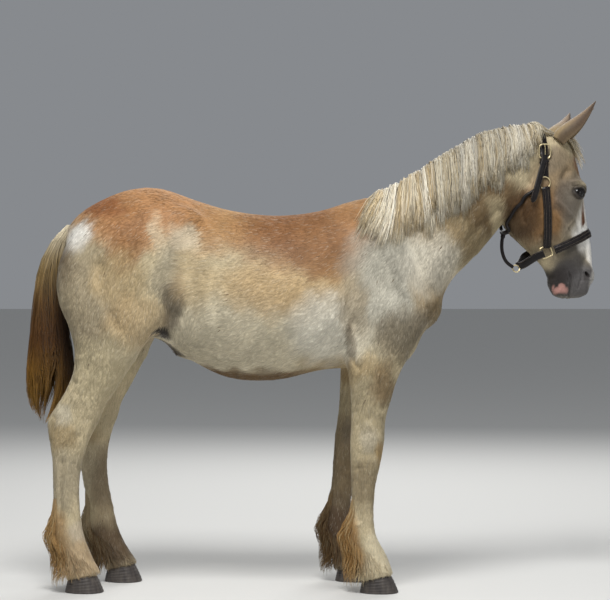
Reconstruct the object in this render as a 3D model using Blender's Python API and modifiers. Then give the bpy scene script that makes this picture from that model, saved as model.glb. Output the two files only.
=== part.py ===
"""A young Belgian draft horse standing square-on in a leather halter, life size, as a still model.

The horse faces +X, its right side is at -Y and its hooves stand on z = 0. Lengths are metres.
The flesh is lofted from named stations, fused, smoothed and parted with thin cuts.
"""

import math
import random
from collections import namedtuple

import bmesh
import bpy
from mathutils import Matrix, Vector
from mathutils.bvhtree import BVHTree

# Driving dimensions
WITHERS_HEIGHT = 1.50
DRAWN_HEIGHT = 1.50
SCALE = WITHERS_HEIGHT / DRAWN_HEIGHT
GAP = 0.0003
SEED = 11

# The neck bends to the horse's left between these two places along the body
BEND_FROM = 0.40
BEND_TO = 0.76
BEND_ANGLE = math.radians(14)

# Meshing of the flesh
LOFT_SIDES = 28
LOFT_STEPS = 4
VOXEL = 0.0095
SMOOTH_ROUNDS = 7
BODY_ROUNDS = 38
HEAD_TRIANGLES = 1400
BODY_TRIANGLES = 3100
FIT_GAP = 0.0004

# Thin cuts that part the flesh, each a point and a direction in the side view, or a height
NECK_CUT = ((0.360, 1.290), (0.42, 0.32))
HEAD_CUT = ((0.773, 1.605), (0.37, -0.12))
FORELEG_CUT = 0.822
HOCK_CUT = 0.520
KNEE_CUT = 0.465
CORONET_FRONT = 0.074
CORONET_HEEL = 0.048

# The head's smaller forms, drawn with the head straight ahead
EYE = (1.018, 0.070, 1.5205)
EYE_RADIUS = 0.0250
EYE_FACING = (0.34, 0.93, 0.02)
LID_TILT = math.radians(-24)
LID_LENGTH = 0.0225
LID_HEIGHT = 0.0154
UPPER_LID = 0.0052
LOWER_LID = 0.0038
NOSTRIL = (1.078, 0.056, 1.200)
MOUTH_X = 1.006
MOUTH_CENTRE = 1.200
MOUTH_DEPTH = 0.008
MOUTH_OPENING = 0.0026

# An ear is drawn along its length from base to tip, as (place, width, how filled its cup is)
EAR_BASE = (0.974, 0.055, 1.728)
EAR_LENGTH = 0.190
RIGHT_EAR_LEAN = (0.119, 0.022, 0.143)
LEFT_EAR_LEAN = (0.104, 0.112, 0.112)
EAR_OPENING = (0.80, 0.30, -0.45)
EAR_WALL = 0.0042
EAR_BOW = 0.011
EAR_DEPTH = 1.20
EAR_SHAPE = [
    (-0.12, 0.066, 1.0),
    (0.02, 0.078, 0.8),
    (0.16, 0.081, 0.35),
    (0.32, 0.075, 0.05),
    (0.50, 0.061, 0.0),
    (0.68, 0.043, 0.0),
    (0.85, 0.024, 0.0),
    (1.00, 0.004, 0.0),
]

# Long hair
MANE_FROM = 0.262
MANE_TO = 0.819
MANE_CURL = 0.105
MANE_FALL_WITHERS = 0.255
MANE_FALL_POLL = 0.165
MANE_ROOT = 0.030
FORELOCK_ROOT = 0.022
FORELOCK_SPREAD = 1.2
MANE_SWAY = 0.012
POLL_LOCKS = (0.834, 0.848)
POLL_REACH = 0.120
TAIL_LEVELS = [
    # height, front edge, rear edge, half width across
    (1.395, -0.890, -0.955, 0.026),
    (1.350, -0.915, -1.010, 0.040),
    (1.270, -0.945, -1.046, 0.050),
    (1.170, -0.950, -1.066, 0.060),
    (1.050, -0.945, -1.076, 0.068),
    (0.930, -0.965, -1.083, 0.074),
    (0.840, -0.950, -1.090, 0.072),
    (0.755, -0.965, -1.088, 0.060),
    (0.690, -0.995, -1.075, 0.042),
    (0.640, -1.020, -1.045, 0.016),
]

# The level of the tail where its locks part, and where the lowest and the highest of them end
TAIL_PARTING = 1.010
TAIL_ROOT = 1.345
TAIL_TIPS = (0.640, 0.850)
TAIL_CORE_THINNING = 2.2

# The feather's core: its height on the leg and how far it stands out behind
FEATHER_LEVELS = [
    (0.350, 0.002),
    (0.300, 0.012),
    (0.250, 0.016),
    (0.205, 0.008),
]

# The rows of feather locks: height of the root, turn of the outermost lock from straight behind,
# how far down the tips hang, how far they stand out, and how many locks the row has
FEATHER_ROWS = [
    (0.325, 45, 0.120, 0.030, 2),
    (0.245, 70, 0.125, 0.038, 3),
    (0.160, 100, 0.120, 0.042, 4),
]

# A layer of locks: how many, their width and thickness, how high they lie, how much shorter they are
Layer = namedtuple("Layer", "count width thickness lift short")
MANE_LAYERS = [
    Layer(12, 0.046, 0.010, 0.008, 0.0),
    Layer(11, 0.045, 0.010, 0.022, 0.20),
]
TAIL_LAYERS = [
    Layer(4, 0.054, 0.026, 0.42, 0.0),
    Layer(10, 0.054, 0.020, 0.88, 0.45),
]
FORELOCK_LAYER = Layer(4, 0.018, 0.006, 0.016, 0.0)
FEATHER_LAYER = Layer(9, 0.038, 0.011, 0.0, 0.0)
LOCK_STEPS = (0.0, 0.15, 0.38, 0.70, 1.0)

# The halter
STRAP_WIDTH = 0.033
STRAP_THICKNESS = 0.0042
STRAP_CLEARANCE = 0.0020
BILLET_WIDTH = 0.025
CROWN_X = 0.884
CROWN_CENTRE = 1.600
BUCKLE = (0.883, 1.677)
BUCKLE_HALF_LENGTH = 0.0275
BUCKLE_HALF_WIDTH = 0.0235
UPPER_RING = (0.877, 1.556)
UPPER_RING_RADIUS = 0.0225
SQUARE_RING = (0.898, 1.291)
SQUARE_RING_HALF = 0.022
NOSE_CENTRE = (0.985, 1.320)
NOSE_RISE = math.radians(23)
CHIN_RING = (0.797, 1.226)
RING_WIRE = 0.0026
ROLLED_STRAP = 0.0058
CROWN_REACH = math.radians(50)
NOSE_REACH = math.radians(130)

# The straps' middle lines on the side of the head: along and up, and for two of them
# how far they stand off the head or how far out they lie and how wide they are
BUCKLE_STRAP_ROUTE = [(0.883, 1.655), (0.881, 1.618), (0.879, 1.584)]
CHEEK_STRAP_ROUTE = [
    (0.883, 1.529),
    (0.886, 1.490),
    (0.889, 1.450),
    (0.893, 1.405),
    (0.897, 1.360),
    (0.9005, 1.326),
]
BILLET_ROUTE = [(0.879, 1.640, 0.0140), (0.861, 1.590, 0.0205), (0.841, 1.535, 0.0245), (0.824, 1.485, 0.0140)]
CHIN_STRAP_ROUTE = [
    # along, out, up, half width across the strap as a rise
    (0.860, 0.0660, 1.2745, 0.015),
    (0.848, 0.0540, 1.2655, 0.016),
    (0.836, 0.0380, 1.2545, 0.017),
    (0.822, 0.0185, 1.243, 0.014),
]
THROAT_ROUTE = [
    (0.850, 1.531),
    (0.831, 1.516),
    (0.814, 1.500),
    (0.795, 1.480),
    (0.777, 1.455),
    (0.766, 1.428),
    (0.757, 1.402),
]
THROAT_LOW = [(0.752, -0.044, 1.374), (0.746, -0.016, 1.364)]
HANGING_ROUTE = [(0.743, 1.351), (0.739, 1.330), (0.739, 1.300), (0.746, 1.272), (0.758, 1.250), (0.777, 1.236)]

# A station is a cross-section: two edge points in the side view, where its middle lies across the
# horse, its half width, how square it is (2 is an ellipse) and how much wider its first edge is.
Station = namedtuple("Station", "name first second y half square pear")

TORSO = [
    Station("dock", (-0.945, 1.375), (-0.945, 1.245), 0, 0.050, 2.0, 0.0),
    Station("buttock", (-0.900, 1.432), (-0.905, 1.100), 0, 0.135, 2.2, -0.05),
    Station("tail head", (-0.820, 1.484), (-0.840, 1.010), 0, 0.215, 2.3, -0.05),
    Station("croup", (-0.700, 1.531), (-0.715, 0.965), 0, 0.270, 2.3, -0.08),
    Station("hips", (-0.580, 1.536), (-0.580, 0.955), 0, 0.280, 2.3, -0.10),
    Station("loin", (-0.440, 1.489), (-0.440, 0.860), 0, 0.258, 2.2, -0.10),
    Station("flank", (-0.300, 1.450), (-0.300, 0.802), 0, 0.268, 2.1, -0.12),
    Station("barrel", (-0.130, 1.432), (-0.130, 0.798), 0, 0.278, 2.1, -0.14),
    Station("ribs", (0.030, 1.450), (0.030, 0.834), 0, 0.264, 2.1, -0.16),
    Station("girth", (0.160, 1.491), (0.150, 0.846), 0, 0.232, 2.2, -0.22),
    Station("withers", (0.265, 1.505), (0.270, 0.862), 0, 0.205, 2.3, -0.30),
    Station("shoulder", (0.370, 1.480), (0.385, 0.890), 0, 0.190, 2.3, -0.15),
    Station("breast", (0.455, 1.340), (0.430, 0.985), 0, 0.160, 2.3, 0.0),
    Station("breast front", (0.512, 1.240), (0.490, 1.080), 0, 0.085, 2.0, 0.0),
]

NECK = [
    Station("neck root", (0.200, 1.470), (0.400, 1.000), 0, 0.175, 2.2, -0.25),
    Station("neck base", (0.310, 1.532), (0.492, 1.100), 0, 0.160, 2.2, -0.28),
    Station("low neck", (0.410, 1.598), (0.540, 1.182), 0, 0.134, 2.1, -0.30),
    Station("mid neck", (0.520, 1.674), (0.612, 1.250), 0, 0.110, 2.0, -0.28),
    Station("upper neck", (0.640, 1.737), (0.672, 1.318), 0, 0.094, 2.0, -0.22),
    Station("throat", (0.760, 1.760), (0.737, 1.395), 0, 0.082, 2.0, -0.12),
    Station("nape", (0.860, 1.764), (0.800, 1.470), 0, 0.078, 2.0, 0.0),
    Station("poll", (0.925, 1.750), (0.880, 1.580), 0, 0.066, 2.0, 0.0),
]

HEAD = [
    Station("crown", (0.960, 1.752), (0.862, 1.690), 0, 0.050, 2.2, 0.0),
    Station("ear line", (1.004, 1.716), (0.812, 1.590), 0, 0.080, 2.3, 0.05),
    Station("forehead", (1.036, 1.640), (0.768, 1.500), 0, 0.096, 2.4, 0.03),
    Station("eye line", (1.058, 1.560), (0.742, 1.430), 0, 0.097, 2.4, -0.02),
    Station("cheek", (1.075, 1.470), (0.756, 1.378), 0, 0.092, 2.3, -0.10),
    Station("mid face", (1.088, 1.395), (0.806, 1.325), 0, 0.077, 2.1, -0.10),
    Station("nose band line", (1.103, 1.325), (0.864, 1.272), 0, 0.062, 2.1, -0.05),
    Station("above nostril", (1.108, 1.255), (0.912, 1.215), 0, 0.055, 2.2, 0.05),
    Station("nostril", (1.108, 1.198), (0.926, 1.170), 0, 0.058, 2.3, 0.08),
    Station("lips", (1.092, 1.146), (0.940, 1.133), 0, 0.052, 2.2, 0.10),
    Station("mouth end", (1.056, 1.108), (0.975, 1.108), 0, 0.032, 2.0, 0.0),
]

HIND_LEG = [
    Station("hip", (-0.575, 1.300), (-0.920, 1.300), 0.130, 0.110, 2.2, 0.0),
    Station("thigh", (-0.575, 1.160), (-0.952, 1.160), 0.145, 0.125, 2.2, 0.0),
    Station("stifle", (-0.592, 1.030), (-0.928, 1.030), 0.160, 0.118, 2.2, 0.05),
    Station("upper gaskin", (-0.636, 0.930), (-0.902, 0.930), 0.165, 0.098, 2.2, 0.05),
    Station("gaskin", (-0.690, 0.845), (-0.902, 0.845), 0.162, 0.078, 2.1, 0.05),
    Station("low gaskin", (-0.741, 0.765), (-0.934, 0.765), 0.156, 0.060, 2.1, 0.12),
    Station("above hock", (-0.780, 0.705), (-0.972, 0.705), 0.151, 0.050, 2.1, 0.25),
    Station("hock point", (-0.804, 0.650), (-1.004, 0.650), 0.148, 0.049, 2.2, 0.22),
    Station("hock", (-0.838, 0.585), (-0.998, 0.585), 0.146, 0.049, 2.3, 0.15),
    Station("below hock", (-0.866, 0.505), (-0.986, 0.505), 0.146, 0.043, 2.3, 0.05),
    Station("cannon", (-0.880, 0.405), (-0.983, 0.405), 0.147, 0.038, 2.3, 0.0),
    Station("low cannon", (-0.876, 0.300), (-0.980, 0.300), 0.148, 0.039, 2.3, 0.0),
    Station("fetlock", (-0.862, 0.212), (-0.984, 0.212), 0.150, 0.050, 2.2, 0.0),
    Station("pastern", (-0.832, 0.135), (-0.950, 0.135), 0.150, 0.047, 2.2, 0.10),
    Station("coronet", (-0.800, 0.070), (-0.936, 0.070), 0.150, 0.060, 2.2, 0.05),
    Station("hoof core", (-0.790, 0.020), (-0.930, 0.020), 0.150, 0.058, 2.2, 0.0),
]

FORE_LEG = [
    Station("arm top", (0.450, 1.140), (0.170, 1.140), 0.125, 0.085, 2.2, 0.0),
    Station("arm", (0.430, 1.010), (0.132, 1.010), 0.145, 0.092, 2.2, 0.0),
    Station("elbow", (0.370, 0.900), (0.126, 0.900), 0.158, 0.084, 2.2, 0.0),
    Station("forearm", (0.330, 0.820), (0.139, 0.820), 0.162, 0.073, 2.2, 0.05),
    Station("mid forearm", (0.304, 0.740), (0.147, 0.740), 0.161, 0.061, 2.2, 0.08),
    Station("above knee", (0.281, 0.655), (0.149, 0.655), 0.160, 0.051, 2.3, 0.08),
    Station("knee", (0.275, 0.570), (0.145, 0.570), 0.160, 0.053, 2.5, 0.08),
    Station("below knee", (0.262, 0.490), (0.146, 0.490), 0.160, 0.046, 2.4, 0.0),
    Station("cannon", (0.243, 0.400), (0.149, 0.400), 0.160, 0.038, 2.3, 0.0),
    Station("low cannon", (0.237, 0.300), (0.148, 0.300), 0.160, 0.039, 2.3, 0.0),
    Station("fetlock", (0.245, 0.218), (0.132, 0.218), 0.160, 0.050, 2.2, 0.0),
    Station("pastern", (0.283, 0.145), (0.158, 0.145), 0.160, 0.048, 2.2, 0.10),
    Station("coronet", (0.308, 0.078), (0.170, 0.078), 0.160, 0.062, 2.2, 0.05),
    Station("hoof core", (0.320, 0.020), (0.180, 0.020), 0.160, 0.060, 2.2, 0.0),
]

# How far the left legs stand ahead of the right ones, as (height, distance) pairs
LEFT_HIND_LEAD = [(1.05, 0.0), (0.70, 0.040), (0.50, 0.070), (0.30, 0.100), (0.15, 0.108), (0.0, 0.130)]
LEFT_FORE_LEAD = [(1.00, 0.0), (0.75, -0.036), (0.60, -0.050), (0.45, -0.064), (0.30, -0.082), (0.0, -0.090)]

# A muscle is an ellipsoid set on both sides of the body
Muscle = namedtuple("Muscle", "name x y z length width height tilt")

MUSCLES = [
    Muscle("shoulder blade", 0.285, 0.135, 1.220, 0.120, 0.074, 0.220, -22),
    Muscle("upper arm", 0.290, 0.165, 1.030, 0.140, 0.080, 0.125, 25),
    Muscle("breast muscle", 0.415, 0.078, 1.090, 0.084, 0.090, 0.100, 0),
    Muscle("haunch", -0.700, 0.152, 1.265, 0.205, 0.122, 0.195, -15),
    Muscle("back of thigh", -0.842, 0.140, 1.195, 0.128, 0.108, 0.205, 8),
    Muscle("stifle pad", -0.650, 0.190, 1.040, 0.076, 0.084, 0.130, 20),
    Muscle("hip point", -0.510, 0.168, 1.395, 0.120, 0.046, 0.080, 0),
    Muscle("rib cage", -0.080, 0.130, 1.090, 0.330, 0.165, 0.230, 0),
    Muscle("forearm muscle", 0.245, 0.172, 0.850, 0.078, 0.070, 0.105, 8),
    Muscle("gaskin muscle", -0.775, 0.170, 0.900, 0.085, 0.082, 0.115, 25),
    Muscle("sheath", -0.500, 0.008, 0.922, 0.080, 0.036, 0.034, 32),
]

HEAD_FORMS = [
    Muscle("eye socket rim", 1.016, 0.058, 1.533, 0.052, 0.038, 0.046, 0),
    Muscle("cheek muscle", 0.862, 0.060, 1.468, 0.100, 0.042, 0.105, 10),
    Muscle("cheek bone", 0.990, 0.056, 1.430, 0.032, 0.022, 0.080, -6),
    Muscle("nostril wing", 1.074, 0.040, 1.200, 0.026, 0.025, 0.040, -8),
    Muscle("upper lip", 1.054, 0.020, 1.142, 0.036, 0.036, 0.030, 0),
    Muscle("lower lip", 0.974, 0.012, 1.136, 0.034, 0.034, 0.026, 0),
    Muscle("chin", 0.951, 0.008, 1.168, 0.026, 0.034, 0.030, 0),
]


def at(x, y, z):
    """A point of the drawn horse at the model's real size."""
    return Vector((x, y, z)) * SCALE


def rounded(value, square):
    """Moves a cosine or sine out towards a square of the given exponent."""
    return math.copysign(abs(value) ** (2 / square), value)


def between(rows, position):
    """The four numbers of Catmull-Rom weighting for a position along a list of rows, applied."""
    index = min(int(position), len(rows) - 2)
    t = position - index
    picks = [rows[max(0, min(len(rows) - 1, index + step))] for step in (-1, 0, 1, 2)]
    weights = (
        -0.5 * t**3 + t**2 - 0.5 * t,
        1.5 * t**3 - 2.5 * t**2 + 1,
        -1.5 * t**3 + 2 * t**2 + 0.5 * t,
        0.5 * t**3 - 0.5 * t**2,
    )
    return [sum(w * row[n] for w, row in zip(weights, picks)) for n in range(len(rows[0]))]


def lead_at(lead, z):
    """How far a leg is moved along the body at a height, read from its (height, distance) pairs."""
    if z >= lead[0][0]:
        return lead[0][1]
    for (high, far), (low, near) in zip(lead, lead[1:]):
        if z >= low:
            return near + (far - near) * (z - low) / (high - low)
    return lead[-1][1]


def ring_points(row, sides):
    """The points of one cross-section. A row is the station's numbers without its name."""
    first_x, first_z, second_x, second_z, y, half, square, pear = row
    middle = Vector(((first_x + second_x) / 2, y, (first_z + second_z) / 2))
    arm = Vector(((first_x - second_x) / 2, 0, (first_z - second_z) / 2))
    points = []
    for side in range(sides):
        turn = 2 * math.pi * side / sides
        up = rounded(math.cos(turn), square)
        across = rounded(math.sin(turn), square) * half * (1 + pear * up)
        points.append(middle + arm * up + Vector((0, across, 0)))
    return points


def add_loft(body, rings):
    """Adds a closed skin over a list of rings of points to a bmesh."""
    rows = [[body.verts.new(point * SCALE) for point in ring] for ring in rings]
    count = len(rows[0])
    for near, far in zip(rows, rows[1:]):
        for n in range(count):
            m = (n + 1) % count
            body.faces.new((near[n], near[m], far[m], far[n]))
    body.faces.new(rows[0])
    body.faces.new(rows[-1])


def add_stations(body, stations, side=1, lead=None):
    """Lofts a list of stations into a bmesh, on the left (1) or right (-1) of the horse."""
    rows = [(*s.first, *s.second, s.y * side, s.half, s.square, s.pear) for s in stations]
    rings = []
    for step in range((len(rows) - 1) * LOFT_STEPS + 1):
        row = between(rows, step / LOFT_STEPS)
        if lead:
            row[0] += lead_at(lead, row[1])
            row[2] += lead_at(lead, row[3])
        rings.append(ring_points(row, LOFT_SIDES))
    add_loft(body, rings)


def add_muscles(body, muscles):
    """Adds each muscle as an ellipsoid on both sides."""
    for muscle in muscles:
        for side in (-1, 1):
            place = Matrix.Translation(at(muscle.x, muscle.y * side, muscle.z))
            turn = Matrix.Rotation(math.radians(muscle.tilt), 4, "Y")
            size = Matrix.Diagonal((muscle.length, muscle.width, muscle.height, 1)) * SCALE
            size[3][3] = 1
            bmesh.ops.create_uvsphere(
                body, u_segments=24, v_segments=14, radius=1, matrix=place @ turn @ size
            )


def bend(point):
    """Where a point of the straight horse lies once the neck is bent to the left."""
    start, end = BEND_FROM * SCALE, BEND_TO * SCALE
    if point.x <= start:
        return point.copy()
    radius = (end - start) / BEND_ANGLE
    turn = min(1, (point.x - start) / (end - start)) * BEND_ANGLE
    past = max(0, point.x - end)
    reach = radius - point.y
    return Vector((
        start + reach * math.sin(turn) + past * math.cos(turn),
        radius - reach * math.cos(turn) + past * math.sin(turn),
        point.z,
    ))


def material(name, colour, roughness, metallic=0.0):
    """A plain Principled material."""
    made = bpy.data.materials.new(name)
    made.use_nodes = True
    shader = made.node_tree.nodes["Principled BSDF"]
    shader.inputs["Base Color"].default_value = (*colour, 1)
    shader.inputs["Roughness"].default_value = roughness
    shader.inputs["Metallic"].default_value = metallic
    return made


def new_object(name, mesh, finish, collection):
    """Makes a named object of a mesh."""
    made = bpy.data.objects.new(name, mesh)
    if finish:
        made.data.materials.append(finish)
    collection.objects.link(made)
    return made


def object_of(name, body, finish, collection):
    """Makes a named object of a bmesh, with its faces facing out."""
    bmesh.ops.recalc_face_normals(body, faces=body.faces)
    mesh = bpy.data.meshes.new(name)
    body.to_mesh(mesh)
    body.free()
    return new_object(name, mesh, finish, collection)


def settle(thing):
    """Replaces an object's mesh by the mesh that its modifiers make."""
    graph = bpy.context.evaluated_depsgraph_get()
    graph.update()
    mesh = bpy.data.meshes.new_from_object(thing.evaluated_get(graph))
    thing.modifiers.clear()
    old = thing.data
    thing.data = mesh
    bpy.data.meshes.remove(old)


def soften(thing, region, rounds):
    """Smooths the points of one region of an object, round after round."""
    body = bmesh.new()
    body.from_mesh(thing.data)
    chosen = [vertex for vertex in body.verts if region(vertex.co)]
    for _ in range(rounds):
        bmesh.ops.smooth_vert(
            body, verts=chosen, factor=0.5, use_axis_x=True, use_axis_y=True, use_axis_z=True
        )
    body.to_mesh(thing.data)
    body.free()


def is_trunk(point):
    """Whether a point of the straight horse is on the broad forms of body and neck."""
    return point.z > 0.90 * SCALE and point.x < 0.64 * SCALE


def fleshed(scrap):
    """The whole flesh of the horse as one closed surface, straight, then bent at the neck."""
    body = bmesh.new()
    for stations in (TORSO, NECK, HEAD):
        add_stations(body, stations)
    add_stations(body, HIND_LEG, -1)
    add_stations(body, HIND_LEG, 1, LEFT_HIND_LEAD)
    add_stations(body, FORE_LEG, -1)
    add_stations(body, FORE_LEG, 1, LEFT_FORE_LEAD)
    add_muscles(body, MUSCLES + HEAD_FORMS)
    flesh = object_of("flesh", body, None, scrap)
    remesh = flesh.modifiers.new("fuse", "REMESH")
    remesh.mode = "VOXEL"
    remesh.voxel_size = VOXEL * SCALE
    smooth = flesh.modifiers.new("soften", "SMOOTH")
    smooth.factor = 0.5
    smooth.iterations = SMOOTH_ROUNDS
    settle(flesh)
    soften(flesh, is_trunk, BODY_ROUNDS)
    for vertex in flesh.data.vertices:
        vertex.co = bend(vertex.co)
    return flesh


def head_place():
    """The turn and shift that the bend gives to everything ahead of it, the whole head."""
    start, end = BEND_FROM * SCALE, BEND_TO * SCALE
    radius = (end - start) / BEND_ANGLE
    landing = Vector((
        start + radius * math.sin(BEND_ANGLE),
        radius * (1 - math.cos(BEND_ANGLE)),
        0,
    ))
    return (
        Matrix.Translation(landing)
        @ Matrix.Rotation(BEND_ANGLE, 4, "Z")
        @ Matrix.Translation((-end, 0, 0))
    )


def boolean(thing, other, operation, solver="EXACT"):
    """Joins, cuts or intersects one object with another, and removes the other."""
    made = thing.modifiers.new(operation.lower(), "BOOLEAN")
    made.operation = operation
    made.object = other
    made.solver = solver
    settle(thing)
    bpy.data.objects.remove(other)


def union_all(thing, others, scrap, solver="MANIFOLD"):
    """Joins several closed objects to one in a single union, then removes them."""
    group = bpy.data.collections.new("joined")
    scrap.children.link(group)
    for other in others:
        group.objects.link(other)
    made = thing.modifiers.new("join", "BOOLEAN")
    made.operation = "UNION"
    made.operand_type = "COLLECTION"
    made.collection = group
    made.solver = solver
    settle(thing)
    for other in others:
        bpy.data.objects.remove(other)
    bpy.data.collections.remove(group)
    keep_largest(thing)


def keep_largest(thing):
    """Drops every closed surface of an object but the one that spans the most room."""
    body = bmesh.new()
    body.from_mesh(thing.data)
    bmesh.ops.triangulate(body, faces=body.faces)
    islands = []
    seen = set()
    for face in body.faces:
        if face in seen:
            continue
        island = [face]
        seen.add(face)
        for member in island:
            for edge in member.edges:
                for other in edge.link_faces:
                    if other not in seen:
                        seen.add(other)
                        island.append(other)
        islands.append(island)

    def span(island):
        points = [vertex.co for member in island for vertex in member.verts]
        sides = [max(p[n] for p in points) - min(p[n] for p in points) for n in range(3)]
        return sides[0] * sides[1] * sides[2]

    islands.sort(key=span, reverse=True)
    for island in islands[1:]:
        bmesh.ops.delete(body, geom=island, context="FACES")
    loose = [vertex for vertex in body.verts if not vertex.link_faces]
    bmesh.ops.delete(body, geom=loose, context="VERTS")
    body.to_mesh(thing.data)
    body.free()


def cut_frame(point, normal, cross):
    """A matrix whose Z is a cut's normal and whose Y runs across the horse, at a point."""
    across = Vector(cross).normalized()
    out = Vector(normal).normalized()
    along = across.cross(out).normalized()
    across = out.cross(along)
    turn = Matrix((along, across, out)).transposed().to_4x4()
    return Matrix.Translation(point) @ turn


def block(name, frame, low, high, scrap):
    """A box between two corners given in a cut's own frame, as a cutter."""
    body = bmesh.new()
    middle = (Vector(low) + Vector(high)) / 2
    size = Matrix.Diagonal((*(Vector(high) - Vector(low)), 1))
    bmesh.ops.create_cube(body, size=1, matrix=frame @ Matrix.Translation(middle) @ size)
    made = object_of(name, body, None, scrap)
    made.hide_render = True
    made.display_type = "WIRE"
    return made


def copy_of(thing, name, finish, collection):
    """A separate copy of an object under another name."""
    mesh = thing.data.copy()
    mesh.materials.clear()
    return new_object(name, mesh, finish, collection)


def part_off(source, name, frame, low, high, finish, horse, scrap):
    """Takes the part of source inside a box as a new object, and leaves a thin gap between them.

    The box's face at Z = 0 of the frame is the cut. Its other faces lie in free space.
    """
    piece = copy_of(source, name, finish, horse)
    boolean(piece, block("inside", frame, low, high, scrap), "INTERSECT")
    keep_largest(piece)
    lower = (low[0], low[1], low[2] - GAP)
    boolean(source, block("outside", frame, lower, high, scrap), "DIFFERENCE")
    return piece


def thin_out(thing, region, triangles):
    """Collapses the faces of one region of an object to about a count of triangles."""
    group = thing.vertex_groups.new(name="region")
    mesh = thing.data
    inside = [vertex.index for vertex in mesh.vertices if region(vertex.co)]
    group.add(inside, 1.0, "REPLACE")
    chosen = set(inside)
    count = 0
    for polygon in mesh.polygons:
        if all(index in chosen for index in polygon.vertices):
            count += len(polygon.vertices) - 2
    total = sum(len(polygon.vertices) - 2 for polygon in mesh.polygons)
    made = thing.modifiers.new("thin", "DECIMATE")
    made.vertex_group = group.name
    made.vertex_group_factor = 1000
    made.ratio = min(1, (total - count + triangles) / total)
    settle(thing)
    thing.vertex_groups.clear()


def grown(thing, name, distance, scrap):
    """A copy of an object with its surface moved out along its normals."""
    swollen = copy_of(thing, name, None, scrap)
    body = bmesh.new()
    body.from_mesh(swollen.data)
    body.normal_update()
    moves = [(vertex, vertex.normal.copy()) for vertex in body.verts]
    for vertex, normal in moves:
        vertex.co += normal * distance
    body.to_mesh(swollen.data)
    body.free()
    return swollen


def fit_against(thing, neighbour, scrap):
    """Cuts an object clear of a neighbour by a thin gap, and keeps its main piece."""
    boolean(thing, grown(neighbour, "clearance", FIT_GAP, scrap), "DIFFERENCE")
    keep_largest(thing)


def surface_tree(things):
    """A tree for finding the nearest surface of several objects."""
    points, faces = [], []
    for thing in things:
        first = len(points)
        points += [thing.matrix_world @ vertex.co for vertex in thing.data.vertices]
        faces += [[first + index for index in polygon.vertices] for polygon in thing.data.polygons]
    return BVHTree.FromPolygons(points, faces)


def tube(name, points, radius, finish, collection, sides=8, closed=False):
    """A round bar along points, as a mesh object."""
    curve = bpy.data.curves.new(name, "CURVE")
    curve.dimensions = "3D"
    curve.bevel_depth = radius
    curve.bevel_resolution = (sides - 4) // 2
    curve.use_fill_caps = not closed
    spline = curve.splines.new("POLY")
    spline.points.add(len(points) - 1)
    for place, point in zip(spline.points, points):
        place.co = (*point, 1)
    spline.use_cyclic_u = closed
    bar = bpy.data.objects.new(name + "_line", curve)
    collection.objects.link(bar)
    graph = bpy.context.evaluated_depsgraph_get()
    graph.update()
    mesh = bpy.data.meshes.new_from_object(bar.evaluated_get(graph))
    bpy.data.objects.remove(bar)
    body = bmesh.new()
    body.from_mesh(mesh)
    bmesh.ops.remove_doubles(body, verts=body.verts, dist=0.00005)
    return object_of(name, body, finish, collection)


def cast(tree, origin, target):
    """The first surface point and its normal on the way from origin to target."""
    way = target - origin
    place, normal, _, _ = tree.ray_cast(origin, way)
    if place is None:
        raise ValueError(f"nothing met on the way from {origin} to {target}")
    return place, normal


def add_tube(body, points, radii, sides=6, closed=False):
    """Adds a round body along points, with a radius at each, to a bmesh."""
    count = len(points)
    rings = []
    for n, (point, radius) in enumerate(zip(points, radii)):
        before = points[n - 1] if closed or n else points[n]
        after = points[(n + 1) % count] if closed or n < count - 1 else points[n]
        way = (after - before).normalized()
        across = way.orthogonal().normalized()
        if rings:
            across = (previous - way * previous.dot(way)).normalized()
        previous = across
        other = way.cross(across)
        ring = []
        for side in range(sides):
            turn = 2 * math.pi * side / sides
            ring.append(body.verts.new(point + (across * math.cos(turn) + other * math.sin(turn)) * radius))
        rings.append(ring)
    pairs = list(zip(rings, rings[1:]))
    if closed:
        last = rings[0]
        offsets = [(last[0].co - vertex.co).length for vertex in rings[-1]]
        twist = offsets.index(min(offsets))
        pairs.append((rings[-1][twist:] + rings[-1][:twist], last))
    else:
        body.faces.new(rings[0])
        body.faces.new(rings[-1])
    for near, far in pairs:
        for n in range(sides):
            m = (n + 1) % sides
            body.faces.new((near[n], near[m], far[m], far[n]))


def add_rings(body, rings, closed=False):
    """Adds a skin over rings of points that are already at real size."""
    rows = [[body.verts.new(point) for point in ring] for ring in rings]
    count = len(rows[0])
    pairs = list(zip(rows, rows[1:]))
    if closed:
        pairs.append((rows[-1], rows[0]))
    else:
        body.faces.new(rows[0])
        body.faces.new(rows[-1])
    for near, far in pairs:
        for n in range(count):
            m = (n + 1) % count
            body.faces.new((near[n], near[m], far[m], far[n]))


def on_side(triple, side):
    """A drawn point of the head on its left (1) or right (-1), at real size."""
    return at(triple[0], triple[1] * side, triple[2])


def to_place(thing, turn):
    """Moves every point of an object's mesh by a matrix."""
    thing.data.transform(turn)


def eye_frame(side):
    """Where an eye sits and its outward, lengthwise and upward directions, head straight."""
    centre = on_side(EYE, side)
    out = on_side(EYE_FACING, side).normalized()
    length = Vector((0, 0, 1)).cross(out).normalized() * side
    up = out.cross(length) * side
    if up.z < 0:
        up = -up
    if length.x < 0:
        length = -length
    turned = length * math.cos(LID_TILT) + up * math.sin(LID_TILT)
    risen = up * math.cos(LID_TILT) - length * math.sin(LID_TILT)
    return centre, out, turned, risen


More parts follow.
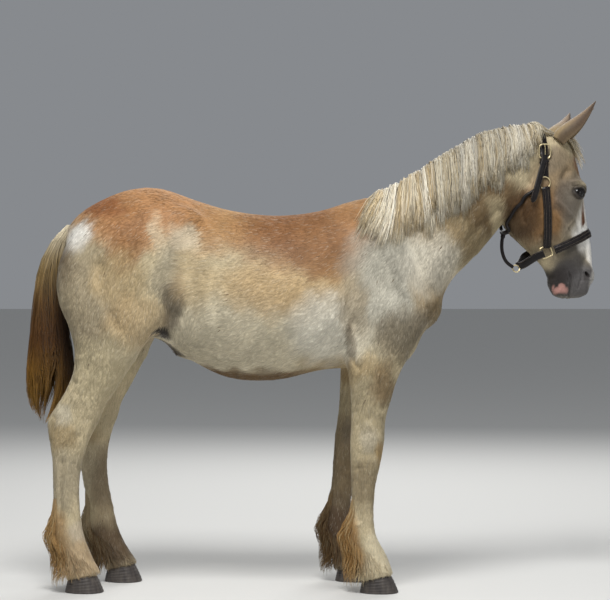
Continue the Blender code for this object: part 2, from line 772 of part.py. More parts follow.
def lid_ring(side, scrap):
    """The raised rim of both lids, an almond that lies on the eye."""
    centre, out, length, up = eye_frame(side)
    points, radii = [], []
    steps = 12
    for step in range(steps):
        turn = 2 * math.pi * step / steps
        u = LID_LENGTH * SCALE * math.cos(turn)
        v = LID_HEIGHT * SCALE * math.sin(turn) * (1 - 0.25 * math.cos(turn) ** 2)
        rise = math.sqrt((EYE_RADIUS * SCALE) ** 2 - min(0.9 * EYE_RADIUS**2, u * u + v * v))
        points.append(centre + out * rise + length * u + up * v)
        radii.append((UPPER_LID if math.sin(turn) > -0.1 else LOWER_LID) * SCALE)
    body = bmesh.new()
    add_tube(body, points, radii, sides=5, closed=True)
    return object_of("lids", body, None, scrap)


def ball(name, centre, size, turn, segments, rings, finish, collection):
    """An ellipsoid with the given half sizes and turn."""
    body = bmesh.new()
    scale = Matrix.Diagonal((*size, 1))
    place = Matrix.Translation(centre) @ turn @ scale
    bmesh.ops.create_uvsphere(
        body, u_segments=segments, v_segments=rings, radius=1, matrix=place
    )
    return object_of(name, body, finish, collection)


def eyeball(name, side, radius, finish, collection):
    """A round eye with its pole facing out."""
    centre, out, length, up = eye_frame(side)
    turn = Matrix((length, up, length.cross(up))).transposed().to_4x4()
    size = (radius * SCALE,) * 3
    return ball(name, centre, size, turn, 12, 8, finish, collection)


def nostril_cutter(side, scrap):
    """A slanted egg that hollows a nostril."""
    turn = Matrix.Rotation(math.radians(-14), 4, "Y") @ Matrix.Rotation(-0.35 * side, 4, "Z")
    size = (0.0085 * SCALE, 0.016 * SCALE, 0.019 * SCALE)
    return ball("nostril", on_side(NOSTRIL, side), size, turn, 10, 7, None, scrap)


def mouth_cutter(head, scrap):
    """A shallow slit round the muzzle, from one corner of the mouth to the other."""
    tree = surface_tree([head])
    frame = head_place()
    centre = frame @ at(MOUTH_X, 0, MOUTH_CENTRE)
    rings = []
    reach = math.radians(104)
    steps = 12
    for step in range(steps + 1):
        turn = -reach + 2 * reach * step / steps
        way = frame.to_3x3() @ Vector((0, math.sin(turn), -math.cos(turn)))
        place, _ = cast(tree, centre + way * 0.3, centre)
        taper = max(0.12, 1 - abs(turn / reach) ** 4)
        half = frame.to_3x3() @ Vector((MOUTH_OPENING / 2 * SCALE, 0, 0)) * taper
        deep = place - way * MOUTH_DEPTH * taper
        outer = place + way * 0.02
        rings.append([deep - half, deep + half, outer + half, outer - half])
    body = bmesh.new()
    add_rings(body, rings)
    return object_of("mouth", body, None, scrap)


def finish_head(head, scrap):
    """Adds lids to the head and hollows its eye sockets, nostrils and mouth."""
    place = head_place()
    lids = [lid_ring(side, scrap) for side in (-1, 1)]
    for lid in lids:
        to_place(lid, place)
    union_all(head, lids, scrap)
    boolean(head, mouth_cutter(head, scrap), "DIFFERENCE")
    for side in (-1, 1):
        socket = eyeball("socket", side, EYE_RADIUS + GAP, None, scrap)
        to_place(socket, place)
        boolean(head, socket, "DIFFERENCE")
        nostril = nostril_cutter(side, scrap)
        to_place(nostril, place)
        boolean(head, nostril, "DIFFERENCE")
    keep_largest(head)


def ear(name, side, lean, head, finish, horse, scrap):
    """A cupped ear whose open side faces forward and out, set on the head."""
    base = on_side(EAR_BASE, side)
    way = on_side(lean, side).normalized()
    length = EAR_LENGTH * SCALE
    opening = on_side(EAR_OPENING, side)
    opening = (opening - way * opening.dot(way)).normalized()
    across = way.cross(opening)
    rings = []
    for place, width, fill in EAR_SHAPE:
        half = width * SCALE / 2
        wall = min(EAR_WALL * SCALE, half * 0.5)
        bow = EAR_BOW * SCALE * math.sin(math.pi * max(0, place))
        middle = base + way * place * length + opening * bow
        depth = half * (EAR_DEPTH - 0.25 * max(0, place))
        outer, inner = [], []
        chord = math.cos(math.radians(112)) * depth
        for step in range(7):
            turn = math.radians(-112 + 224 * step / 6)
            sideways, back = math.sin(turn), math.cos(turn)
            outer.append(middle + across * half * sideways - opening * depth * back)
            shrink = 1 - wall / half
            hollow = depth * back * shrink
            level = hollow + (chord - hollow) * fill * 0.96 if hollow > chord else hollow
            inner.append(middle + across * half * shrink * sideways - opening * level)
        rings.append(outer + inner[::-1])
    body = bmesh.new()
    add_rings(body, rings)
    made = object_of(name, body, finish, horse)
    to_place(made, head_place())
    fit_against(made, head, scrap)
    return made


def mane_place(tree, x, fall, lift):
    """A point of the mane: under a crest place by a length of fall, off the neck by a lift."""
    high = at(x, 0, 2.4)
    low = at(x, 0, 1.0)
    crest, _ = cast(tree, bend(high), bend(low))
    curl = MANE_CURL * SCALE
    turn = min(1, fall / curl) * math.pi / 2
    drop = max(0, fall - curl)
    middle = Vector((x * SCALE, 0, crest.z - 0.75 * curl - drop))
    outside = middle + Vector((0, -math.sin(turn), math.cos(turn))) * 0.6
    place, normal = cast(tree, bend(outside), bend(middle))
    away = (bend(outside) - bend(middle)).normalized()
    return place + (normal * 0.6 + away * 0.4) * lift, away


def mane_fall(x):
    """The length of the mane where its roots are x along the body."""
    along = (x - MANE_FROM) / (MANE_TO - MANE_FROM)
    return (MANE_FALL_WITHERS + (MANE_FALL_POLL - MANE_FALL_WITHERS) * along) * SCALE


def lock_share(along):
    """How wide a lock is along its length, as a share of its full width."""
    root = min(1, 0.55 + 1.5 * along)
    return root * (1 - 0.93 * max(0, (along - 0.35) / 0.65) ** 1.5)


def lock(places, outs, steps, layer, scrap):
    """One flat lock along its places, a diamond in section that narrows to its tip."""
    last = len(places) - 1
    rings = []
    for n, (place, out, along) in enumerate(zip(places, outs, steps)):
        way = (places[min(last, n + 1)] - places[max(0, n - 1)]).normalized()
        across = way.cross(out).normalized()
        away = across.cross(way)
        share = lock_share(along)
        side = across * layer.width / 2 * share * SCALE
        rise = away * layer.thickness / 2 * max(share, 0.25) * SCALE
        rings.append([place + side, place + rise, place - side, place - rise])
    body = bmesh.new()
    add_rings(body, rings)
    return object_of("lock", body, None, scrap)


def mane_lock(tree, x, reach, sway, layer, scrap):
    """A lock of mane with its root over the crest and its tip down the right of the neck."""
    places, outs = [], []
    for along in LOCK_STEPS:
        down = reach * along - MANE_ROOT * SCALE
        lift = layer.lift * (1 - 0.55 * along) if along else -0.006
        place, away = mane_place(tree, x + sway * along, down, lift * SCALE)
        places.append(place)
        outs.append(away)
    return lock(places, outs, LOCK_STEPS, layer, scrap)


def mane_locks(tree, scrap):
    """The locks of the mane in two layers along the crest."""
    draw = random.Random(SEED)
    made = []
    for layer in MANE_LAYERS:
        for n in range(layer.count):
            along = (n + 0.5 + draw.uniform(-0.2, 0.2)) / layer.count
            x = MANE_FROM + (MANE_TO - MANE_FROM) * along
            reach = mane_fall(x) * (1 - layer.short) * draw.uniform(0.90, 1.08) + MANE_ROOT * SCALE
            sway = draw.uniform(-1, 0.6) * MANE_SWAY
            made.append(mane_lock(tree, x, reach, sway, layer, scrap))
    return made


def forelock(tree, scrap):
    """Thin wisps of forelock that fall from between the ears and stand off the forehead."""
    draw = random.Random(SEED + 1)
    frame = head_place()
    layer = FORELOCK_LAYER
    made = []
    for n in range(layer.count):
        across = ((n + 0.5) / layer.count - 0.5) * FORELOCK_ROOT + draw.uniform(-0.002, 0.002)
        reach = draw.uniform(0.75, 1.1)
        places, outs = [], []
        for along in LOCK_STEPS:
            x = 0.972 + 0.052 * along * reach
            z = 1.755 - 0.130 * along * reach
            out = Vector((0.75, 0, 0.66))
            aim = Vector((x, across * (1 + FORELOCK_SPREAD * along), z)) * SCALE
            place, _ = cast(tree, frame @ (aim + out * 0.2), frame @ (aim - out * 0.1))
            away = frame.to_3x3() @ out.normalized()
            lift = layer.lift * math.sin(math.pi * min(1, 0.1 + along)) + 0.003 if along else -0.004
            places.append(place + away * lift * SCALE)
            outs.append(away)
        made.append(lock(places, outs, LOCK_STEPS, layer, scrap))
    return made


def forelock_core(tree, scrap):
    """The close hair between the ears that the forelock's wisps grow from."""
    frame = head_place()
    rings = []
    for step in range(4):
        along = step / 6
        x, z = 0.975 + 0.045 * along, 1.752 - 0.115 * along
        half = (FORELOCK_ROOT / 2 + 0.012 * along) * SCALE
        ring = []
        for lift, sides in ((0.010 - 0.004 * along, (-1, -0.4, 0.4, 1)), (-0.006, (1, -1))):
            for shift in sides:
                out = Vector((0.75, 0, 0.66))
                aim = Vector((x * SCALE, half * shift, z * SCALE))
                place, normal = cast(tree, frame @ (aim + out * 0.2), frame @ (aim - out * 0.1))
                rim = 0.5 if abs(shift) == 1 and lift > 0 else 1
                ring.append(place + normal * lift * rim * SCALE)
        rings.append(ring)
    body = bmesh.new()
    add_rings(body, rings)
    return object_of("forelock", body, None, scrap)


def tail_at(z):
    """The tail's front and rear edges and its half width at a height, between its levels."""
    for upper, lower in zip(TAIL_LEVELS, TAIL_LEVELS[1:]):
        if lower[0] <= z <= upper[0]:
            share = (upper[0] - z) / (upper[0] - lower[0])
            return [a + (b - a) * share for a, b in zip(upper[1:], lower[1:])]
    raise ValueError(f"no tail at {z}")


def tail_lock(turn, tip, layer, scrap):
    """A lock of the tail at a turn round it, from the dock down to a tip's height."""
    places, outs = [], []
    steps = (0.0, 0.25, 0.55, 0.82, 1.0)
    for along in steps:
        z = TAIL_ROOT + (tip - TAIL_ROOT) * along
        front, rear, half = tail_at(z)
        out = Vector((math.cos(turn) * (front - rear) / 2, math.sin(turn) * half, 0))
        spread = layer.lift * min(1, 0.45 + 2 * along)
        places.append((Vector(((front + rear) / 2, 0, z)) + out * spread) * SCALE)
        outs.append(Vector((math.cos(turn), math.sin(turn), 0.02)))
    return lock(places, outs, steps, layer, scrap)


def tail(name, finish, horse, scrap):
    """The tail: a core round the dock and locks that reach past it to their tips."""
    draw = random.Random(SEED + 2)
    rings = []
    for z, front, rear, half in TAIL_LEVELS:
        if z >= TAIL_PARTING:
            thin = (front - rear) / 2 * TAIL_CORE_THINNING * (TAIL_ROOT - min(z, TAIL_ROOT))
            rings.append(ring_points((front - thin, z, rear + thin, z, 0, half - thin, 2.2, 0), 12))
    body = bmesh.new()
    add_loft(body, rings)
    made = object_of(name, body, finish, horse)
    low, high = TAIL_TIPS
    locks = []
    for layer in TAIL_LAYERS:
        for n in range(layer.count):
            turn = 2 * math.pi * (n + draw.uniform(-0.2, 0.2)) / layer.count
            tip = low + (high - low) * (layer.short + (1 - layer.short) * draw.random()) * draw.random()
            locks.append(tail_lock(turn, tip, layer, scrap))
    union_all(made, locks, scrap)
    return made


def leg_at(stations, lead, z):
    """The front, rear and half width of a leg at a height, between its stations."""
    for upper, lower in zip(stations, stations[1:]):
        if lower.first[1] <= z <= upper.first[1]:
            share = (upper.first[1] - z) / (upper.first[1] - lower.first[1])
            front = upper.first[0] + (lower.first[0] - upper.first[0]) * share
            rear = upper.second[0] + (lower.second[0] - upper.second[0]) * share
            half = upper.half + (lower.half - upper.half) * share
            shift = lead_at(lead, z) if lead else 0
            return front + shift, rear + shift, half
    raise ValueError(f"no leg at {z}")


def feather_lock(stations, lead, y, turn, root, drop, stand, scrap):
    """A lock of feather at a turn round a leg, which hangs down and out from its root."""
    places, outs = [], []
    steps = (0.0, 0.3, 0.7, 1.0)
    for along in steps:
        z = max(root - drop * along, 0.012)
        front, rear, half = leg_at(stations, lead, z)
        way = Vector((-math.cos(turn), math.sin(turn), 0))
        edge = Vector((way.x * (front - rear) / 2, way.y * half, 0))
        off = -0.010 + (stand + 0.010) * min(1, along * 1.5)
        place = Vector(((front + rear) / 2, y, z)) + edge + way * off * (0.45 + 0.55 * abs(way.x))
        places.append(place * SCALE)
        outs.append(way)
    return lock(places, outs, steps, FEATHER_LAYER, scrap)


def feather(stations, lead, y, horny, scrap):
    """The feather of one leg as closed pieces: a core and rows of locks, clear of the hoof."""
    draw = random.Random(f"{SEED} {stations[0].name} {y}")
    made = [feather_core(stations, lead, y, scrap)]
    for root, widest, drop, stand, count in FEATHER_ROWS:
        for n in range(count):
            turn = math.radians(widest) * ((n + 0.5) / count * 2 - 1) * count / (count - 1)
            turn += draw.uniform(-0.08, 0.08)
            reach = drop * draw.uniform(0.88, 1.06)
            hair = feather_lock(stations, lead, y, turn, root, reach, stand, scrap)
            fit_against(hair, horny, scrap)
            made.append(hair)
    return made


def feather_core(stations, lead, y, scrap):
    """The close hair behind the fetlock that the feather's locks grow from."""
    rings = []
    for z, bulk in FEATHER_LEVELS:
        front, rear, half = leg_at(stations, lead, z)
        middle = front + (rear - front) * 0.55
        ring = ring_points((middle, z, rear - bulk, z, y, half + bulk * 0.12, 2.2, 0), 12)
        rings.append(ring)
    body = bmesh.new()
    add_loft(body, rings)
    return object_of("feather", body, None, scrap)


def hoof(name, x, y, finish, horse):
    """A hoof with a sloping wall, a flat sole on the ground and a top under the coronet."""
    rows = [
        # share of the height, toe, heel, half width
        (0.00, 0.076, -0.068, 0.066),
        (0.06, 0.077, -0.069, 0.067),
        (0.55, 0.062, -0.064, 0.062),
        (1.00, 0.046, -0.058, 0.056),
    ]
    rings = []
    for share, toe, heel, half in rows:
        ring = []
        for point in ring_points((x + toe, 0, x + heel, 0, y, half, 2.3, 0.0), 18):
            along = (point.x - x - heel) / (toe - heel)
            top = CORONET_HEEL + (CORONET_FRONT - CORONET_HEEL) * (point.x - x + 0.066) / 0.132 - GAP
            point.z = top * share
            point.y = y + (point.y - y) * (0.86 + 0.14 * min(1, along * 1.6))
            ring.append(point)
        rings.append(ring)
    body = bmesh.new()
    add_loft(body, rings)
    return object_of(name, body, finish, horse)


def strap_between(body, lefts, rights, outs, thickness, closed=False):
    """Adds a strap whose inner edges are two lines of points and whose outside faces outs."""
    rings = []
    for left, right, out in zip(lefts, rights, outs):
        away = out.normalized() * thickness
        rings.append([left, right, right + away, left + away])
    add_rings(body, rings, closed)


def strap_on_head(name, lefts, rights, outs, head, finish, horse, scrap):
    """A strap made of its inner edges, cut clear of the head where the head swells into it."""
    body = bmesh.new()
    strap_between(body, lefts, rights, outs, STRAP_THICKNESS * SCALE)
    made = object_of(name, body, finish, horse)
    fit_against(made, head, scrap)
    return made


def crown_strap(tree, head, finish, horse, scrap):
    """The strap behind the ears, from one buckle over the poll to the other."""
    frame = head_place()
    lefts, rights, outs = [], [], []
    steps = 12
    for step in range(steps + 1):
        turn = CROWN_REACH * (2 * step / steps - 1)
        way = frame.to_3x3() @ Vector((0, math.sin(turn), math.cos(turn)))
        for shift, line in ((-0.5, lefts), (0.5, rights)):
            middle = frame @ at(CROWN_X + shift * STRAP_WIDTH, 0, CROWN_CENTRE)
            place, _ = cast(tree, middle + way * 0.5, middle)
            line.append(place + way * STRAP_CLEARANCE)
        outs.append(way)
    return strap_on_head("halter_crown_strap", lefts, rights, outs, head, finish, horse, scrap)


def side_strap(name, tree, route, side, head, finish, horse, scrap):
    """A flat strap on one side of the head along (x, z) places, as a person fits it."""
    frame = head_place()
    lefts, rights, outs = [], [], []
    for n, (x, z) in enumerate(route):
        before = Vector(route[max(0, n - 1)])
        after = Vector(route[min(len(route) - 1, n + 1)])
        way = (after - before).normalized()
        across = Vector((way.y, 0, -way.x)) * STRAP_WIDTH / 2 * SCALE
        out = frame.to_3x3() @ Vector((0, side, 0))
        for shift, line in ((-1, lefts), (1, rights)):
            aim = at(x, 0, z) + across * shift
            far = frame @ (aim + Vector((0, 0.5 * side, 0)))
            place, _ = cast(tree, far, frame @ aim)
            line.append(place + out * STRAP_CLEARANCE)
        outs.append(out)
    return strap_on_head(name, lefts, rights, outs, head, finish, horse, scrap)


def ring_wire(name, points, finish, horse, radius=RING_WIRE):
    """A closed ring of brass wire through points."""
    body = bmesh.new()
    add_tube(body, points, [radius * SCALE] * len(points), sides=5, closed=True)
    return object_of(name, body, finish, horse)


def side_outline(tree, x, z, outline, side, lift):
    """Places an outline of (x, z) offsets on the side of the head, all at one height off it."""
    frame = head_place()
    heights = []
    for across, up in outline:
        aim = at(x + across, 0, z + up)
        place, _ = cast(tree, frame @ (aim + Vector((0, 0.5 * side, 0))), frame @ aim)
        heights.append((frame.inverted() @ place).y * side)
    level = max(heights) + lift
    return [frame @ Vector(((x + a) * SCALE, level * side, (z + u) * SCALE)) for a, u in outline]


def round_outline(radius, steps):
    """Offsets of a circle."""
    turns = [2 * math.pi * step / steps for step in range(steps)]
    return [(radius * math.cos(turn), radius * math.sin(turn)) for turn in turns]


def frame_outline(half_length, half_width, tilt, steps, square=4.0):
    """Offsets of a rounded rectangle, turned by a tilt."""
    outline = []
    for step in range(steps):
        turn = 2 * math.pi * (step + 0.5) / steps
        a = rounded(math.cos(turn), square) * half_width
        b = rounded(math.sin(turn), square) * half_length
        outline.append((a * math.cos(tilt) - b * math.sin(tilt), a * math.sin(tilt) + b * math.cos(tilt)))
    return outline


def noseband(tree, head, finish, horse, scrap):
    """The band from one square ring over the nose to the other."""
    frame = head_place()
    forward = Vector((math.cos(NOSE_RISE), 0, math.sin(NOSE_RISE)))
    upward = Vector((-math.sin(NOSE_RISE), 0, math.cos(NOSE_RISE)))
    lefts, rights, outs = [], [], []
    steps = 22
    for step in range(steps + 1):
        turn = NOSE_REACH * (2 * step / steps - 1)
        way = frame.to_3x3() @ (forward * math.cos(turn) + Vector((0, math.sin(turn), 0)))
        for shift, line in ((-0.5, lefts), (0.5, rights)):
            middle = at(NOSE_CENTRE[0], 0, NOSE_CENTRE[1]) + upward * shift * STRAP_WIDTH * SCALE
            middle = frame @ middle
            place, _ = cast(tree, middle + way * 0.4, middle)
            line.append(place + way * STRAP_CLEARANCE)
        outs.append(way)
    return strap_on_head("halter_noseband", lefts, rights, outs, head, finish, horse, scrap)


def halter(head, neck, leather, brass, horse, scrap):
    """All the pieces of the halter, each in a node of its own."""
    tree = surface_tree([head, neck])
    crown = crown_strap(tree, head, leather, horse, scrap)
    noseband(tree, head, leather, horse, scrap)
    names = {-1: "right", 1: "left"}
    frame = head_place()
    throat_strap(tree, head, leather, horse, scrap)
    hanging_strap(leather, horse)
    chin_ring(brass, horse)
    for side, word in names.items():
        buckle = frame_outline(BUCKLE_HALF_LENGTH, BUCKLE_HALF_WIDTH, 0.0, 12, 3.2)
        points = side_outline(tree, *BUCKLE, buckle, side, 0.0105)
        ring_wire(f"halter_buckle_{word}", points, brass, horse)
        name = f"halter_buckle_strap_{word}"
        side_strap(name, tree, BUCKLE_STRAP_ROUTE, side, head, leather, horse, scrap)
        points = side_outline(tree, *UPPER_RING, round_outline(UPPER_RING_RADIUS, 12), side, 0.0056)
        ring_wire(f"halter_upper_ring_{word}", points, brass, horse)
        name = f"halter_cheek_strap_{word}"
        side_strap(name, tree, CHEEK_STRAP_ROUTE, side, head, leather, horse, scrap)
        billet(tree, word, side, leather, horse)
        chin_strap(word, side, leather, horse)
        square = frame_outline(SQUARE_RING_HALF, SQUARE_RING_HALF, NOSE_RISE, 8, 5.0)
        points = side_outline(tree, *SQUARE_RING, square, side, 0.0056)
        ring_wire(f"halter_square_ring_{word}", points, brass, horse)
    return crown


def billet(tree, word, side, finish, horse):
    """The loose end of the crown strap, which hangs from the buckle over the other straps."""
    frame = head_place()
    lefts, rights, outs = [], [], []
    for n, (x, z, lift) in enumerate(BILLET_ROUTE):
        half = BILLET_WIDTH / 2 * (1 if n < len(BILLET_ROUTE) - 1 else 0.55)
        aim = at(x, 0, z)
        place, _ = cast(tree, frame @ (aim + Vector((0, 0.5 * side, 0))), frame @ aim)
        level = (frame.inverted() @ place).y * side + lift * SCALE
        for shift, line in ((-1, lefts), (1, rights)):
            line.append(frame @ Vector((aim.x + half * shift * SCALE, level * side, aim.z)))
        outs.append(frame.to_3x3() @ Vector((0, side, 0)))
    body = bmesh.new()
    strap_between(body, lefts, rights, outs, STRAP_THICKNESS * SCALE)
    return object_of(f"halter_billet_{word}", body, finish, horse)


def chin_strap(word, side, finish, horse):
    """Half of the strap behind the chin, from a square ring down to the chin ring."""
    frame = head_place()
    lefts, rights, outs = [], [], []
    for x, y, z, half in CHIN_STRAP_ROUTE:
        lefts.append(frame @ on_side((x - half * 0.35, y, z - half), side))
        rights.append(frame @ on_side((x + half * 0.35, y, z + half), side))
        outs.append(frame.to_3x3() @ Vector((-0.35 * (1 - y / 0.08), side * (0.4 + y / 0.08), -0.3)))
    body = bmesh.new()
    strap_between(body, lefts, rights, outs, STRAP_THICKNESS * SCALE)
    return object_of(f"halter_chin_strap_{word}", body, finish, horse)


def throat_strap(tree, head, finish, horse, scrap):
    """The rolled strap from one upper ring round the throat to the other."""
    frame = head_place()
    out = ROLLED_STRAP + STRAP_CLEARANCE + 0.0005
    half = []
    for x, z in THROAT_ROUTE:
        aim = at(x, 0, z)
        place, normal = cast(tree, frame @ (aim + Vector((0, -0.5, 0))), frame @ aim)
        half.append(frame.inverted() @ (place + normal * out * SCALE))
    right = half + [at(*place) for place in THROAT_LOW]
    points = right + [Vector((place.x, -place.y, place.z)) for place in right[::-1]]
    line = [frame @ point for point in points]
    made = tube("halter_throat_strap", line, ROLLED_STRAP * SCALE, finish, horse)
    fit_against(made, head, scrap)
    return made


def hanging_strap(finish, horse):
    """The rolled strap that joins the throat strap to the chin ring, on the middle line."""
    frame = head_place()
    points = [frame @ at(x, 0, z) for x, z in HANGING_ROUTE]
    return tube("halter_hanging_strap", points, ROLLED_STRAP * SCALE, finish, horse)


def chin_ring(brass, horse):
    """The ring that hangs under the jaw, where the chin straps and the rolled strap meet."""
    frame = head_place()
    points = []
    for across, up in round_outline(0.014, 12):
        points.append(frame @ at(CHIN_RING[0] + across, up * 0.35, CHIN_RING[1] + up * 0.94))
    return ring_wire("halter_chin_ring", points, brass, horse)


def prism(name, outline, half, scrap):
    """A cutter with an outline of (x, z) points in the side view, across the whole horse."""
    body = bmesh.new()
    rings = [[at(x, y, z) for x, z in outline] for y in (-half, half)]
    add_rings(body, rings)
    made = object_of(name, body, None, scrap)
    made.hide_render = True
    made.display_type = "WIRE"
    return made


def hind_outline(grow):
    """The side view of all that counts as hind leg, moved out by a distance."""
    return [
        (-1.25, 1.261 + grow * 1.1),
        (-0.575 + grow, 0.977 + grow * 1.1),
        (-0.560 + grow, 0.800),
        (-0.480 + grow, 0.650),
        (-0.480 + grow, -0.1),
        (-1.25, -0.1),
    ]


def part_hindquarters(torso, skin, horse, scrap):
    """Takes both thighs off the torso and splits them from each other."""
    right = copy_of(torso, "thigh_right", skin, horse)
    boolean(right, prism("inside", hind_outline(0), 0.6, scrap), "INTERSECT")
    boolean(torso, prism("outside", hind_outline(GAP / SCALE), 0.6, scrap), "DIFFERENCE")
    middle = cut_frame(at(-0.8, 0, 0.5), (0, 1, 0), (1, 0, 0))
    left = part_off(right, "thigh_left", middle, at(-1, -1, 0), at(1, 1, 1), skin, horse, scrap)
    keep_largest(right)
    return right, left


def part_below(source, name, x, y, height, skin, horse, scrap):
    """Takes off what lies under a height on one side of the body, between two places along it."""
    frame = cut_frame(at(x, y, height), (0, 0, -1), (0, 1, 0))
    return part_off(source, name, frame, at(-0.35, -0.2, 0), at(0.3, 0.2, 1.4), skin, horse, scrap)


def trim_at_coronet(leg, x, y, scrap):
    """Cuts a lower leg off along the slanting line above its hoof."""
    slope = (CORONET_FRONT - CORONET_HEEL) / 0.132
    point = at(x, y, (CORONET_FRONT + CORONET_HEEL) / 2)
    frame = cut_frame(point, (slope, 0, -1), (0, 1, 0))
    cutter = block("trim", frame, at(-0.3, -0.2, 0), at(0.3, 0.2, 0.3), scrap)
    boolean(leg, cutter, "DIFFERENCE")
    keep_largest(leg)


def stand_at_origin(horse):
    """Moves all pieces so that the origin is on the ground under the middle of the whole."""
    points = [vertex.co for thing in horse.objects for vertex in thing.data.vertices]
    low = Vector([min(point[n] for point in points) for n in range(3)])
    high = Vector([max(point[n] for point in points) for n in range(3)])
    shift = Matrix.Translation((-(low.x + high.x) / 2, -(low.y + high.y) / 2, -low.z))
    for thing in horse.objects:
        thing.data.transform(shift)


def main():
    """Builds the horse."""
    for old in list(bpy.data.objects):
        bpy.data.objects.remove(old)
    horse = bpy.data.collections.new("belgian_draft_horse")
    scrap = bpy.data.collections.new("cutters")
    bpy.context.scene.collection.children.link(horse)
    bpy.context.scene.collection.children.link(scrap)

    roan = material("sorrel_roan_coat", (0.52, 0.37, 0.20), 0.75)
    pale = material("cream_leg_coat", (0.58, 0.49, 0.36), 0.75)
    flaxen = material("flaxen_hair", (0.72, 0.62, 0.42), 0.6)
    tan = material("tan_ear_coat", (0.36, 0.23, 0.12), 0.75)
    horn = material("dark_hoof_horn", (0.07, 0.06, 0.055), 0.5)
    eye_brown = material("dark_brown_eye", (0.02, 0.012, 0.008), 0.1)
    leather = material("dark_brown_leather", (0.03, 0.018, 0.014), 0.45)
    brass = material("solid_brass", (0.78, 0.58, 0.25), 0.25, 1.0)

    torso = fleshed(scrap)
    place = head_place()
    thin_out(torso, lambda point: point.x > 0.78 * SCALE, HEAD_TRIANGLES)
    thin_out(torso, lambda point: point.x <= 0.78 * SCALE, BODY_TRIANGLES)
    torso.name = "torso"
    torso.data.materials.append(roan)
    scrap.objects.unlink(torso)
    horse.objects.link(torso)
    tree = surface_tree([torso])

    point, normal = NECK_CUT
    frame = cut_frame(at(point[0], 0, point[1]), (normal[0], 0, normal[1]), (0, 1, 0))
    neck = part_off(torso, "neck", frame, at(-1, -1, 0), at(1, 1, 2), roan, horse, scrap)
    point, normal = HEAD_CUT
    frame = place @ cut_frame(at(point[0], 0, point[1]), (normal[0], 0, normal[1]), (0, 1, 0))
    head = part_off(neck, "head", frame, at(-1, -1, 0), at(1, 1, 2), roan, horse, scrap)

    thighs = part_hindquarters(torso, roan, horse, scrap)
    for side, word, thigh in ((-1, "right", thighs[0]), (1, "left", thighs[1])):
        y = HIND_LEG[-1].y * side
        shank = part_below(thigh, f"hind_leg_{word}", -0.9, y, HOCK_CUT, pale, horse, scrap)
        x = -0.867 + (lead_at(LEFT_HIND_LEAD, 0.03) if side > 0 else 0)
        trim_at_coronet(shank, x, y, scrap)
        lead = LEFT_HIND_LEAD if side > 0 else None
        horny = hoof(f"hind_hoof_{word}", x, y, horn, horse)
        union_all(shank, feather(HIND_LEG, lead, y, horny, scrap), scrap)
    for side, word in ((-1, "right"), (1, "left")):
        y = FORE_LEG[-1].y * side
        arm = part_below(torso, f"forearm_{word}", 0.30, y, FORELEG_CUT, roan, horse, scrap)
        shin = part_below(arm, f"fore_leg_{word}", 0.25, y, KNEE_CUT, pale, horse, scrap)
        x = 0.252 + (lead_at(LEFT_FORE_LEAD, 0.03) if side > 0 else 0)
        trim_at_coronet(shin, x, y, scrap)
        lead = LEFT_FORE_LEAD if side > 0 else None
        horny = hoof(f"fore_hoof_{word}", x, y, horn, horse)
        union_all(shin, feather(FORE_LEG, lead, y, horny, scrap), scrap)
    keep_largest(torso)

    finish_head(head, scrap)
    mane = mane_locks(tree, scrap)
    for hair in mane[:2] + mane[-2:]:
        for neighbour in (head, torso):
            fit_against(hair, neighbour, scrap)
    union_all(neck, mane, scrap)
    crown = halter(head, neck, leather, brass, horse, scrap)
    poll_locks = [mane_lock(tree, x, POLL_REACH * SCALE, 0, MANE_LAYERS[1], scrap) for x in POLL_LOCKS]
    for hair in poll_locks:
        for neighbour in (neck, crown):
            fit_against(hair, neighbour, scrap)
    ears = []
    for side, word, lean in ((-1, "right", RIGHT_EAR_LEAN), (1, "left", LEFT_EAR_LEAN)):
        ears.append(ear(f"ear_{word}", side, lean, head, tan, horse, scrap))
        eye = eyeball(f"eye_{word}", side, EYE_RADIUS, eye_brown, horse)
        to_place(eye, place)
    wisps = [forelock_core(tree, scrap)] + forelock(tree, scrap)
    for hair in wisps:
        for neighbour in ears:
            fit_against(hair, neighbour, scrap)
    union_all(head, wisps + poll_locks, scrap, "EXACT")
    switch = tail("tail", flaxen, horse, scrap)
    for neighbour in (torso, *thighs):
        fit_against(switch, neighbour, scrap)

    stand_at_origin(horse)
    for thing in horse.objects:
        thing.data.shade_smooth()
        thing.data.set_sharp_from_angle(angle=math.radians(40))


main()
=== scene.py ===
"""The dressed look of a young Belgian draft horse in a leather halter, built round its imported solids.

Everything is drawn in metres on a straight horse that faces +X, then bent at the neck and set on the
frame's origin by Stance. One skin stands for the flesh, and all hair is solid mesh rooted in it.
"""

from __future__ import annotations

import logging
import math
from dataclasses import dataclass, field
from enum import IntEnum
from typing import Iterable, Sequence

import bmesh
import bpy
import numpy as np
from mathutils import Matrix, Vector
from mathutils.bvhtree import BVHTree

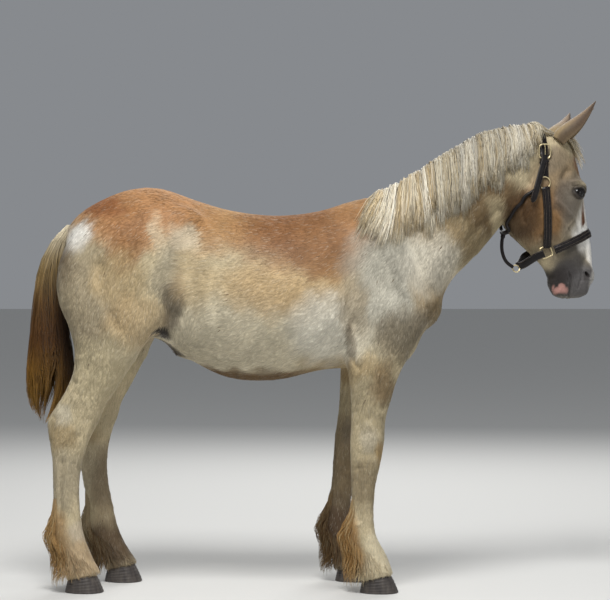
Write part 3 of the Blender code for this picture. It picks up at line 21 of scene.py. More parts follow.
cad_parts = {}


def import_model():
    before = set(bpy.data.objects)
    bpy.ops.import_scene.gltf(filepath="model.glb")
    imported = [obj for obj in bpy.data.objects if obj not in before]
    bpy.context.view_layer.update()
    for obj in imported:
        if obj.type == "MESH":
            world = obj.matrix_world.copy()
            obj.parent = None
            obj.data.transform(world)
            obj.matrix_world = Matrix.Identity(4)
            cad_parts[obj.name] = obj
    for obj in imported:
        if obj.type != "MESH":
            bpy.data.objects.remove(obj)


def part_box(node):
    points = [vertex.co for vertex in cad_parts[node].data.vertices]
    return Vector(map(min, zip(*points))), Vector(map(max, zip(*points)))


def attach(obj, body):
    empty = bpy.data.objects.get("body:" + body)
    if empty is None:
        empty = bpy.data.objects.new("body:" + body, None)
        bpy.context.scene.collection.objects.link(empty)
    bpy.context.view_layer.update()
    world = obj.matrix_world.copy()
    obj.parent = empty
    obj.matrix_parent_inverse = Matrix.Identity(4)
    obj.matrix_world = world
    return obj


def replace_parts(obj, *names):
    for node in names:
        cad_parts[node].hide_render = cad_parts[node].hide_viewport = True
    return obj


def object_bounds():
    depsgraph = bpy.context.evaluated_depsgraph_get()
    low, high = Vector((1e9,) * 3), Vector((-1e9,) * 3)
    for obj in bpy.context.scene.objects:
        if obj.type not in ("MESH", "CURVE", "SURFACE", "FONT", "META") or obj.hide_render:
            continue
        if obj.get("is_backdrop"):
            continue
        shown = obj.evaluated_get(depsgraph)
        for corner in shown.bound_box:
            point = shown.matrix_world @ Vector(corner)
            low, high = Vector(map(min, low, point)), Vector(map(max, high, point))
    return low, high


logging.basicConfig(level=logging.INFO, format="%(message)s")
LOG = logging.getLogger("draft_horse")

Array = np.ndarray
Material = bpy.types.Material
Pair = tuple[float, float]
Triple = tuple[float, float, float]
Shape = tuple[Array, Array]  # places and triangles

SHARP_ANGLE = math.radians(50)
HIND_HOOF_X = -0.867
FORE_HOOF_X = 0.252


class Side(IntEnum):
    """The horse's own left or right, as the sign of y."""

    LEFT = 1
    RIGHT = -1

    @property
    def word(self) -> str:
        """The word that the names of this side's solids end in."""
        return self.name.lower()


def linear(code: str) -> Array:
    """Turns an sRGB hex colour to linear values.

    Args:
        code: The colour as six hex digits after a hash mark.

    Returns:
        Three linear values from 0 to 1.
    """
    parts = np.array([int(code[n : n + 2], 16) / 255 for n in (1, 3, 5)])
    return np.where(parts <= 0.04045, parts / 12.92, ((parts + 0.055) / 1.055) ** 2.4)


def smooth_step(low: float, high: float, values: Array) -> Array:
    """Rises smoothly from 0 at low to 1 at high, for an array of values."""
    share = np.clip((values - low) / (high - low), 0, 1)
    return share * share * (3 - 2 * share)


def unit(vectors: Array) -> Array:
    """Scales each vector of an array to length one."""
    return vectors / np.maximum(np.linalg.norm(vectors, axis=-1, keepdims=True), 1e-9)


def waves(points: Array, size: float, seed: int) -> Array:
    """A cheap smooth noise from crossed sine waves.

    Args:
        points: An array of places.
        size: The rough width of one blotch in metres.
        seed: Picks another pattern.

    Returns:
        One value from -1 to 1 for each place.
    """
    draw = np.random.default_rng(seed)
    total = np.zeros(points.shape[:-1])
    count = 7
    for _ in range(count):
        way = draw.normal(size=3)
        way *= draw.uniform(0.6, 1.6) * math.pi / size / np.linalg.norm(way)
        total += np.sin(points @ way + draw.uniform(0, 2 * math.pi))
    return np.clip(total / math.sqrt(count), -1.6, 1.6) / 1.6


# The body's shape, as the solids have it


@dataclass(frozen=True)
class Station:
    """A cross-section: two edge points in the side view, its middle across, half width and form."""

    name: str
    first: Pair
    second: Pair
    y: float
    half: float
    square: float = 2.2
    pear: float = 0.0


@dataclass(frozen=True)
class Muscle:
    """An ellipsoid of flesh on both sides of the body."""

    name: str
    centre: Triple
    size: Triple
    tilt: float = 0.0


@dataclass(frozen=True)
class Groove:
    """A soft valley (or ridge, where it is raised) in the skin along a short line of places.

    Args:
        name: What it is on the horse.
        line: Its places on the right side of the straight horse.
        width: Its half width.
        depth: How deep it is, or how high where the number is below zero.
    """

    name: str
    line: tuple[Triple, ...]
    width: float
    depth: float


TORSO = (
    Station("dock", (-0.945, 1.375), (-0.945, 1.245), 0, 0.05, 2.0),
    Station("buttock", (-0.9, 1.432), (-0.905, 1.1), 0, 0.135, 2.2, -0.05),
    Station("tail head", (-0.82, 1.484), (-0.84, 1.01), 0, 0.215, 2.3, -0.05),
    Station("croup", (-0.7, 1.531), (-0.715, 0.965), 0, 0.27, 2.3, -0.08),
    Station("hips", (-0.58, 1.536), (-0.58, 0.955), 0, 0.28, 2.3, -0.1),
    Station("loin", (-0.44, 1.489), (-0.44, 0.86), 0, 0.258, 2.2, -0.1),
    Station("flank", (-0.3, 1.45), (-0.3, 0.802), 0, 0.268, 2.1, -0.12),
    Station("barrel", (-0.13, 1.432), (-0.13, 0.798), 0, 0.278, 2.1, -0.14),
    Station("ribs", (0.03, 1.45), (0.03, 0.834), 0, 0.264, 2.1, -0.16),
    Station("girth", (0.16, 1.491), (0.15, 0.846), 0, 0.232, 2.2, -0.22),
    Station("withers", (0.265, 1.505), (0.27, 0.862), 0, 0.205, 2.3, -0.3),
    Station("shoulder", (0.37, 1.48), (0.385, 0.89), 0, 0.19, 2.3, -0.15),
    Station("breast", (0.455, 1.34), (0.43, 0.985), 0, 0.16, 2.3),
    Station("breast front", (0.512, 1.24), (0.49, 1.08), 0, 0.085, 2.0),
)

NECK = (
    Station("neck root", (0.2, 1.47), (0.4, 1.0), 0, 0.175, 2.2, -0.25),
    Station("neck base", (0.31, 1.532), (0.492, 1.1), 0, 0.16, 2.2, -0.28),
    Station("low neck", (0.41, 1.598), (0.54, 1.182), 0, 0.134, 2.1, -0.3),
    Station("mid neck", (0.52, 1.674), (0.612, 1.25), 0, 0.11, 2.0, -0.28),
    Station("upper neck", (0.64, 1.737), (0.672, 1.318), 0, 0.094, 2.0, -0.22),
    Station("throat", (0.76, 1.76), (0.737, 1.395), 0, 0.082, 2.0, -0.12),
    Station("nape", (0.86, 1.764), (0.8, 1.47), 0, 0.078, 2.0),
    Station("poll", (0.925, 1.75), (0.88, 1.58), 0, 0.066, 2.0),
)

HEAD = (
    Station("crown", (0.96, 1.752), (0.862, 1.69), 0, 0.05, 2.2),
    Station("ear line", (1.004, 1.716), (0.812, 1.59), 0, 0.08, 2.3, 0.05),
    Station("forehead", (1.036, 1.64), (0.768, 1.5), 0, 0.096, 2.4, 0.03),
    Station("eye line", (1.058, 1.56), (0.742, 1.43), 0, 0.097, 2.4, -0.02),
    Station("cheek", (1.075, 1.47), (0.756, 1.378), 0, 0.092, 2.3, -0.1),
    Station("mid face", (1.088, 1.395), (0.806, 1.325), 0, 0.077, 2.1, -0.1),
    Station("nose band line", (1.103, 1.325), (0.864, 1.272), 0, 0.062, 2.1, -0.05),
    Station("above nostril", (1.108, 1.255), (0.912, 1.215), 0, 0.055, 2.2, 0.05),
    Station("nostril", (1.108, 1.198), (0.926, 1.17), 0, 0.058, 2.3, 0.08),
    Station("lips", (1.092, 1.146), (0.94, 1.133), 0, 0.052, 2.2, 0.1),
    Station("mouth end", (1.056, 1.108), (0.975, 1.108), 0, 0.032, 2.0),
)

HIND_LEG = (
    Station("hip", (-0.575, 1.3), (-0.92, 1.3), 0.13, 0.11),
    Station("thigh", (-0.575, 1.16), (-0.952, 1.16), 0.145, 0.125),
    Station("stifle", (-0.592, 1.03), (-0.928, 1.03), 0.16, 0.118, 2.2, 0.05),
    Station("upper gaskin", (-0.636, 0.93), (-0.902, 0.93), 0.165, 0.098, 2.2, 0.05),
    Station("gaskin", (-0.69, 0.845), (-0.902, 0.845), 0.162, 0.078, 2.1, 0.05),
    Station("low gaskin", (-0.741, 0.765), (-0.934, 0.765), 0.156, 0.06, 2.1, 0.12),
    Station("above hock", (-0.78, 0.705), (-0.972, 0.705), 0.151, 0.05, 2.1, 0.25),
    Station("hock point", (-0.804, 0.65), (-1.004, 0.65), 0.148, 0.049, 2.2, 0.22),
    Station("hock", (-0.838, 0.585), (-0.998, 0.585), 0.146, 0.049, 2.3, 0.15),
    Station("below hock", (-0.866, 0.505), (-0.986, 0.505), 0.146, 0.043, 2.3, 0.05),
    Station("cannon", (-0.88, 0.405), (-0.983, 0.405), 0.147, 0.038, 2.3),
    Station("low cannon", (-0.876, 0.3), (-0.98, 0.3), 0.148, 0.039, 2.3),
    Station("fetlock", (-0.862, 0.212), (-0.984, 0.212), 0.15, 0.05),
    Station("pastern", (-0.832, 0.135), (-0.95, 0.135), 0.15, 0.047, 2.2, 0.1),
    Station("coronet", (-0.8, 0.07), (-0.936, 0.07), 0.15, 0.06, 2.2, 0.05),
    Station("hoof core", (-0.79, 0.02), (-0.93, 0.02), 0.15, 0.058),
)

FORE_LEG = (
    Station("arm top", (0.45, 1.14), (0.17, 1.14), 0.125, 0.085),
    Station("arm", (0.43, 1.01), (0.132, 1.01), 0.145, 0.092),
    Station("elbow", (0.37, 0.9), (0.126, 0.9), 0.158, 0.084),
    Station("forearm", (0.33, 0.82), (0.139, 0.82), 0.162, 0.073, 2.2, 0.05),
    Station("mid forearm", (0.304, 0.74), (0.147, 0.74), 0.161, 0.061, 2.2, 0.08),
    Station("above knee", (0.281, 0.655), (0.149, 0.655), 0.16, 0.051, 2.3, 0.08),
    Station("knee", (0.275, 0.57), (0.145, 0.57), 0.16, 0.053, 2.5, 0.08),
    Station("below knee", (0.262, 0.49), (0.146, 0.49), 0.16, 0.046, 2.4),
    Station("cannon", (0.243, 0.4), (0.149, 0.4), 0.16, 0.038, 2.3),
    Station("low cannon", (0.237, 0.3), (0.148, 0.3), 0.16, 0.039, 2.3),
    Station("fetlock", (0.245, 0.218), (0.132, 0.218), 0.16, 0.05),
    Station("pastern", (0.283, 0.145), (0.158, 0.145), 0.16, 0.048, 2.2, 0.1),
    Station("coronet", (0.308, 0.078), (0.17, 0.078), 0.16, 0.062, 2.2, 0.05),
    Station("hoof core", (0.32, 0.02), (0.18, 0.02), 0.16, 0.06),
)

# How far the left legs stand ahead of the right ones, as (height, distance) pairs
LEFT_HIND_LEAD = ((1.05, 0.0), (0.7, 0.04), (0.5, 0.07), (0.3, 0.1), (0.15, 0.108), (0.0, 0.13))
LEFT_FORE_LEAD = ((1.0, 0.0), (0.75, -0.036), (0.6, -0.05), (0.45, -0.064), (0.3, -0.082), (0.0, -0.09))

MUSCLES = (
    Muscle("shoulder blade", (0.285, 0.135, 1.22), (0.12, 0.074, 0.22), -22),
    Muscle("upper arm", (0.29, 0.165, 1.03), (0.14, 0.08, 0.125), 25),
    Muscle("breast muscle", (0.415, 0.078, 1.09), (0.084, 0.09, 0.1)),
    Muscle("haunch", (-0.7, 0.152, 1.265), (0.205, 0.122, 0.195), -15),
    Muscle("back of thigh", (-0.842, 0.14, 1.195), (0.128, 0.108, 0.205), 8),
    Muscle("stifle pad", (-0.65, 0.19, 1.04), (0.076, 0.084, 0.13), 20),
    Muscle("hip point", (-0.51, 0.168, 1.395), (0.12, 0.046, 0.08)),
    Muscle("rib cage", (-0.08, 0.13, 1.09), (0.33, 0.165, 0.23)),
    Muscle("forearm muscle", (0.245, 0.172, 0.85), (0.078, 0.07, 0.105), 8),
    Muscle("gaskin muscle", (-0.775, 0.17, 0.9), (0.085, 0.082, 0.115), 25),
    Muscle("sheath", (-0.5, 0.008, 0.922), (0.08, 0.036, 0.034), 32),
    Muscle("eye socket rim", (1.016, 0.058, 1.533), (0.052, 0.038, 0.046)),
    Muscle("cheek muscle", (0.862, 0.06, 1.468), (0.1, 0.042, 0.105), 10),
    Muscle("cheek bone", (0.99, 0.056, 1.43), (0.032, 0.022, 0.08), -6),
    Muscle("nostril wing", (1.078, 0.038, 1.2), (0.03, 0.027, 0.042), -8),
    Muscle("upper lip", (1.054, 0.02, 1.142), (0.036, 0.036, 0.03)),
    Muscle("lower lip", (0.974, 0.012, 1.136), (0.034, 0.034, 0.026)),
    Muscle("chin", (0.951, 0.008, 1.168), (0.026, 0.034, 0.03)),
)

# The forms that lie in the skin itself, on the right side, and mirrored to the left
GROOVES = (
    Groove("front of shoulder",
           ((0.345, -0.16, 1.4), (0.4, -0.17, 1.27), (0.43, -0.15, 1.14)), 0.026, 0.007),
    Groove("back of shoulder",
           ((0.18, -0.22, 1.36), (0.165, -0.25, 1.2), (0.15, -0.25, 1.05)), 0.03, 0.006),
    Groove("triceps edge", ((0.165, -0.24, 1.02), (0.16, -0.24, 0.95)), 0.018, 0.007),
    Groove("spine of shoulder blade",
           ((0.255, -0.19, 1.4), (0.31, -0.21, 1.27), (0.345, -0.21, 1.15)), 0.02, -0.004),
    Groove("point of shoulder", ((0.425, -0.16, 1.105), (0.41, -0.18, 1.075)), 0.035, -0.006),
    Groove("breast middle", ((0.5, 0.0, 1.2), (0.5, 0.0, 1.06), (0.47, 0.0, 1.0)), 0.018, 0.012),
    Groove("arm and breast", ((0.43, -0.1, 1.02), (0.405, -0.14, 0.97), (0.38, -0.17, 0.92)), 0.016, 0.008),
    Groove("jugular channel",
           ((0.49, -0.11, 1.24), (0.6, -0.085, 1.36), (0.7, -0.07, 1.455)), 0.018, 0.006),
    Groove("neck muscle", ((0.36, -0.15, 1.43), (0.52, -0.11, 1.53), (0.68, -0.09, 1.62)), 0.028, 0.004),
    Groove("elbow crease", ((0.15, -0.2, 0.9), (0.175, -0.22, 0.86)), 0.014, 0.005),
    Groove("flank hollow", ((-0.44, -0.25, 1.33), (-0.48, -0.26, 1.22)), 0.055, 0.011),
    Groove("flank fold", ((-0.515, -0.25, 1.05), (-0.56, -0.25, 0.98), (-0.56, -0.22, 0.93)), 0.028, 0.012),
    Groove("last rib", ((-0.33, -0.27, 1.3), (-0.375, -0.28, 1.15), (-0.35, -0.27, 1.0)), 0.028, 0.004),
    Groove("stifle front", ((-0.605, -0.27, 1.1), (-0.59, -0.25, 1.02)), 0.03, -0.005),
    Groove("haunch line", ((-0.86, -0.19, 1.3), (-0.85, -0.24, 1.16), (-0.8, -0.25, 1.02)), 0.02, 0.006),
    Groove("second haunch line",
           ((-0.79, -0.25, 1.24), (-0.78, -0.27, 1.12), (-0.73, -0.27, 1.01)), 0.02, 0.004),
    Groove("gaskin groove",
           ((-0.79, -0.24, 0.97), (-0.845, -0.225, 0.85), (-0.885, -0.2, 0.76)), 0.014, 0.006),
    Groove("hock string",
           ((-0.895, -0.19, 0.8), (-0.925, -0.17, 0.72), (-0.94, -0.17, 0.66)), 0.013, 0.009),
    Groove("hock front", ((-0.85, -0.19, 0.66), (-0.87, -0.19, 0.6)), 0.016, 0.004),
    Groove("hock bone", ((-0.9, -0.195, 0.62), (-0.925, -0.19, 0.58)), 0.016, -0.004),
    Groove("hind tendon",
           ((-0.945, -0.185, 0.5), (-0.95, -0.18, 0.4), (-0.95, -0.182, 0.28)), 0.009, 0.006),
    Groove("forearm groove",
           ((0.225, -0.235, 0.83), (0.215, -0.225, 0.74), (0.215, -0.21, 0.66)), 0.012, 0.005),
    Groove("forearm front groove", ((0.3, -0.2, 0.8), (0.275, -0.2, 0.7)), 0.012, 0.004),
    Groove("knee top", ((0.255, -0.21, 0.618), (0.19, -0.21, 0.608)), 0.015, 0.0014),
    Groove("knee middle", ((0.262, -0.21, 0.57), (0.2, -0.215, 0.56)), 0.022, -0.0022),
    Groove("knee bottom", ((0.25, -0.21, 0.522), (0.18, -0.21, 0.53)), 0.015, 0.0014),
    Groove("fore tendon", ((0.18, -0.2, 0.48), (0.178, -0.196, 0.38), (0.176, -0.198, 0.28)), 0.009, 0.006),
    Groove("temple hollow", ((0.975, -0.085, 1.6), (0.96, -0.088, 1.575)), 0.016, 0.008),
    Groove("brow ridge", ((0.99, -0.08, 1.56), (1.02, -0.082, 1.56), (1.046, -0.07, 1.546)), 0.008, -0.007),
    Groove("brow fold",
           ((0.998, -0.088, 1.545), (1.022, -0.086, 1.546), (1.045, -0.074, 1.533)), 0.0036, 0.0042),
    Groove("second brow fold", ((1.008, -0.086, 1.557), (1.03, -0.082, 1.556)), 0.0026, 0.0018),
    Groove("under eye fold",
           ((1.012, -0.082, 1.502), (1.03, -0.08, 1.496), (1.046, -0.074, 1.5)), 0.0032, 0.002),
    Groove("tear line",
           ((1.05, -0.072, 1.505), (1.06, -0.068, 1.47), (1.066, -0.062, 1.43)), 0.006, 0.0025),
    Groove("face crest",
           ((0.93, -0.09, 1.49), (0.99, -0.078, 1.435), (1.02, -0.066, 1.385)), 0.01, -0.0045),
    Groove("below face crest",
           ((0.925, -0.092, 1.455), (0.975, -0.08, 1.405), (1.005, -0.066, 1.355)), 0.014, 0.005),
    Groove("cheek edge", ((0.82, -0.085, 1.56), (0.79, -0.085, 1.48), (0.8, -0.085, 1.41)), 0.01, 0.004),
    Groove("jaw groove", ((0.88, -0.07, 1.35), (0.935, -0.06, 1.275)), 0.012, 0.004),
    Groove("nose side",
           ((1.06, -0.05, 1.385), (1.072, -0.046, 1.32), (1.076, -0.046, 1.265)), 0.012, 0.0035),
    Groove("above nostril hollow", ((1.068, -0.056, 1.262), (1.05, -0.058, 1.236)), 0.012, 0.004),
    Groove("behind nostril", ((1.048, -0.06, 1.22), (1.046, -0.06, 1.18)), 0.006, 0.0035),
    Groove("upper lip fold", ((1.04, -0.056, 1.18), (1.034, -0.055, 1.15)), 0.0035, 0.002),
    Groove("mouth corner fold",
           ((0.99, -0.058, 1.225), (0.984, -0.058, 1.196), (0.99, -0.054, 1.172)), 0.0035, 0.0022),
    Groove("chin groove", ((0.93, -0.04, 1.19), (0.938, 0.0, 1.186)), 0.008, 0.004),
    Groove("facial vein",
           ((1.02, -0.075, 1.455), (0.99, -0.075, 1.39), (0.945, -0.065, 1.31)), 0.0028, -0.0014),
    Groove("lower facial vein",
           ((1.006, -0.07, 1.42), (1.03, -0.06, 1.35), (1.05, -0.052, 1.29)), 0.0024, -0.0012),
    Groove("belly vein",
           ((0.06, -0.16, 0.865), (-0.08, -0.17, 0.825), (-0.22, -0.15, 0.822)), 0.006, -0.0022),
    Groove("thigh vein", ((-0.7, -0.255, 0.98), (-0.745, -0.245, 0.88)), 0.005, -0.0016),
)


@dataclass(frozen=True)
class Stance:
    """Sets the straight horse in its pose: the neck bent to the left, the whole on the origin."""

    start: float = 0.4
    end: float = 0.76
    angle: float = math.radians(14)
    shift: Triple = (0.0, 0.0, 0.0)

    def place(self, points: Array) -> Array:
        """Bends and shifts places of the straight horse.

        Args:
            points: An array whose last axis is x, y, z.

        Returns:
            The places in the frame.
        """
        x, y, z = points[..., 0], points[..., 1], points[..., 2]
        radius = (self.end - self.start) / self.angle
        turn = np.clip((x - self.start) / (self.end - self.start), 0, 1) * self.angle
        past = np.maximum(0, x - self.end)
        reach = radius - y
        bent_x = self.start + reach * np.sin(turn) + past * np.cos(turn)
        bent_y = radius - reach * np.cos(turn) + past * np.sin(turn)
        ahead = x > self.start
        moved = np.stack([np.where(ahead, bent_x, x), np.where(ahead, bent_y, y), z], axis=-1)
        return moved + np.array(self.shift)


def find_stance(drawn_hoof: Pair) -> Stance:
    """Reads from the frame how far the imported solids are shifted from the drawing.

    Args:
        drawn_hoof: Where the right fore hoof's middle is drawn, along and across.

    Returns:
        The stance with that shift.
    """
    low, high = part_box("fore_hoof_right")
    middle = (Vector(low) + Vector(high)) / 2
    return Stance(shift=(middle.x - drawn_hoof[0], middle.y - drawn_hoof[1], low[2]))


def lead_at(lead: Sequence[Pair], heights: Array) -> Array:
    """How far a left leg is moved along the body at each height."""
    levels = [pair[0] for pair in lead[::-1]]
    return np.interp(heights, levels, [pair[1] for pair in lead[::-1]])


# What stands behind the first x goes with the hind legs, and what lies before the second with the neck
LEG_DIVIDE = -0.3
BREAST_X = 0.5


def left_lead(points: Array) -> Array:
    """How far the left leg at each place is moved along the body."""
    hind = points[..., 0] < LEG_DIVIDE
    heights = points[..., 2]
    return np.where(hind, lead_at(LEFT_HIND_LEAD, heights), lead_at(LEFT_FORE_LEAD, heights))


def coronet_height(near: Array) -> Array:
    """How high the sloping top of the right hoof lies at places over it."""
    hoof_x = np.where(near[:, 0] < LEG_DIVIDE, HIND_HOOF_X, FORE_HOOF_X)
    return 0.061 + 0.197 * (near[:, 0] - hoof_x)


def to_near_side(points: Array) -> Array:
    """Mirrors places of the straight horse's left half to the right, with its legs' lead undone."""
    near = points.copy()
    moved = (points[..., 1] > 0) & (points[..., 0] <= BREAST_X)
    near[..., 0] -= np.where(moved, left_lead(points), 0)
    near[..., 1] = -np.abs(points[..., 1])
    return near


# Meshes


def make_mesh(name: str, points: Array, faces: Array) -> bpy.types.Mesh:
    """Makes a mesh of places and of faces that all have the same number of corners.

    Args:
        name: The mesh's name.
        points: Places, one row each.
        faces: Indices, one row for each face.

    Returns:
        The mesh.
    """
    mesh = bpy.data.meshes.new(name)
    count, corners = faces.shape
    mesh.vertices.add(len(points))
    mesh.vertices.foreach_set("co", np.ascontiguousarray(points, dtype=np.float32).ravel())
    mesh.loops.add(count * corners)
    mesh.loops.foreach_set("vertex_index", np.ascontiguousarray(faces, dtype=np.int32).ravel())
    mesh.polygons.add(count)
    mesh.polygons.foreach_set("loop_start", np.arange(0, count * corners, corners, dtype=np.int32))
    mesh.update(calc_edges=True)
    return mesh


def read_values(items: Sequence[object], name: str, width: int = 1, kind: type = np.int32) -> Array:
    """Reads one property of all of a mesh's items, in rows where it has a width."""
    values = np.empty(len(items) * width, dtype=kind)
    items.foreach_get(name, values)
    return values.reshape(-1, width) if width > 1 else values


def read_points(mesh: bpy.types.Mesh) -> Array:
    """The places of a mesh's vertices."""
    return read_values(mesh.vertices, "co", 3, np.float32).astype(float)


def read_normals(mesh: bpy.types.Mesh) -> Array:
    """The normals of a mesh's vertices."""
    return read_values(mesh.vertex_normals, "vector", 3, np.float32).astype(float)


def write_map(mesh: bpy.types.Mesh, flat: Array) -> None:
    """Gives a mesh the flat map that its colours are baked on, with one place for each corner."""
    layer = mesh.uv_layers.new(name="OFBake")
    layer.uv.foreach_set("vector", flat.astype(np.float32).ravel())


def write_points(mesh: bpy.types.Mesh, points: Array) -> None:
    """Moves a mesh's vertices to new places."""
    mesh.vertices.foreach_set("co", np.ascontiguousarray(points, dtype=np.float32).ravel())
    mesh.update()


def paint(mesh: bpy.types.Mesh, colours: Array) -> None:
    """Stores one linear colour for each vertex under the name that the coat's materials read."""
    layer = mesh.color_attributes.new("coat", "FLOAT_COLOR", "POINT")
    values = np.ones((len(mesh.vertices), 4), dtype=np.float32)
    values[:, :3] = colours
    layer.data.foreach_set("color", values.ravel())


def piece_of(name: str, mesh: bpy.types.Mesh, finish: Material) -> bpy.types.Object:
    """Makes a smooth piece of the model that rides on its one body.

    Args:
        name: The piece's name.
        mesh: Its mesh, in the frame.
        finish: Its material.

    Returns:
        The piece.
    """
    made = bpy.data.objects.new(name, mesh)
    mesh.materials.append(finish)
    bpy.context.scene.collection.objects.link(made)
    mesh.shade_smooth()
    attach(made, "root")
    triangles = sum(len(polygon.vertices) - 2 for polygon in mesh.polygons)
    LOG.info("%s: %d triangles", name, triangles)
    return made


def settled(thing: bpy.types.Object) -> bpy.types.Mesh:
    """The mesh that an object's modifiers make. The object is removed."""
    graph = bpy.context.evaluated_depsgraph_get()
    graph.update()
    mesh = bpy.data.meshes.new_from_object(thing.evaluated_get(graph))
    bpy.data.objects.remove(thing)
    return mesh


def relaxed(points: Array, edges: Array, chosen: Array, rounds: int) -> Array:
    """Smooths chosen places by moving each half way to the mean of its neighbours.

    Args:
        points: All places.
        edges: Pairs of neighbours.
        chosen: A share from 0 to 1 of the move, for each place.
        rounds: How many times.

    Returns:
        The smoothed places.
    """
    count = len(points)
    ends = np.concatenate([edges[:, 0], edges[:, 1]])
    others = np.concatenate([edges[:, 1], edges[:, 0]])
    degree = np.maximum(np.bincount(ends, minlength=count), 1)
    for _ in range(rounds):
        mean = np.stack(
            [np.bincount(ends, weights=points[others, n], minlength=count) for n in range(3)], axis=1
        )
        points = points + (mean / degree[:, None] - points) * 0.5 * chosen[:, None]
    return points


def read_edges(mesh: bpy.types.Mesh) -> Array:
    """The pairs of vertices that a mesh's edges join."""
    return read_values(mesh.edges, "vertices", 2)


def sweep(paths: Array, outs: Array, widths: Array, thicks: Array) -> tuple[Array, Array]:
    """Sweeps a flat three-sided section along many paths at once.

    Args:
        paths: Places, as (lock, ring, xyz).
        outs: The way that each ring's back faces, of the same shape.
        widths: Each ring's width, as (lock, ring).
        thicks: Each ring's thickness, of the same shape.

    Returns:
        All places and the triangles between them.
    """
    locks, rings = widths.shape
    ways = np.gradient(paths, axis=1)
    across = unit(np.cross(ways, outs))
    away = unit(np.cross(across, ways))
    side = across * widths[..., None] / 2
    points = np.stack(
        [paths - side - away * thicks[..., None] * 0.35,
         paths + side - away * thicks[..., None] * 0.35,
         paths + away * thicks[..., None] * 0.65],
        axis=2,
    )
    near = np.arange(3)
    far = (near + 1) % 3
    quads = []
    for ring in range(rings - 1):
        low, high = ring * 3, (ring + 1) * 3
        quads.append(np.stack([low + near, low + far, high + far], axis=1))
        quads.append(np.stack([low + near, high + far, high + near], axis=1))
    last = (rings - 1) * 3
    caps = np.array([[0, 2, 1], [last, last + 1, last + 2]])
    pattern = np.concatenate(quads + [caps])
    starts = np.arange(locks) * rings * 3
    faces = (starts[:, None, None] + pattern[None]).reshape(-1, 3)
    return points.reshape(-1, 3), faces


# How the skin lies flat: charts round each part's middle line


@dataclass(frozen=True)
class Chart:
    """A patch of the flat map: places go by their way along a middle line and their turn round it."""

    line: tuple[Triple, ...]
    corner: Pair
    size: Pair

    def read(self, points: Array) -> tuple[Array, Array]:
        """Finds where places lie on the chart.

        Args:
            points: Places of the straight horse.

        Returns:
            Shares from 0 to 1 along the middle line and round it.
        """
        line = np.array(self.line)
        best = np.full(len(points), np.inf)
        along = np.zeros(len(points))
        turn = np.zeros(len(points))
        lengths = np.linalg.norm(np.diff(line, axis=0), axis=1)
        before = np.concatenate([[0], np.cumsum(lengths)])
        for n, (start, stop) in enumerate(zip(line, line[1:])):
            way = (stop - start) / lengths[n]
            reach = (points - start) @ way
            inside = np.clip(reach, 0, lengths[n])
            off = points - start - inside[:, None] * way
            distance = np.linalg.norm(off, axis=1)
            ahead = np.cross(way, (0, 1, 0))
            round_it = np.arctan2(off @ np.array((0, 1, 0)), off @ unit(ahead)) / (2 * math.pi)
            closer = distance < best
            best = np.where(closer, distance, best)
            along = np.where(closer, (before[n] + inside) / before[-1], along)
            turn = np.where(closer, round_it % 1, turn)
        return along, turn

    def place(self, along: Array, turn: Array) -> Array:
        """The map's coordinates for shares along and round the middle line."""
        u = self.corner[0] + self.size[0] * np.clip(along, 0, 1)
        v = self.corner[1] + self.size[1] * turn
        return np.stack([u, v], axis=-1)


CHARTS = {
    "torso": Chart(((-0.98, 0, 1.28), (-0.4, 0, 1.15), (0.2, 0, 1.15), (0.52, 0, 1.15)),
                   (0.01, 0.4), (0.56, 0.58)),
    "neck": Chart(((0.3, 0, 1.25), (0.55, 0, 1.45), (0.82, 0, 1.6)), (0.6, 0.56), (0.38, 0.42)),
    "head": Chart(((0.88, 0, 1.74), (0.92, 0, 1.5), (0.99, 0, 1.3), (1.02, 0, 1.1)),
                  (0.6, 0.2), (0.38, 0.34)),
    "fore right": Chart(((0.28, -0.16, 1.0), (0.2, -0.16, 0.45), (0.24, -0.16, 0.04)),
                        (0.01, 0.21), (0.56, 0.085)),
    "fore left": Chart(((0.26, 0.16, 1.0), (0.12, 0.16, 0.45), (0.16, 0.16, 0.04)),
                       (0.01, 0.305), (0.56, 0.085)),
    "hind right": Chart(((-0.78, -0.15, 1.02), (-0.92, -0.15, 0.5), (-0.87, -0.15, 0.04)),
                        (0.01, 0.01), (0.56, 0.095)),
    "hind left": Chart(((-0.78, 0.15, 1.02), (-0.85, 0.15, 0.5), (-0.75, 0.15, 0.04)),
                       (0.01, 0.11), (0.56, 0.095)),
}
CHART_NAMES = list(CHARTS)
FORE_TOP = 0.86
HIND_TOP = 0.98


def chart_numbers(points: Array) -> Array:
    """Which chart each place of the straight horse belongs to.

    Args:
        points: Places of the straight horse.

    Returns:
        Each one's number in CHART_NAMES.
    """
    x, y, z = points[:, 0], points[:, 1], points[:, 2]
    number = np.full(len(points), CHART_NAMES.index("torso"))
    ahead = (x - 0.36) * 0.42 + (z - 1.29) * 0.32 > 0
    number = np.where(ahead, CHART_NAMES.index("neck"), number)
    head = ((x - 0.795) * 0.37 - (z - 1.605) * 0.12 > 0) & (x > 0.7)
    number = np.where(head, CHART_NAMES.index("head"), number)
    fore = (x > -0.2) & (x < 0.6) & (z < FORE_TOP)
    number = np.where(fore, np.where(y < 0, 3, 4), number)
    hind = (x < -0.42) & (z < HIND_TOP) & (np.abs(y) > 0.03)
    return np.where(hind, np.where(y < 0, 5, 6), number)


def flat_places(points: Array, numbers: Array) -> Array:
    """The flat map's coordinates of places, each on the chart that its number says."""
    flat = np.zeros((len(points), 2))
    for number, name in enumerate(CHART_NAMES):
        chosen = numbers == number
        if chosen.any():
            chart = CHARTS[name]
            along, turn = chart.read(points[chosen])
            flat[chosen] = chart.place(along, turn)
    return flat


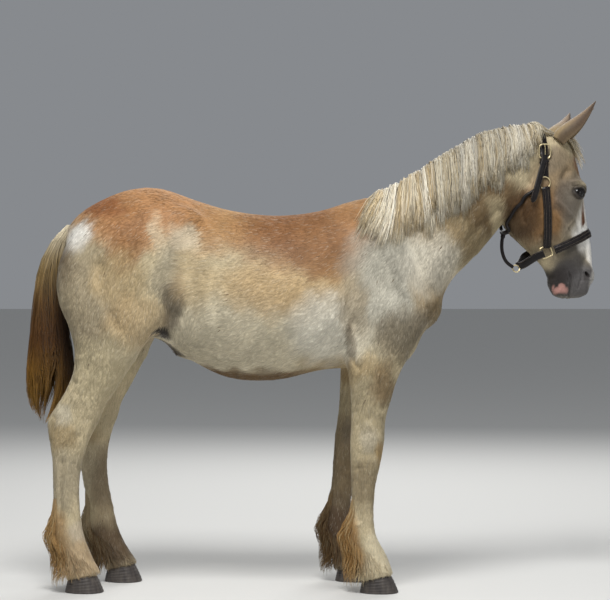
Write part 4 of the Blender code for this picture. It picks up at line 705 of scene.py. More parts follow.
def map_skin(mesh: bpy.types.Mesh, straight: Array) -> None:
    """Lays the skin's faces flat, each whole on one chart.

    Args:
        mesh: The skin's mesh.
        straight: Where its vertices lie on the straight horse.
    """
    loops = read_values(mesh.loops, "vertex_index")
    starts = read_values(mesh.polygons, "loop_start")
    face_of_loop = np.repeat(np.arange(len(starts)), read_values(mesh.polygons, "loop_total"))
    numbers = chart_numbers(straight)[loops[starts]][face_of_loop]
    flat = np.zeros((len(loops), 2))
    for number, name in enumerate(CHART_NAMES):
        chosen = numbers == number
        chart = CHARTS[name]
        along, turn = chart.read(straight[loops[chosen]])
        first = np.empty(len(starts))
        first[face_of_loop[chosen]] = turn
        base = first[face_of_loop[chosen]]
        turn = base + (turn - base + 0.5) % 1 - 0.5
        flat[chosen] = chart.place(along, turn)
    write_map(mesh, flat)


def map_locks(mesh: bpy.types.Mesh, roots: Array, locks: int, rings: int) -> None:
    """Gives each lock a small patch of the flat map at its root's place.

    Args:
        mesh: The mesh that sweep made.
        roots: Each lock's root on the straight horse.
        locks: How many locks there are.
        rings: How many rings each lock has.
    """
    patch = 0.003
    flat = flat_places(roots, chart_numbers(roots))
    across = np.array([0.0, 1.0, 0.5])
    u = np.tile(across, rings)
    v = np.repeat(np.arange(rings) / (rings - 1), 3)
    spread = (np.stack([u, v], axis=1) - 0.5) * patch
    corners = (flat[:, None, :] + spread[None]).reshape(-1, 2)
    write_map(mesh, corners[read_values(mesh.loops, "vertex_index")])


# The coat's markings


@dataclass(frozen=True)
class Marking:
    """A soft-edged patch of colour on the coat, on both sides unless it says one."""

    name: str
    colour: str
    centre: Triple
    size: Triple
    strength: float = 0.8
    tilt: float = 0.0
    side: Side | None = None

    def share(self, points: Array, ragged: Array) -> Array:
        """How much of the patch's colour each place takes.

        Args:
            points: Places of the straight horse.
            ragged: The same on its near side, moved about so that the patch's edge is ragged.

        Returns:
            A share from 0 to 1 for each.
        """
        left = self.side == Side.LEFT
        offset = (ragged * np.array((1, -1, 1)) if left else ragged) - np.array(self.centre)
        if left:
            offset[:, 0] = points[:, 0] - self.centre[0]
        turn = math.radians(self.tilt)
        x = offset[:, 0] * math.cos(turn) - offset[:, 2] * math.sin(turn)
        z = offset[:, 0] * math.sin(turn) + offset[:, 2] * math.cos(turn)
        away = (x / self.size[0]) ** 2 + (offset[:, 1] / self.size[1]) ** 2 + (z / self.size[2]) ** 2
        share = self.strength * (1 - smooth_step(0.25, 1.9, away))
        return share if self.side is None else share * (points[:, 1] * self.side > -0.004)


BASE_COAT = "#BFB08F"
# Where a patch is painted shade rather than the coat's own colour, its comment says so
MARKINGS = (
    Marking("belly cream", "#CEC4AB", (-0.25, -0.2, 0.96), (0.42, 0.4, 0.17), 0.8),
    Marking("rib tan", "#B8986A", (-0.06, -0.25, 1.17), (0.26, 0.3, 0.12), 0.7),
    Marking("loin gold", "#AC8355", (-0.33, -0.1, 1.42), (0.34, 0.4, 0.13), 0.95),
    Marking("saddle rust", "#865B37", (0.0, -0.1, 1.37), (0.25, 0.4, 0.15), 0.95),
    Marking("saddle low rust", "#8E643B", (0.06, -0.25, 1.29), (0.12, 0.3, 0.09), 0.7, 20),
    Marking("withers rust", "#A87C50", (0.24, -0.05, 1.43), (0.15, 0.3, 0.1), 0.85),
    Marking("croup rust", "#AF8156", (-0.66, -0.05, 1.45), (0.26, 0.4, 0.15), 1.0),
    Marking("haunch rust", "#9A6C40", (-0.69, -0.2, 1.345), (0.07, 0.3, 0.13), 0.85, 12),
    Marking("croup top", "#8B5630", (-0.78, -0.05, 1.47), (0.1, 0.2, 0.05), 0.8, 18),
    Marking("hip cream", "#D2C6AC", (-0.47, -0.25, 1.345), (0.06, 0.2, 0.055), 0.75, 30),
    Marking("hip streak", "#CFC2A4", (-0.56, -0.25, 1.33), (0.035, 0.2, 0.1), 0.6, -22),
    Marking("under hip grey", "#A69C86", (-0.54, -0.25, 1.215), (0.045, 0.2, 0.1), 0.6, 10),
    Marking("flank shade", "#574C3E", (-0.518, -0.25, 1.1), (0.042, 0.2, 0.105), 0.75, 8),
    Marking("flank tan", "#B49A70", (-0.44, -0.25, 1.19), (0.08, 0.2, 0.1), 0.45),
    Marking("buttock white", "#E6E1D6", (-0.882, -0.14, 1.345), (0.07, 0.2, 0.055), 1.0, -35),
    Marking("below the white", "#62513C", (-0.935, -0.14, 1.24), (0.06, 0.2, 0.09), 0.95, -10),
    Marking("thigh beige", "#9D8F75", (-0.83, -0.25, 1.1), (0.16, 0.3, 0.2), 0.85),
    Marking("thigh gold", "#B69D72", (-0.72, -0.25, 1.2), (0.1, 0.2, 0.1), 0.6),
    Marking("stifle tan", "#B89C70", (-0.66, -0.25, 1.03), (0.11, 0.2, 0.1), 0.6),
    Marking("gaskin cream", "#BFB18F", (-0.78, -0.22, 0.86), (0.12, 0.2, 0.12), 0.6),
    # A darker fold line along the lower belly, with painted shade on the belly's underside
    Marking("belly line", "#6A5232", (-0.2, -0.05, 0.812), (0.4, 0.16, 0.04), 1.0),
    # Painted shadow under the girth, behind the elbow
    Marking("girth tan", "#A18A62", (0.13, -0.12, 0.86), (0.16, 0.25, 0.06), 0.7),
    Marking("girth cream", "#DFD9C8", (0.06, -0.2, 1.01), (0.14, 0.3, 0.13), 0.85),
    # Cream coat, painted in the bluish grey of shade lit by the sky
    Marking("shoulder cream", "#B0AC9E", (0.315, -0.2, 1.17), (0.175, 0.25, 0.225), 0.9),
    Marking("shoulder tan", "#9A845F", (0.165, -0.24, 1.08), (0.05, 0.2, 0.12), 0.45),
    Marking("breast tan", "#87704A", (0.455, -0.1, 1.16), (0.08, 0.2, 0.13), 0.8),
    # Tan coat on the upper arm, darkened with painted shade
    Marking("arm tan", "#766A54", (0.33, -0.2, 0.98), (0.1, 0.2, 0.1), 0.8),
    # Cream coat on the lower neck, darkened with painted shade on the neck's underside
    Marking("neck cream", "#7D6C4D", (0.56, -0.1, 1.37), (0.18, 0.2, 0.13), 0.85),
    # Rust coat, darkened with the painted shadow that the mane casts on the neck
    Marking("neck rust", "#604522", (0.7, -0.1, 1.53), (0.17, 0.2, 0.065), 0.85, 28),
    # Painted shadow cast by the mane on the neck
    Marking("under the mane", "#5E4728", (0.655, -0.1, 1.45), (0.15, 0.2, 0.065), 0.7, 28),
    Marking("low neck rust", "#B59B74", (0.43, -0.13, 1.4), (0.17, 0.2, 0.06), 0.35, 28),
    Marking("neck base cream", "#CFC8B6", (0.45, -0.15, 1.255), (0.11, 0.2, 0.11), 0.8),
    Marking("throat pale", "#C9BA96", (0.72, -0.06, 1.42), (0.04, 0.12, 0.11), 0.6, -30),
    # Gold coat on the cheek, darkened with painted shade
    Marking("cheek gold", "#7C5324", (0.87, -0.1, 1.43), (0.11, 0.2, 0.12), 0.85),
    Marking("jowl shade", "#3A2A19", (0.8, -0.1, 1.43), (0.06, 0.2, 0.11), 0.75),
    Marking("behind the eye", "#765C3F", (0.93, -0.1, 1.59), (0.08, 0.15, 0.1), 0.7),
    Marking("temple top", "#7A6E5B", (0.925, -0.1, 1.65), (0.05, 0.15, 0.05), 0.7),
    Marking("forehead brown", "#805632", (1.035, -0.05, 1.63), (0.04, 0.07, 0.055), 0.8),
    Marking("brow cream", "#8C7A5A", (1.0, -0.09, 1.575), (0.03, 0.08, 0.022), 0.5),
    Marking("eye grey", "#645C54", (0.985, -0.09, 1.5), (0.06, 0.08, 0.085), 0.75),
    Marking("face grey", "#696259", (1.02, -0.08, 1.39), (0.06, 0.08, 0.15), 0.7),
    Marking("jaw grey", "#5C5242", (0.93, -0.07, 1.31), (0.07, 0.12, 0.06), 0.6),
    Marking("muzzle grey", "#565352", (1.03, -0.04, 1.175), (0.125, 0.12, 0.09), 1.0),
    Marking("mouth corner dark", "#2B2726", (0.975, -0.06, 1.215), (0.045, 0.08, 0.045), 0.8),
    Marking("nose fade", "#3E3B39", (1.012, -0.05, 1.272), (0.062, 0.08, 0.052), 0.8),
    # Grey coat on the chin, darkened with painted shadow under the chin
    Marking("chin grey", "#26211F", (0.95, -0.03, 1.165), (0.05, 0.08, 0.06), 0.9),
    Marking("blaze", "#F2EEE6", (1.112, 0.0, 1.34), (0.038, 0.05, 0.23), 1.0),
    Marking("upper blaze", "#F2EFE8", (1.078, -0.02, 1.385), (0.058, 0.09, 0.095), 1.0),
    Marking("breast low", "#6F6049", (0.435, -0.08, 1.03), (0.06, 0.16, 0.07), 0.45),
    # Painted shadow in the crease of the flank fold
    Marking("flank fold", "#2A221B", (-0.562, -0.25, 0.985), (0.036, 0.16, 0.03), 1.0, -25),
    # Painted shade in the crease behind the elbow
    Marking("elbow dark", "#6A5D49", (0.15, -0.24, 0.96), (0.016, 0.14, 0.11), 0.6, 6),
    # The dark skin round the eye, with painted shadow under the brow
    Marking("around the eye", "#2E2620", (1.034, -0.09, 1.524), (0.032, 0.06, 0.024), 0.7, 24),
    Marking("nose patch", "#6A4224", (1.054, -0.058, 1.436), (0.011, 0.022, 0.04), 1.0, 0, Side.RIGHT),
    Marking("lip pink", "#B98A80", (0.958, -0.045, 1.133), (0.034, 0.04, 0.014), 1.0, 0, Side.RIGHT),
    Marking("lip pink tongue", "#B98A80", (0.938, -0.045, 1.15), (0.008, 0.04, 0.012), 0.9, 35, Side.RIGHT),
    Marking("lip pink second tongue", "#B98A80",
            (0.974, -0.045, 1.15), (0.01, 0.04, 0.012), 0.9, -20, Side.RIGHT),
    Marking("far lip pink", "#B08378", (1.0, 0.04, 1.135), (0.018, 0.03, 0.016), 0.7, 0, Side.LEFT),
    Marking("face spot", "#1E1815", (1.001, -0.075, 1.383), (0.0075, 0.03, 0.0045), 1.0, 20, Side.RIGHT),
    Marking("upper leg cream", "#978A6D", (0.24, -0.16, 0.72), (0.12, 0.2, 0.12), 0.5),
    Marking("forearm tan", "#78603F", (0.27, -0.16, 0.8), (0.05, 0.2, 0.08), 0.7),
    Marking("knee grey", "#A39B8A", (0.215, -0.16, 0.59), (0.04, 0.12, 0.06), 0.6),
    Marking("knee tan", "#A3875A", (0.262, -0.16, 0.53), (0.022, 0.12, 0.06), 0.8),
    Marking("hock tan", "#A08A64", (-0.94, -0.15, 0.6), (0.06, 0.12, 0.06), 0.7),
    Marking("hock white", "#CFC6B0", (-0.925, -0.15, 0.68), (0.03, 0.12, 0.035), 0.6),
    Marking("fore cannon grey", "#86765A", (0.19, -0.16, 0.42), (0.09, 0.12, 0.1), 0.7),
    Marking("hind cannon grey", "#A3977F", (-0.93, -0.15, 0.44), (0.09, 0.12, 0.11), 0.7),
    Marking("fore pastern cream", "#D6C9AA",
            (0.258, -0.16, 0.135), (0.07, 0.15, 0.095), 0.85, 0, Side.RIGHT),
    Marking("fore fetlock gold", "#9A7443", (0.13, -0.16, 0.19), (0.055, 0.15, 0.13), 0.9, 0, Side.RIGHT),
    Marking("hind pastern gold", "#B59A78", (-0.87, -0.15, 0.14), (0.09, 0.15, 0.1), 0.7, 0, Side.RIGHT),
    Marking("hind fetlock pale", "#BDB09A", (-0.89, -0.15, 0.235), (0.035, 0.12, 0.04), 0.7, 0, Side.RIGHT),
    Marking("hind fetlock gold", "#97764A", (-0.98, -0.15, 0.2), (0.055, 0.15, 0.12), 0.85, 0, Side.RIGHT),
    Marking("far fore mud", "#4A3523", (0.11, 0.16, 0.19), (0.12, 0.15, 0.15), 0.95, 0, Side.LEFT),
    Marking("far fore shade", "#68573F", (0.15, 0.16, 0.48), (0.1, 0.15, 0.16), 0.75, 0, Side.LEFT),
    Marking("far hind mud", "#4F3B28", (-0.8, 0.15, 0.145), (0.14, 0.15, 0.095), 0.9, 0, Side.LEFT),
    Marking("far hind streak", "#6E5A42", (-0.79, 0.15, 0.4), (0.06, 0.15, 0.16), 0.6, 8, Side.LEFT),
    # Painted shade round the sheath, under the belly
    Marking("sheath dark", "#2E2622", (-0.51, 0.0, 0.925), (0.09, 0.06, 0.05), 0.95),
    # Painted shade between the hind legs
    Marking("between the thighs", "#6F5D48", (-0.76, 0.0, 1.0), (0.2, 0.065, 0.2), 0.8),
    # Painted shade under the tail's dock
    Marking("under the dock", "#3F342D", (-0.955, 0.0, 1.23), (0.05, 0.05, 0.12), 0.9),
)


def coat_colour(points: Array) -> Array:
    """The coat's colour at places of the straight horse, from its markings, some of which are painted shade.

    Args:
        points: Places on or near the skin.

    Returns:
        A linear colour for each.
    """
    near = to_near_side(points)
    ragged = near + np.stack([waves(points, 0.045, seed) for seed in (3, 5, 7)], axis=1) * 0.016
    colours = np.tile(linear(BASE_COAT), (len(points), 1))
    for mark in MARKINGS:
        colours += (linear(mark.colour) - colours) * mark.share(points, ragged)[:, None]
    along_way, rise_way = eye_ways()
    offset = near - EYE
    away = np.hypot(offset @ along_way / LID_LENGTH, (offset @ rise_way - 0.002) / LID_HEIGHT)
    lids = 0.92 * (1 - smooth_step(1.05, 1.95, away)) * (np.linalg.norm(offset, axis=1) < 0.06)
    colours += (linear("#1B1511") - colours) * lids[:, None]
    mottle = 1 + 0.1 * waves(points, 0.06, 11) + 0.05 * waves(points, 0.022, 13)
    return np.clip(colours * mottle[:, None], 0.004, 1)


# Closed shapes


def between(rows: Array, position: float) -> Array:
    """The numbers at a position along rows, by Catmull-Rom.

    Args:
        rows: Rows of numbers.
        position: A place among them, where 1.5 is half way from the second to the third.

    Returns:
        The numbers there.
    """
    index = min(int(position), len(rows) - 2)
    t = position - index
    picks = rows[np.clip(np.arange(index - 1, index + 3), 0, len(rows) - 1)]
    weights = np.array(
        [-0.5 * t**3 + t**2 - 0.5 * t,
         1.5 * t**3 - 2.5 * t**2 + 1,
         -1.5 * t**3 + 2 * t**2 + 0.5 * t,
         0.5 * t**3 - 0.5 * t**2]
    )
    return weights @ picks


def rounded(values: Array, square: float) -> Array:
    """Moves cosines or sines out towards a square of the given exponent."""
    return np.sign(values) * np.abs(values) ** (2 / square)


def ring_of(row: Array, sides: int = 28) -> Array:
    """The places of one cross-section. A row is a station's numbers.

    Args:
        row: The station's edge points, middle across, half width and form.
        sides: How many places the ring has.

    Returns:
        The places.
    """
    first_x, first_z, second_x, second_z, y, half, square, pear = row
    middle = np.array(((first_x + second_x) / 2, y, (first_z + second_z) / 2))
    arm = np.array(((first_x - second_x) / 2, 0, (first_z - second_z) / 2))
    turns = 2 * np.pi * np.arange(sides) / sides
    up = rounded(np.cos(turns), square)
    across = rounded(np.sin(turns), square) * half * (1 + pear * up)
    return middle + arm * up[:, None] + np.array((0, 1, 0)) * across[:, None]


def loft(rings: Sequence[Array], closed: bool = False) -> Shape:
    """Closes a surface over rings of places.

    Args:
        rings: Each ring's places, all of the same number.
        closed: Whether the last ring joins the first instead of both being capped.

    Returns:
        Places and triangles.
    """
    count = len(rings[0])
    points = np.concatenate(rings)
    near = np.arange(count)
    far = (near + 1) % count
    triangles = []
    for n in range(len(rings) if closed else len(rings) - 1):
        low, high = n * count, (n + 1) % len(rings) * count
        triangles.append(np.stack([low + near, low + far, high + far], axis=1))
        triangles.append(np.stack([low + near, high + far, high + near], axis=1))
    if not closed:
        last = (len(rings) - 1) * count
        middles = np.stack([rings[0].mean(axis=0), rings[-1].mean(axis=0)])
        first_middle = len(points)
        points = np.concatenate([points, middles])
        triangles.append(np.stack([far, near, np.full(count, first_middle)], axis=1))
        triangles.append(np.stack([last + near, last + far, np.full(count, first_middle + 1)], axis=1))
    return points, np.concatenate(triangles)


def merged(shapes: Iterable[Shape]) -> Shape:
    """Puts shapes side by side in one pair of arrays."""
    all_points, all_triangles, total = [], [], 0
    for points, triangles in shapes:
        all_points.append(points)
        all_triangles.append(triangles + total)
        total += len(points)
    return np.concatenate(all_points), np.concatenate(all_triangles)


def loft_stations(stations: Sequence[Station], side: Side = Side.LEFT, lead: Sequence[Pair] = ()) -> Shape:
    """The loft over stations, on the left or right of the horse.

    Args:
        stations: The cross-sections in their order.
        side: The side it is on.
        lead: How far the leg is moved along the body, by height.

    Returns:
        The shape.
    """
    steps = 4
    rows = np.array([(*s.first, *s.second, s.y * side, s.half, s.square, s.pear) for s in stations])
    rings = []
    for step in range((len(rows) - 1) * steps + 1):
        row = between(rows, step / steps)
        if lead:
            row[0] += float(lead_at(lead, row[1]))
            row[2] += float(lead_at(lead, row[3]))
        rings.append(ring_of(row))
    return loft(rings)


def egg(centre: Sequence[float], size: Sequence[float], tilt: float = 0.0, steps: int = 14) -> Shape:
    """An ellipsoid that is tilted in the side view by degrees.

    Args:
        centre: Its middle.
        size: Half its length each way.
        tilt: The tilt in degrees.
        steps: How many rings it has.

    Returns:
        The shape.
    """
    rings = []
    turns = 2 * np.pi * np.arange(24) / 24
    for step in range(steps + 1):
        way = math.pi * (0.02 + 0.96 * step / steps)
        ring = np.stack(
            [np.cos(turns) * math.sin(way), np.sin(turns) * math.sin(way), np.full(24, math.cos(way))],
            axis=1,
        )
        rings.append(ring * np.array(size))
    points, triangles = loft(rings)
    turn = np.array(Matrix.Rotation(math.radians(tilt), 3, "Y"))
    return points @ turn.T + np.array(centre), triangles


def flesh_shape() -> Shape:
    """All the overlapping forms of the straight horse's flesh."""
    shapes = [loft_stations(stations) for stations in (TORSO, NECK, HEAD)]
    shapes += [
        loft_stations(HIND_LEG, Side.RIGHT),
        loft_stations(HIND_LEG, Side.LEFT, LEFT_HIND_LEAD),
        loft_stations(FORE_LEG, Side.RIGHT),
        loft_stations(FORE_LEG, Side.LEFT, LEFT_FORE_LEAD),
    ]
    for muscle in MUSCLES:
        for side in (Side.RIGHT, Side.LEFT):
            x, y, z = muscle.centre
            shapes.append(egg((x, y * side, z), muscle.size, muscle.tilt))
    return merged(shapes)


# The eyes, nostrils and mouth, as places on the right side of the straight head
EYE = np.array((1.021, -0.07, 1.518))
EYE_RADIUS = 0.025
EYE_OUT = unit(np.array((0.34, -0.93, 0.02)))
LID_TILT = math.radians(-24)
LID_LENGTH = 0.0225
LID_HEIGHT = 0.0154
NOSTRIL = np.array((1.07, -0.056, 1.2))
MOUTH_X = 1.006
MOUTH_CENTRE = 1.2
MOUTH_REACH = math.radians(104)


def eye_ways() -> tuple[Array, Array]:
    """The directions along and up the right eye's opening."""
    level = np.cross(EYE_OUT, (0, 0, 1))
    level *= math.copysign(1, level[0])
    up = np.cross(level, EYE_OUT)
    up *= math.copysign(1, up[2])
    along = level * math.cos(LID_TILT) + up * math.sin(LID_TILT)
    rise = up * math.cos(LID_TILT) - level * math.sin(LID_TILT)
    return along, rise


def lid_edge(turns: Array) -> tuple[Array, Array]:
    """How far along and up the opening's edge lies at each turn round the eye."""
    height = np.where(np.sin(turns) > 0, 1.08, 0.86) * LID_HEIGHT
    return LID_LENGTH * np.cos(turns), height * np.sin(turns) * (1 - 0.28 * np.cos(turns) ** 2)


def from_line(points: Array, line: Sequence[Sequence[float]]) -> Array:
    """The distance of places from a line of places.

    Args:
        points: The places.
        line: The line's places.

    Returns:
        Each one's distance.
    """
    best = np.full(len(points), np.inf)
    for start, stop in zip(line, line[1:]):
        first = np.array(start)
        way = np.array(stop) - first
        share = np.clip((points - first) @ way / (way @ way), 0, 1)
        best = np.minimum(best, np.linalg.norm(points - first - share[:, None] * way, axis=1))
    return best


@dataclass
class Skin:
    """The horse's flesh as one closed surface of the straight horse.

    Args:
        mesh: Its mesh, whose places are those of the straight horse until it is placed.
    """

    mesh: bpy.types.Mesh
    points: Array = field(init=False)
    normals: Array = field(init=False)

    VOXEL = 0.0095
    SMOOTH_ROUNDS = 7
    TRUNK_ROUNDS = 38
    COAT_DEPTH = 0.0018
    SOLIDS = (
        "torso", "neck", "head", "thigh_right", "thigh_left", "hind_leg_right", "hind_leg_left",
        "forearm_right", "forearm_left", "fore_leg_right", "fore_leg_left",
    )

    def __post_init__(self) -> None:
        """Reads the places and normals of the mesh."""
        self.read()

    def read(self) -> None:
        """Reads the places and normals again after a change of the mesh."""
        self.points = read_points(self.mesh)
        self.normals = read_normals(self.mesh)

    @classmethod
    def grow(cls) -> Skin:
        """Fuses the flesh's forms, smooths them and works the head and the folds.

        Returns:
            The skin of the straight horse.
        """
        thing = bpy.data.objects.new("flesh", make_mesh("flesh", *flesh_shape()))
        bpy.context.scene.collection.objects.link(thing)
        fuse = thing.modifiers.new("fuse", "REMESH")
        fuse.mode = "VOXEL"
        fuse.voxel_size = cls.VOXEL
        skin = cls(settled(thing))
        skin.smooth()
        skin.refine()
        skin.press_grooves()
        skin.open_mouth()
        skin.open_nostrils()
        skin.draw_in()
        skin.open_eyes()
        return skin

    def move(self, points: Array) -> None:
        """Writes new places to the mesh and reads its normals again."""
        write_points(self.mesh, points)
        self.read()

    def smooth(self) -> None:
        """Smooths all of the skin a little and the broad forms of the trunk a lot."""
        edges = read_edges(self.mesh)
        everywhere = np.ones(len(self.points))
        points = relaxed(self.points, edges, everywhere, self.SMOOTH_ROUNDS)
        trunk = (points[:, 2] > 0.9) & (points[:, 0] < 0.64)
        self.move(relaxed(points, edges, trunk.astype(float), self.TRUNK_ROUNDS))

    def refine(self) -> None:
        """Divides the skin's faces where the head's features need finer ones."""
        shape = bmesh.new()
        shape.from_mesh(self.mesh)
        for reach_of in (self._on_head, self._near_features, self._near_eyes):
            edges = [edge for edge in shape.edges if all(reach_of(v.co) for v in edge.verts)]
            bmesh.ops.subdivide_edges(shape, edges=edges, cuts=1, use_grid_fill=True)
        faces = [face for face in shape.faces if len(face.verts) > 4]
        bmesh.ops.triangulate(shape, faces=faces)
        shape.to_mesh(self.mesh)
        shape.free()
        self.read()
        head = smooth_step(0.74, 0.84, self.points[:, 0])
        self.move(relaxed(self.points, read_edges(self.mesh), head, 3))

    @staticmethod
    def _on_head(place: Vector) -> bool:
        """Whether a place is on the head."""
        return place.x > 0.8 and place.z < 1.74

    @staticmethod
    def _near_features(place: Vector) -> bool:
        """Whether a place is near an eye or on the muzzle."""
        eye = (place.x - 1.03) ** 2 + (place.z - 1.525) ** 2 < 0.048**2 and abs(place.y) > 0.04
        return eye or (place.z < 1.235 and place.x > 0.95)

    @staticmethod
    def _near_eyes(place: Vector) -> bool:
        """Whether a place is on an eyelid."""
        return (place.x - 1.034) ** 2 + (place.z - 1.524) ** 2 < 0.034**2 and abs(place.y) > 0.05

    def press_grooves(self) -> None:
        """Presses the folds, hollows and ridges into the skin."""
        near = to_near_side(self.points)
        depth = np.zeros(len(near))
        for groove in GROOVES:
            line = np.array(groove.line)
            low, high = line.min(axis=0), line.max(axis=0)
            reach = 3 * groove.width + 0.03
            chosen = np.flatnonzero(np.all((near > low - reach) & (near < high + reach), axis=1))
            if len(chosen):
                away = from_line(near[chosen], groove.line)
                depth[chosen] += 1.5 * groove.depth * np.exp(-((away / groove.width) ** 2))
        self.move(self.points - self.normals * depth[:, None])

    def open_mouth(self) -> None:
        """Presses the crease between the lips, deepest in front and fading at its corners."""
        x, y, z = self.points.T
        turn = np.arctan2(y, MOUTH_CENTRE - z)
        wave = 0.0035 * np.cos(turn * 2.2) + 0.01 * np.abs(turn / MOUTH_REACH) ** 3
        away = np.abs(x - (MOUTH_X - 0.004 - wave))
        end = 1 - smooth_step(0.82, 1.05, np.abs(turn) / MOUTH_REACH)
        below = (z < 1.235) & (x > 0.93)
        crease = np.exp(-((away / 0.0022) ** 2)) * 0.0075 + np.exp(-((away / 0.007) ** 2)) * 0.003
        lips = np.exp(-(((away - 0.009) / 0.006) ** 2)) * 0.0018
        self.move(self.points - self.normals * ((crease - lips) * end * below)[:, None])

    def open_nostrils(self) -> None:
        """Sinks both nostrils as slanted commas with raised rims."""
        near = to_near_side(self.points)
        offset = near - NOSTRIL
        tilt = math.radians(24)
        along = offset[:, 2] * math.cos(tilt) - offset[:, 0] * math.sin(tilt)
        across = offset[:, 0] * math.cos(tilt) + offset[:, 2] * math.sin(tilt)
        across = across + 0.0035 * np.sin(along / 0.02 * 1.4)
        away = np.sqrt((along / 0.016) ** 2 + (across / 0.0062) ** 2)
        chosen = (np.linalg.norm(offset, axis=1) < 0.055) & (np.abs(near[:, 1]) > 0.015)
        sink = (1 - smooth_step(0.35, 1.05, away)) * 0.015
        rim = np.exp(-(((away - 1.28) / 0.26) ** 2)) * 0.003
        inward = np.stack(
            [np.full(len(near), -0.42), -0.78 * np.sign(self.points[:, 1]), np.full(len(near), 0.3)], axis=1
        )
        moved = self.points + unit(inward) * (sink * chosen)[:, None]
        self.move(moved + self.normals * (rim * chosen)[:, None])

    def draw_in(self) -> None:
        """Draws the skin in by the coat's depth, and the ends of the legs into the hoofs."""
        points = self.points - self.normals * self.COAT_DEPTH
        near = to_near_side(points)
        low = points[:, 2] < 0.2
        sunk = low * (1 - smooth_step(-0.004, 0.006, near[:, 2] - coronet_height(near)))
        hind = near[:, :1] < LEG_DIVIDE
        middle = np.where(hind, (HIND_HOOF_X, -0.15), (FORE_HOOF_X, -0.16))
        near[:, :2] += (middle - near[:, :2]) * (0.24 * sunk)[:, None]
        lead = left_lead(points)
        far = points[:, 1] > 0
        points[low, 0] = near[low, 0] + np.where(far, lead, 0)[low]
        points[low, 1] = near[low, 1] * np.where(far, -1, 1)[low]
        points[low, 2] = np.maximum(points[low, 2], 0.014)
        self.move(points)

    def open_eyes(self) -> None:
        """Wraps the lids round both eyeballs and opens them in an almond."""
        side = np.where(self.points[:, 1] > 0, -1.0, 1.0)
        near = self.points * np.stack([np.ones(len(side)), side, np.ones(len(side))], axis=1)
        along_way, rise_way = eye_ways()
        offset = near - EYE
        along, rise, out = offset @ along_way, offset @ rise_way, offset @ EYE_OUT
        turn = np.arctan2(rise / LID_HEIGHT, along / LID_LENGTH)
        edge_along, edge_rise = lid_edge(turn)
        edge = np.hypot(edge_along, edge_rise)
        away = np.hypot(along, rise) / edge
        chosen = (np.linalg.norm(offset, axis=1) < 0.06) & (out > 0)
        snapped = chosen & (away > 0.86) & (away < 1.1)
        along = np.where(snapped, edge_along, along)
        rise = np.where(snapped, edge_rise, rise)
        inside = chosen & (away <= 0.86)
        upper = smooth_step(-0.2, 0.5, np.sin(turn))
        lid = EYE_RADIUS + 0.0016 + (0.0022 + 0.0022 * upper) * smooth_step(1.0, 1.35, away)
        lid = np.where(inside, EYE_RADIUS - 0.0035, lid)
        flat = np.minimum(along**2 + rise**2, (lid * 0.98) ** 2)
        on_ball = np.sqrt(lid**2 - flat)
        share = 1 - smooth_step(1.25, 2.0, away)
        wrapped = np.maximum(out * (1 - share) + on_ball * share, np.where(away < 1.6, on_ball, -1))
        wrapped = np.where(inside, on_ball, wrapped)
        out = np.where(chosen, wrapped, out)
        moved = EYE + along[:, None] * along_way + rise[:, None] * rise_way + out[:, None] * EYE_OUT
        moved = np.where(chosen[:, None], moved, near)
        self.move(moved * np.stack([np.ones(len(side)), side, np.ones(len(side))], axis=1))

    def add(self, stance: Stance, finishes: Finishes) -> None:
        """Adds the placed skin in place of the flesh's solids, dark inside the nostrils.

        Args:
            stance: Places the skin.
            finishes: The materials.
        """
        colours = coat_colour(self.points)
        # Inside the nostrils: their dark skin, with painted shade of the hollow
        offset = to_near_side(self.points) - NOSTRIL
        inside = smooth_step(0.02, 0.01, np.abs(offset[:, 0]))
        inside *= smooth_step(0.024, 0.014, np.abs(offset[:, 2])) * smooth_step(-0.004, 0.004, offset[:, 1])
        colours += (linear("#1E1715") - colours) * inside[:, None]
        mesh = self.mesh.copy()
        mesh.name = "skin"
        write_points(mesh, stance.place(self.points))
        paint(mesh, colours)
        map_skin(mesh, self.points)
        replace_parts(piece_of("skin", mesh, finishes.skin), *self.SOLIDS)

    def triangles(self) -> Array:
        """The skin's faces as triangles."""
        self.mesh.calc_loop_triangles()
        return read_values(self.mesh.loop_triangles, "vertices", 3)

    def tree(self) -> BVHTree:
        """A tree of the skin's faces for rays."""
        return BVHTree.FromPolygons(self.points.tolist(), self.triangles().tolist())


def cast(tree: BVHTree, origin: Array, target: Array) -> tuple[Array, Array]:
    """Where a ray from one place towards another meets a tree's faces, and the normal there.

    Args:
        tree: The faces.
        origin: Where the ray starts.
        target: What it aims at, which is the answer where nothing is met.

    Returns:
        The place and the normal.
    """
    start = Vector(origin)
    way = (Vector(target) - start).normalized()
    place, normal, _, _ = tree.ray_cast(start, way)
    if place is None:
        return np.array(target, dtype=float), -np.array(way)
    return np.array(place), np.array(normal)


# Materials


def per_metre(millimetres: float) -> float:
    """How often a pattern of a real size repeats in a metre."""
    return 1000 / millimetres


def colour_of(code: str) -> tuple[float, float, float, float]:
    """A hex colour as a shader's value."""
    return (*linear(code), 1.0)


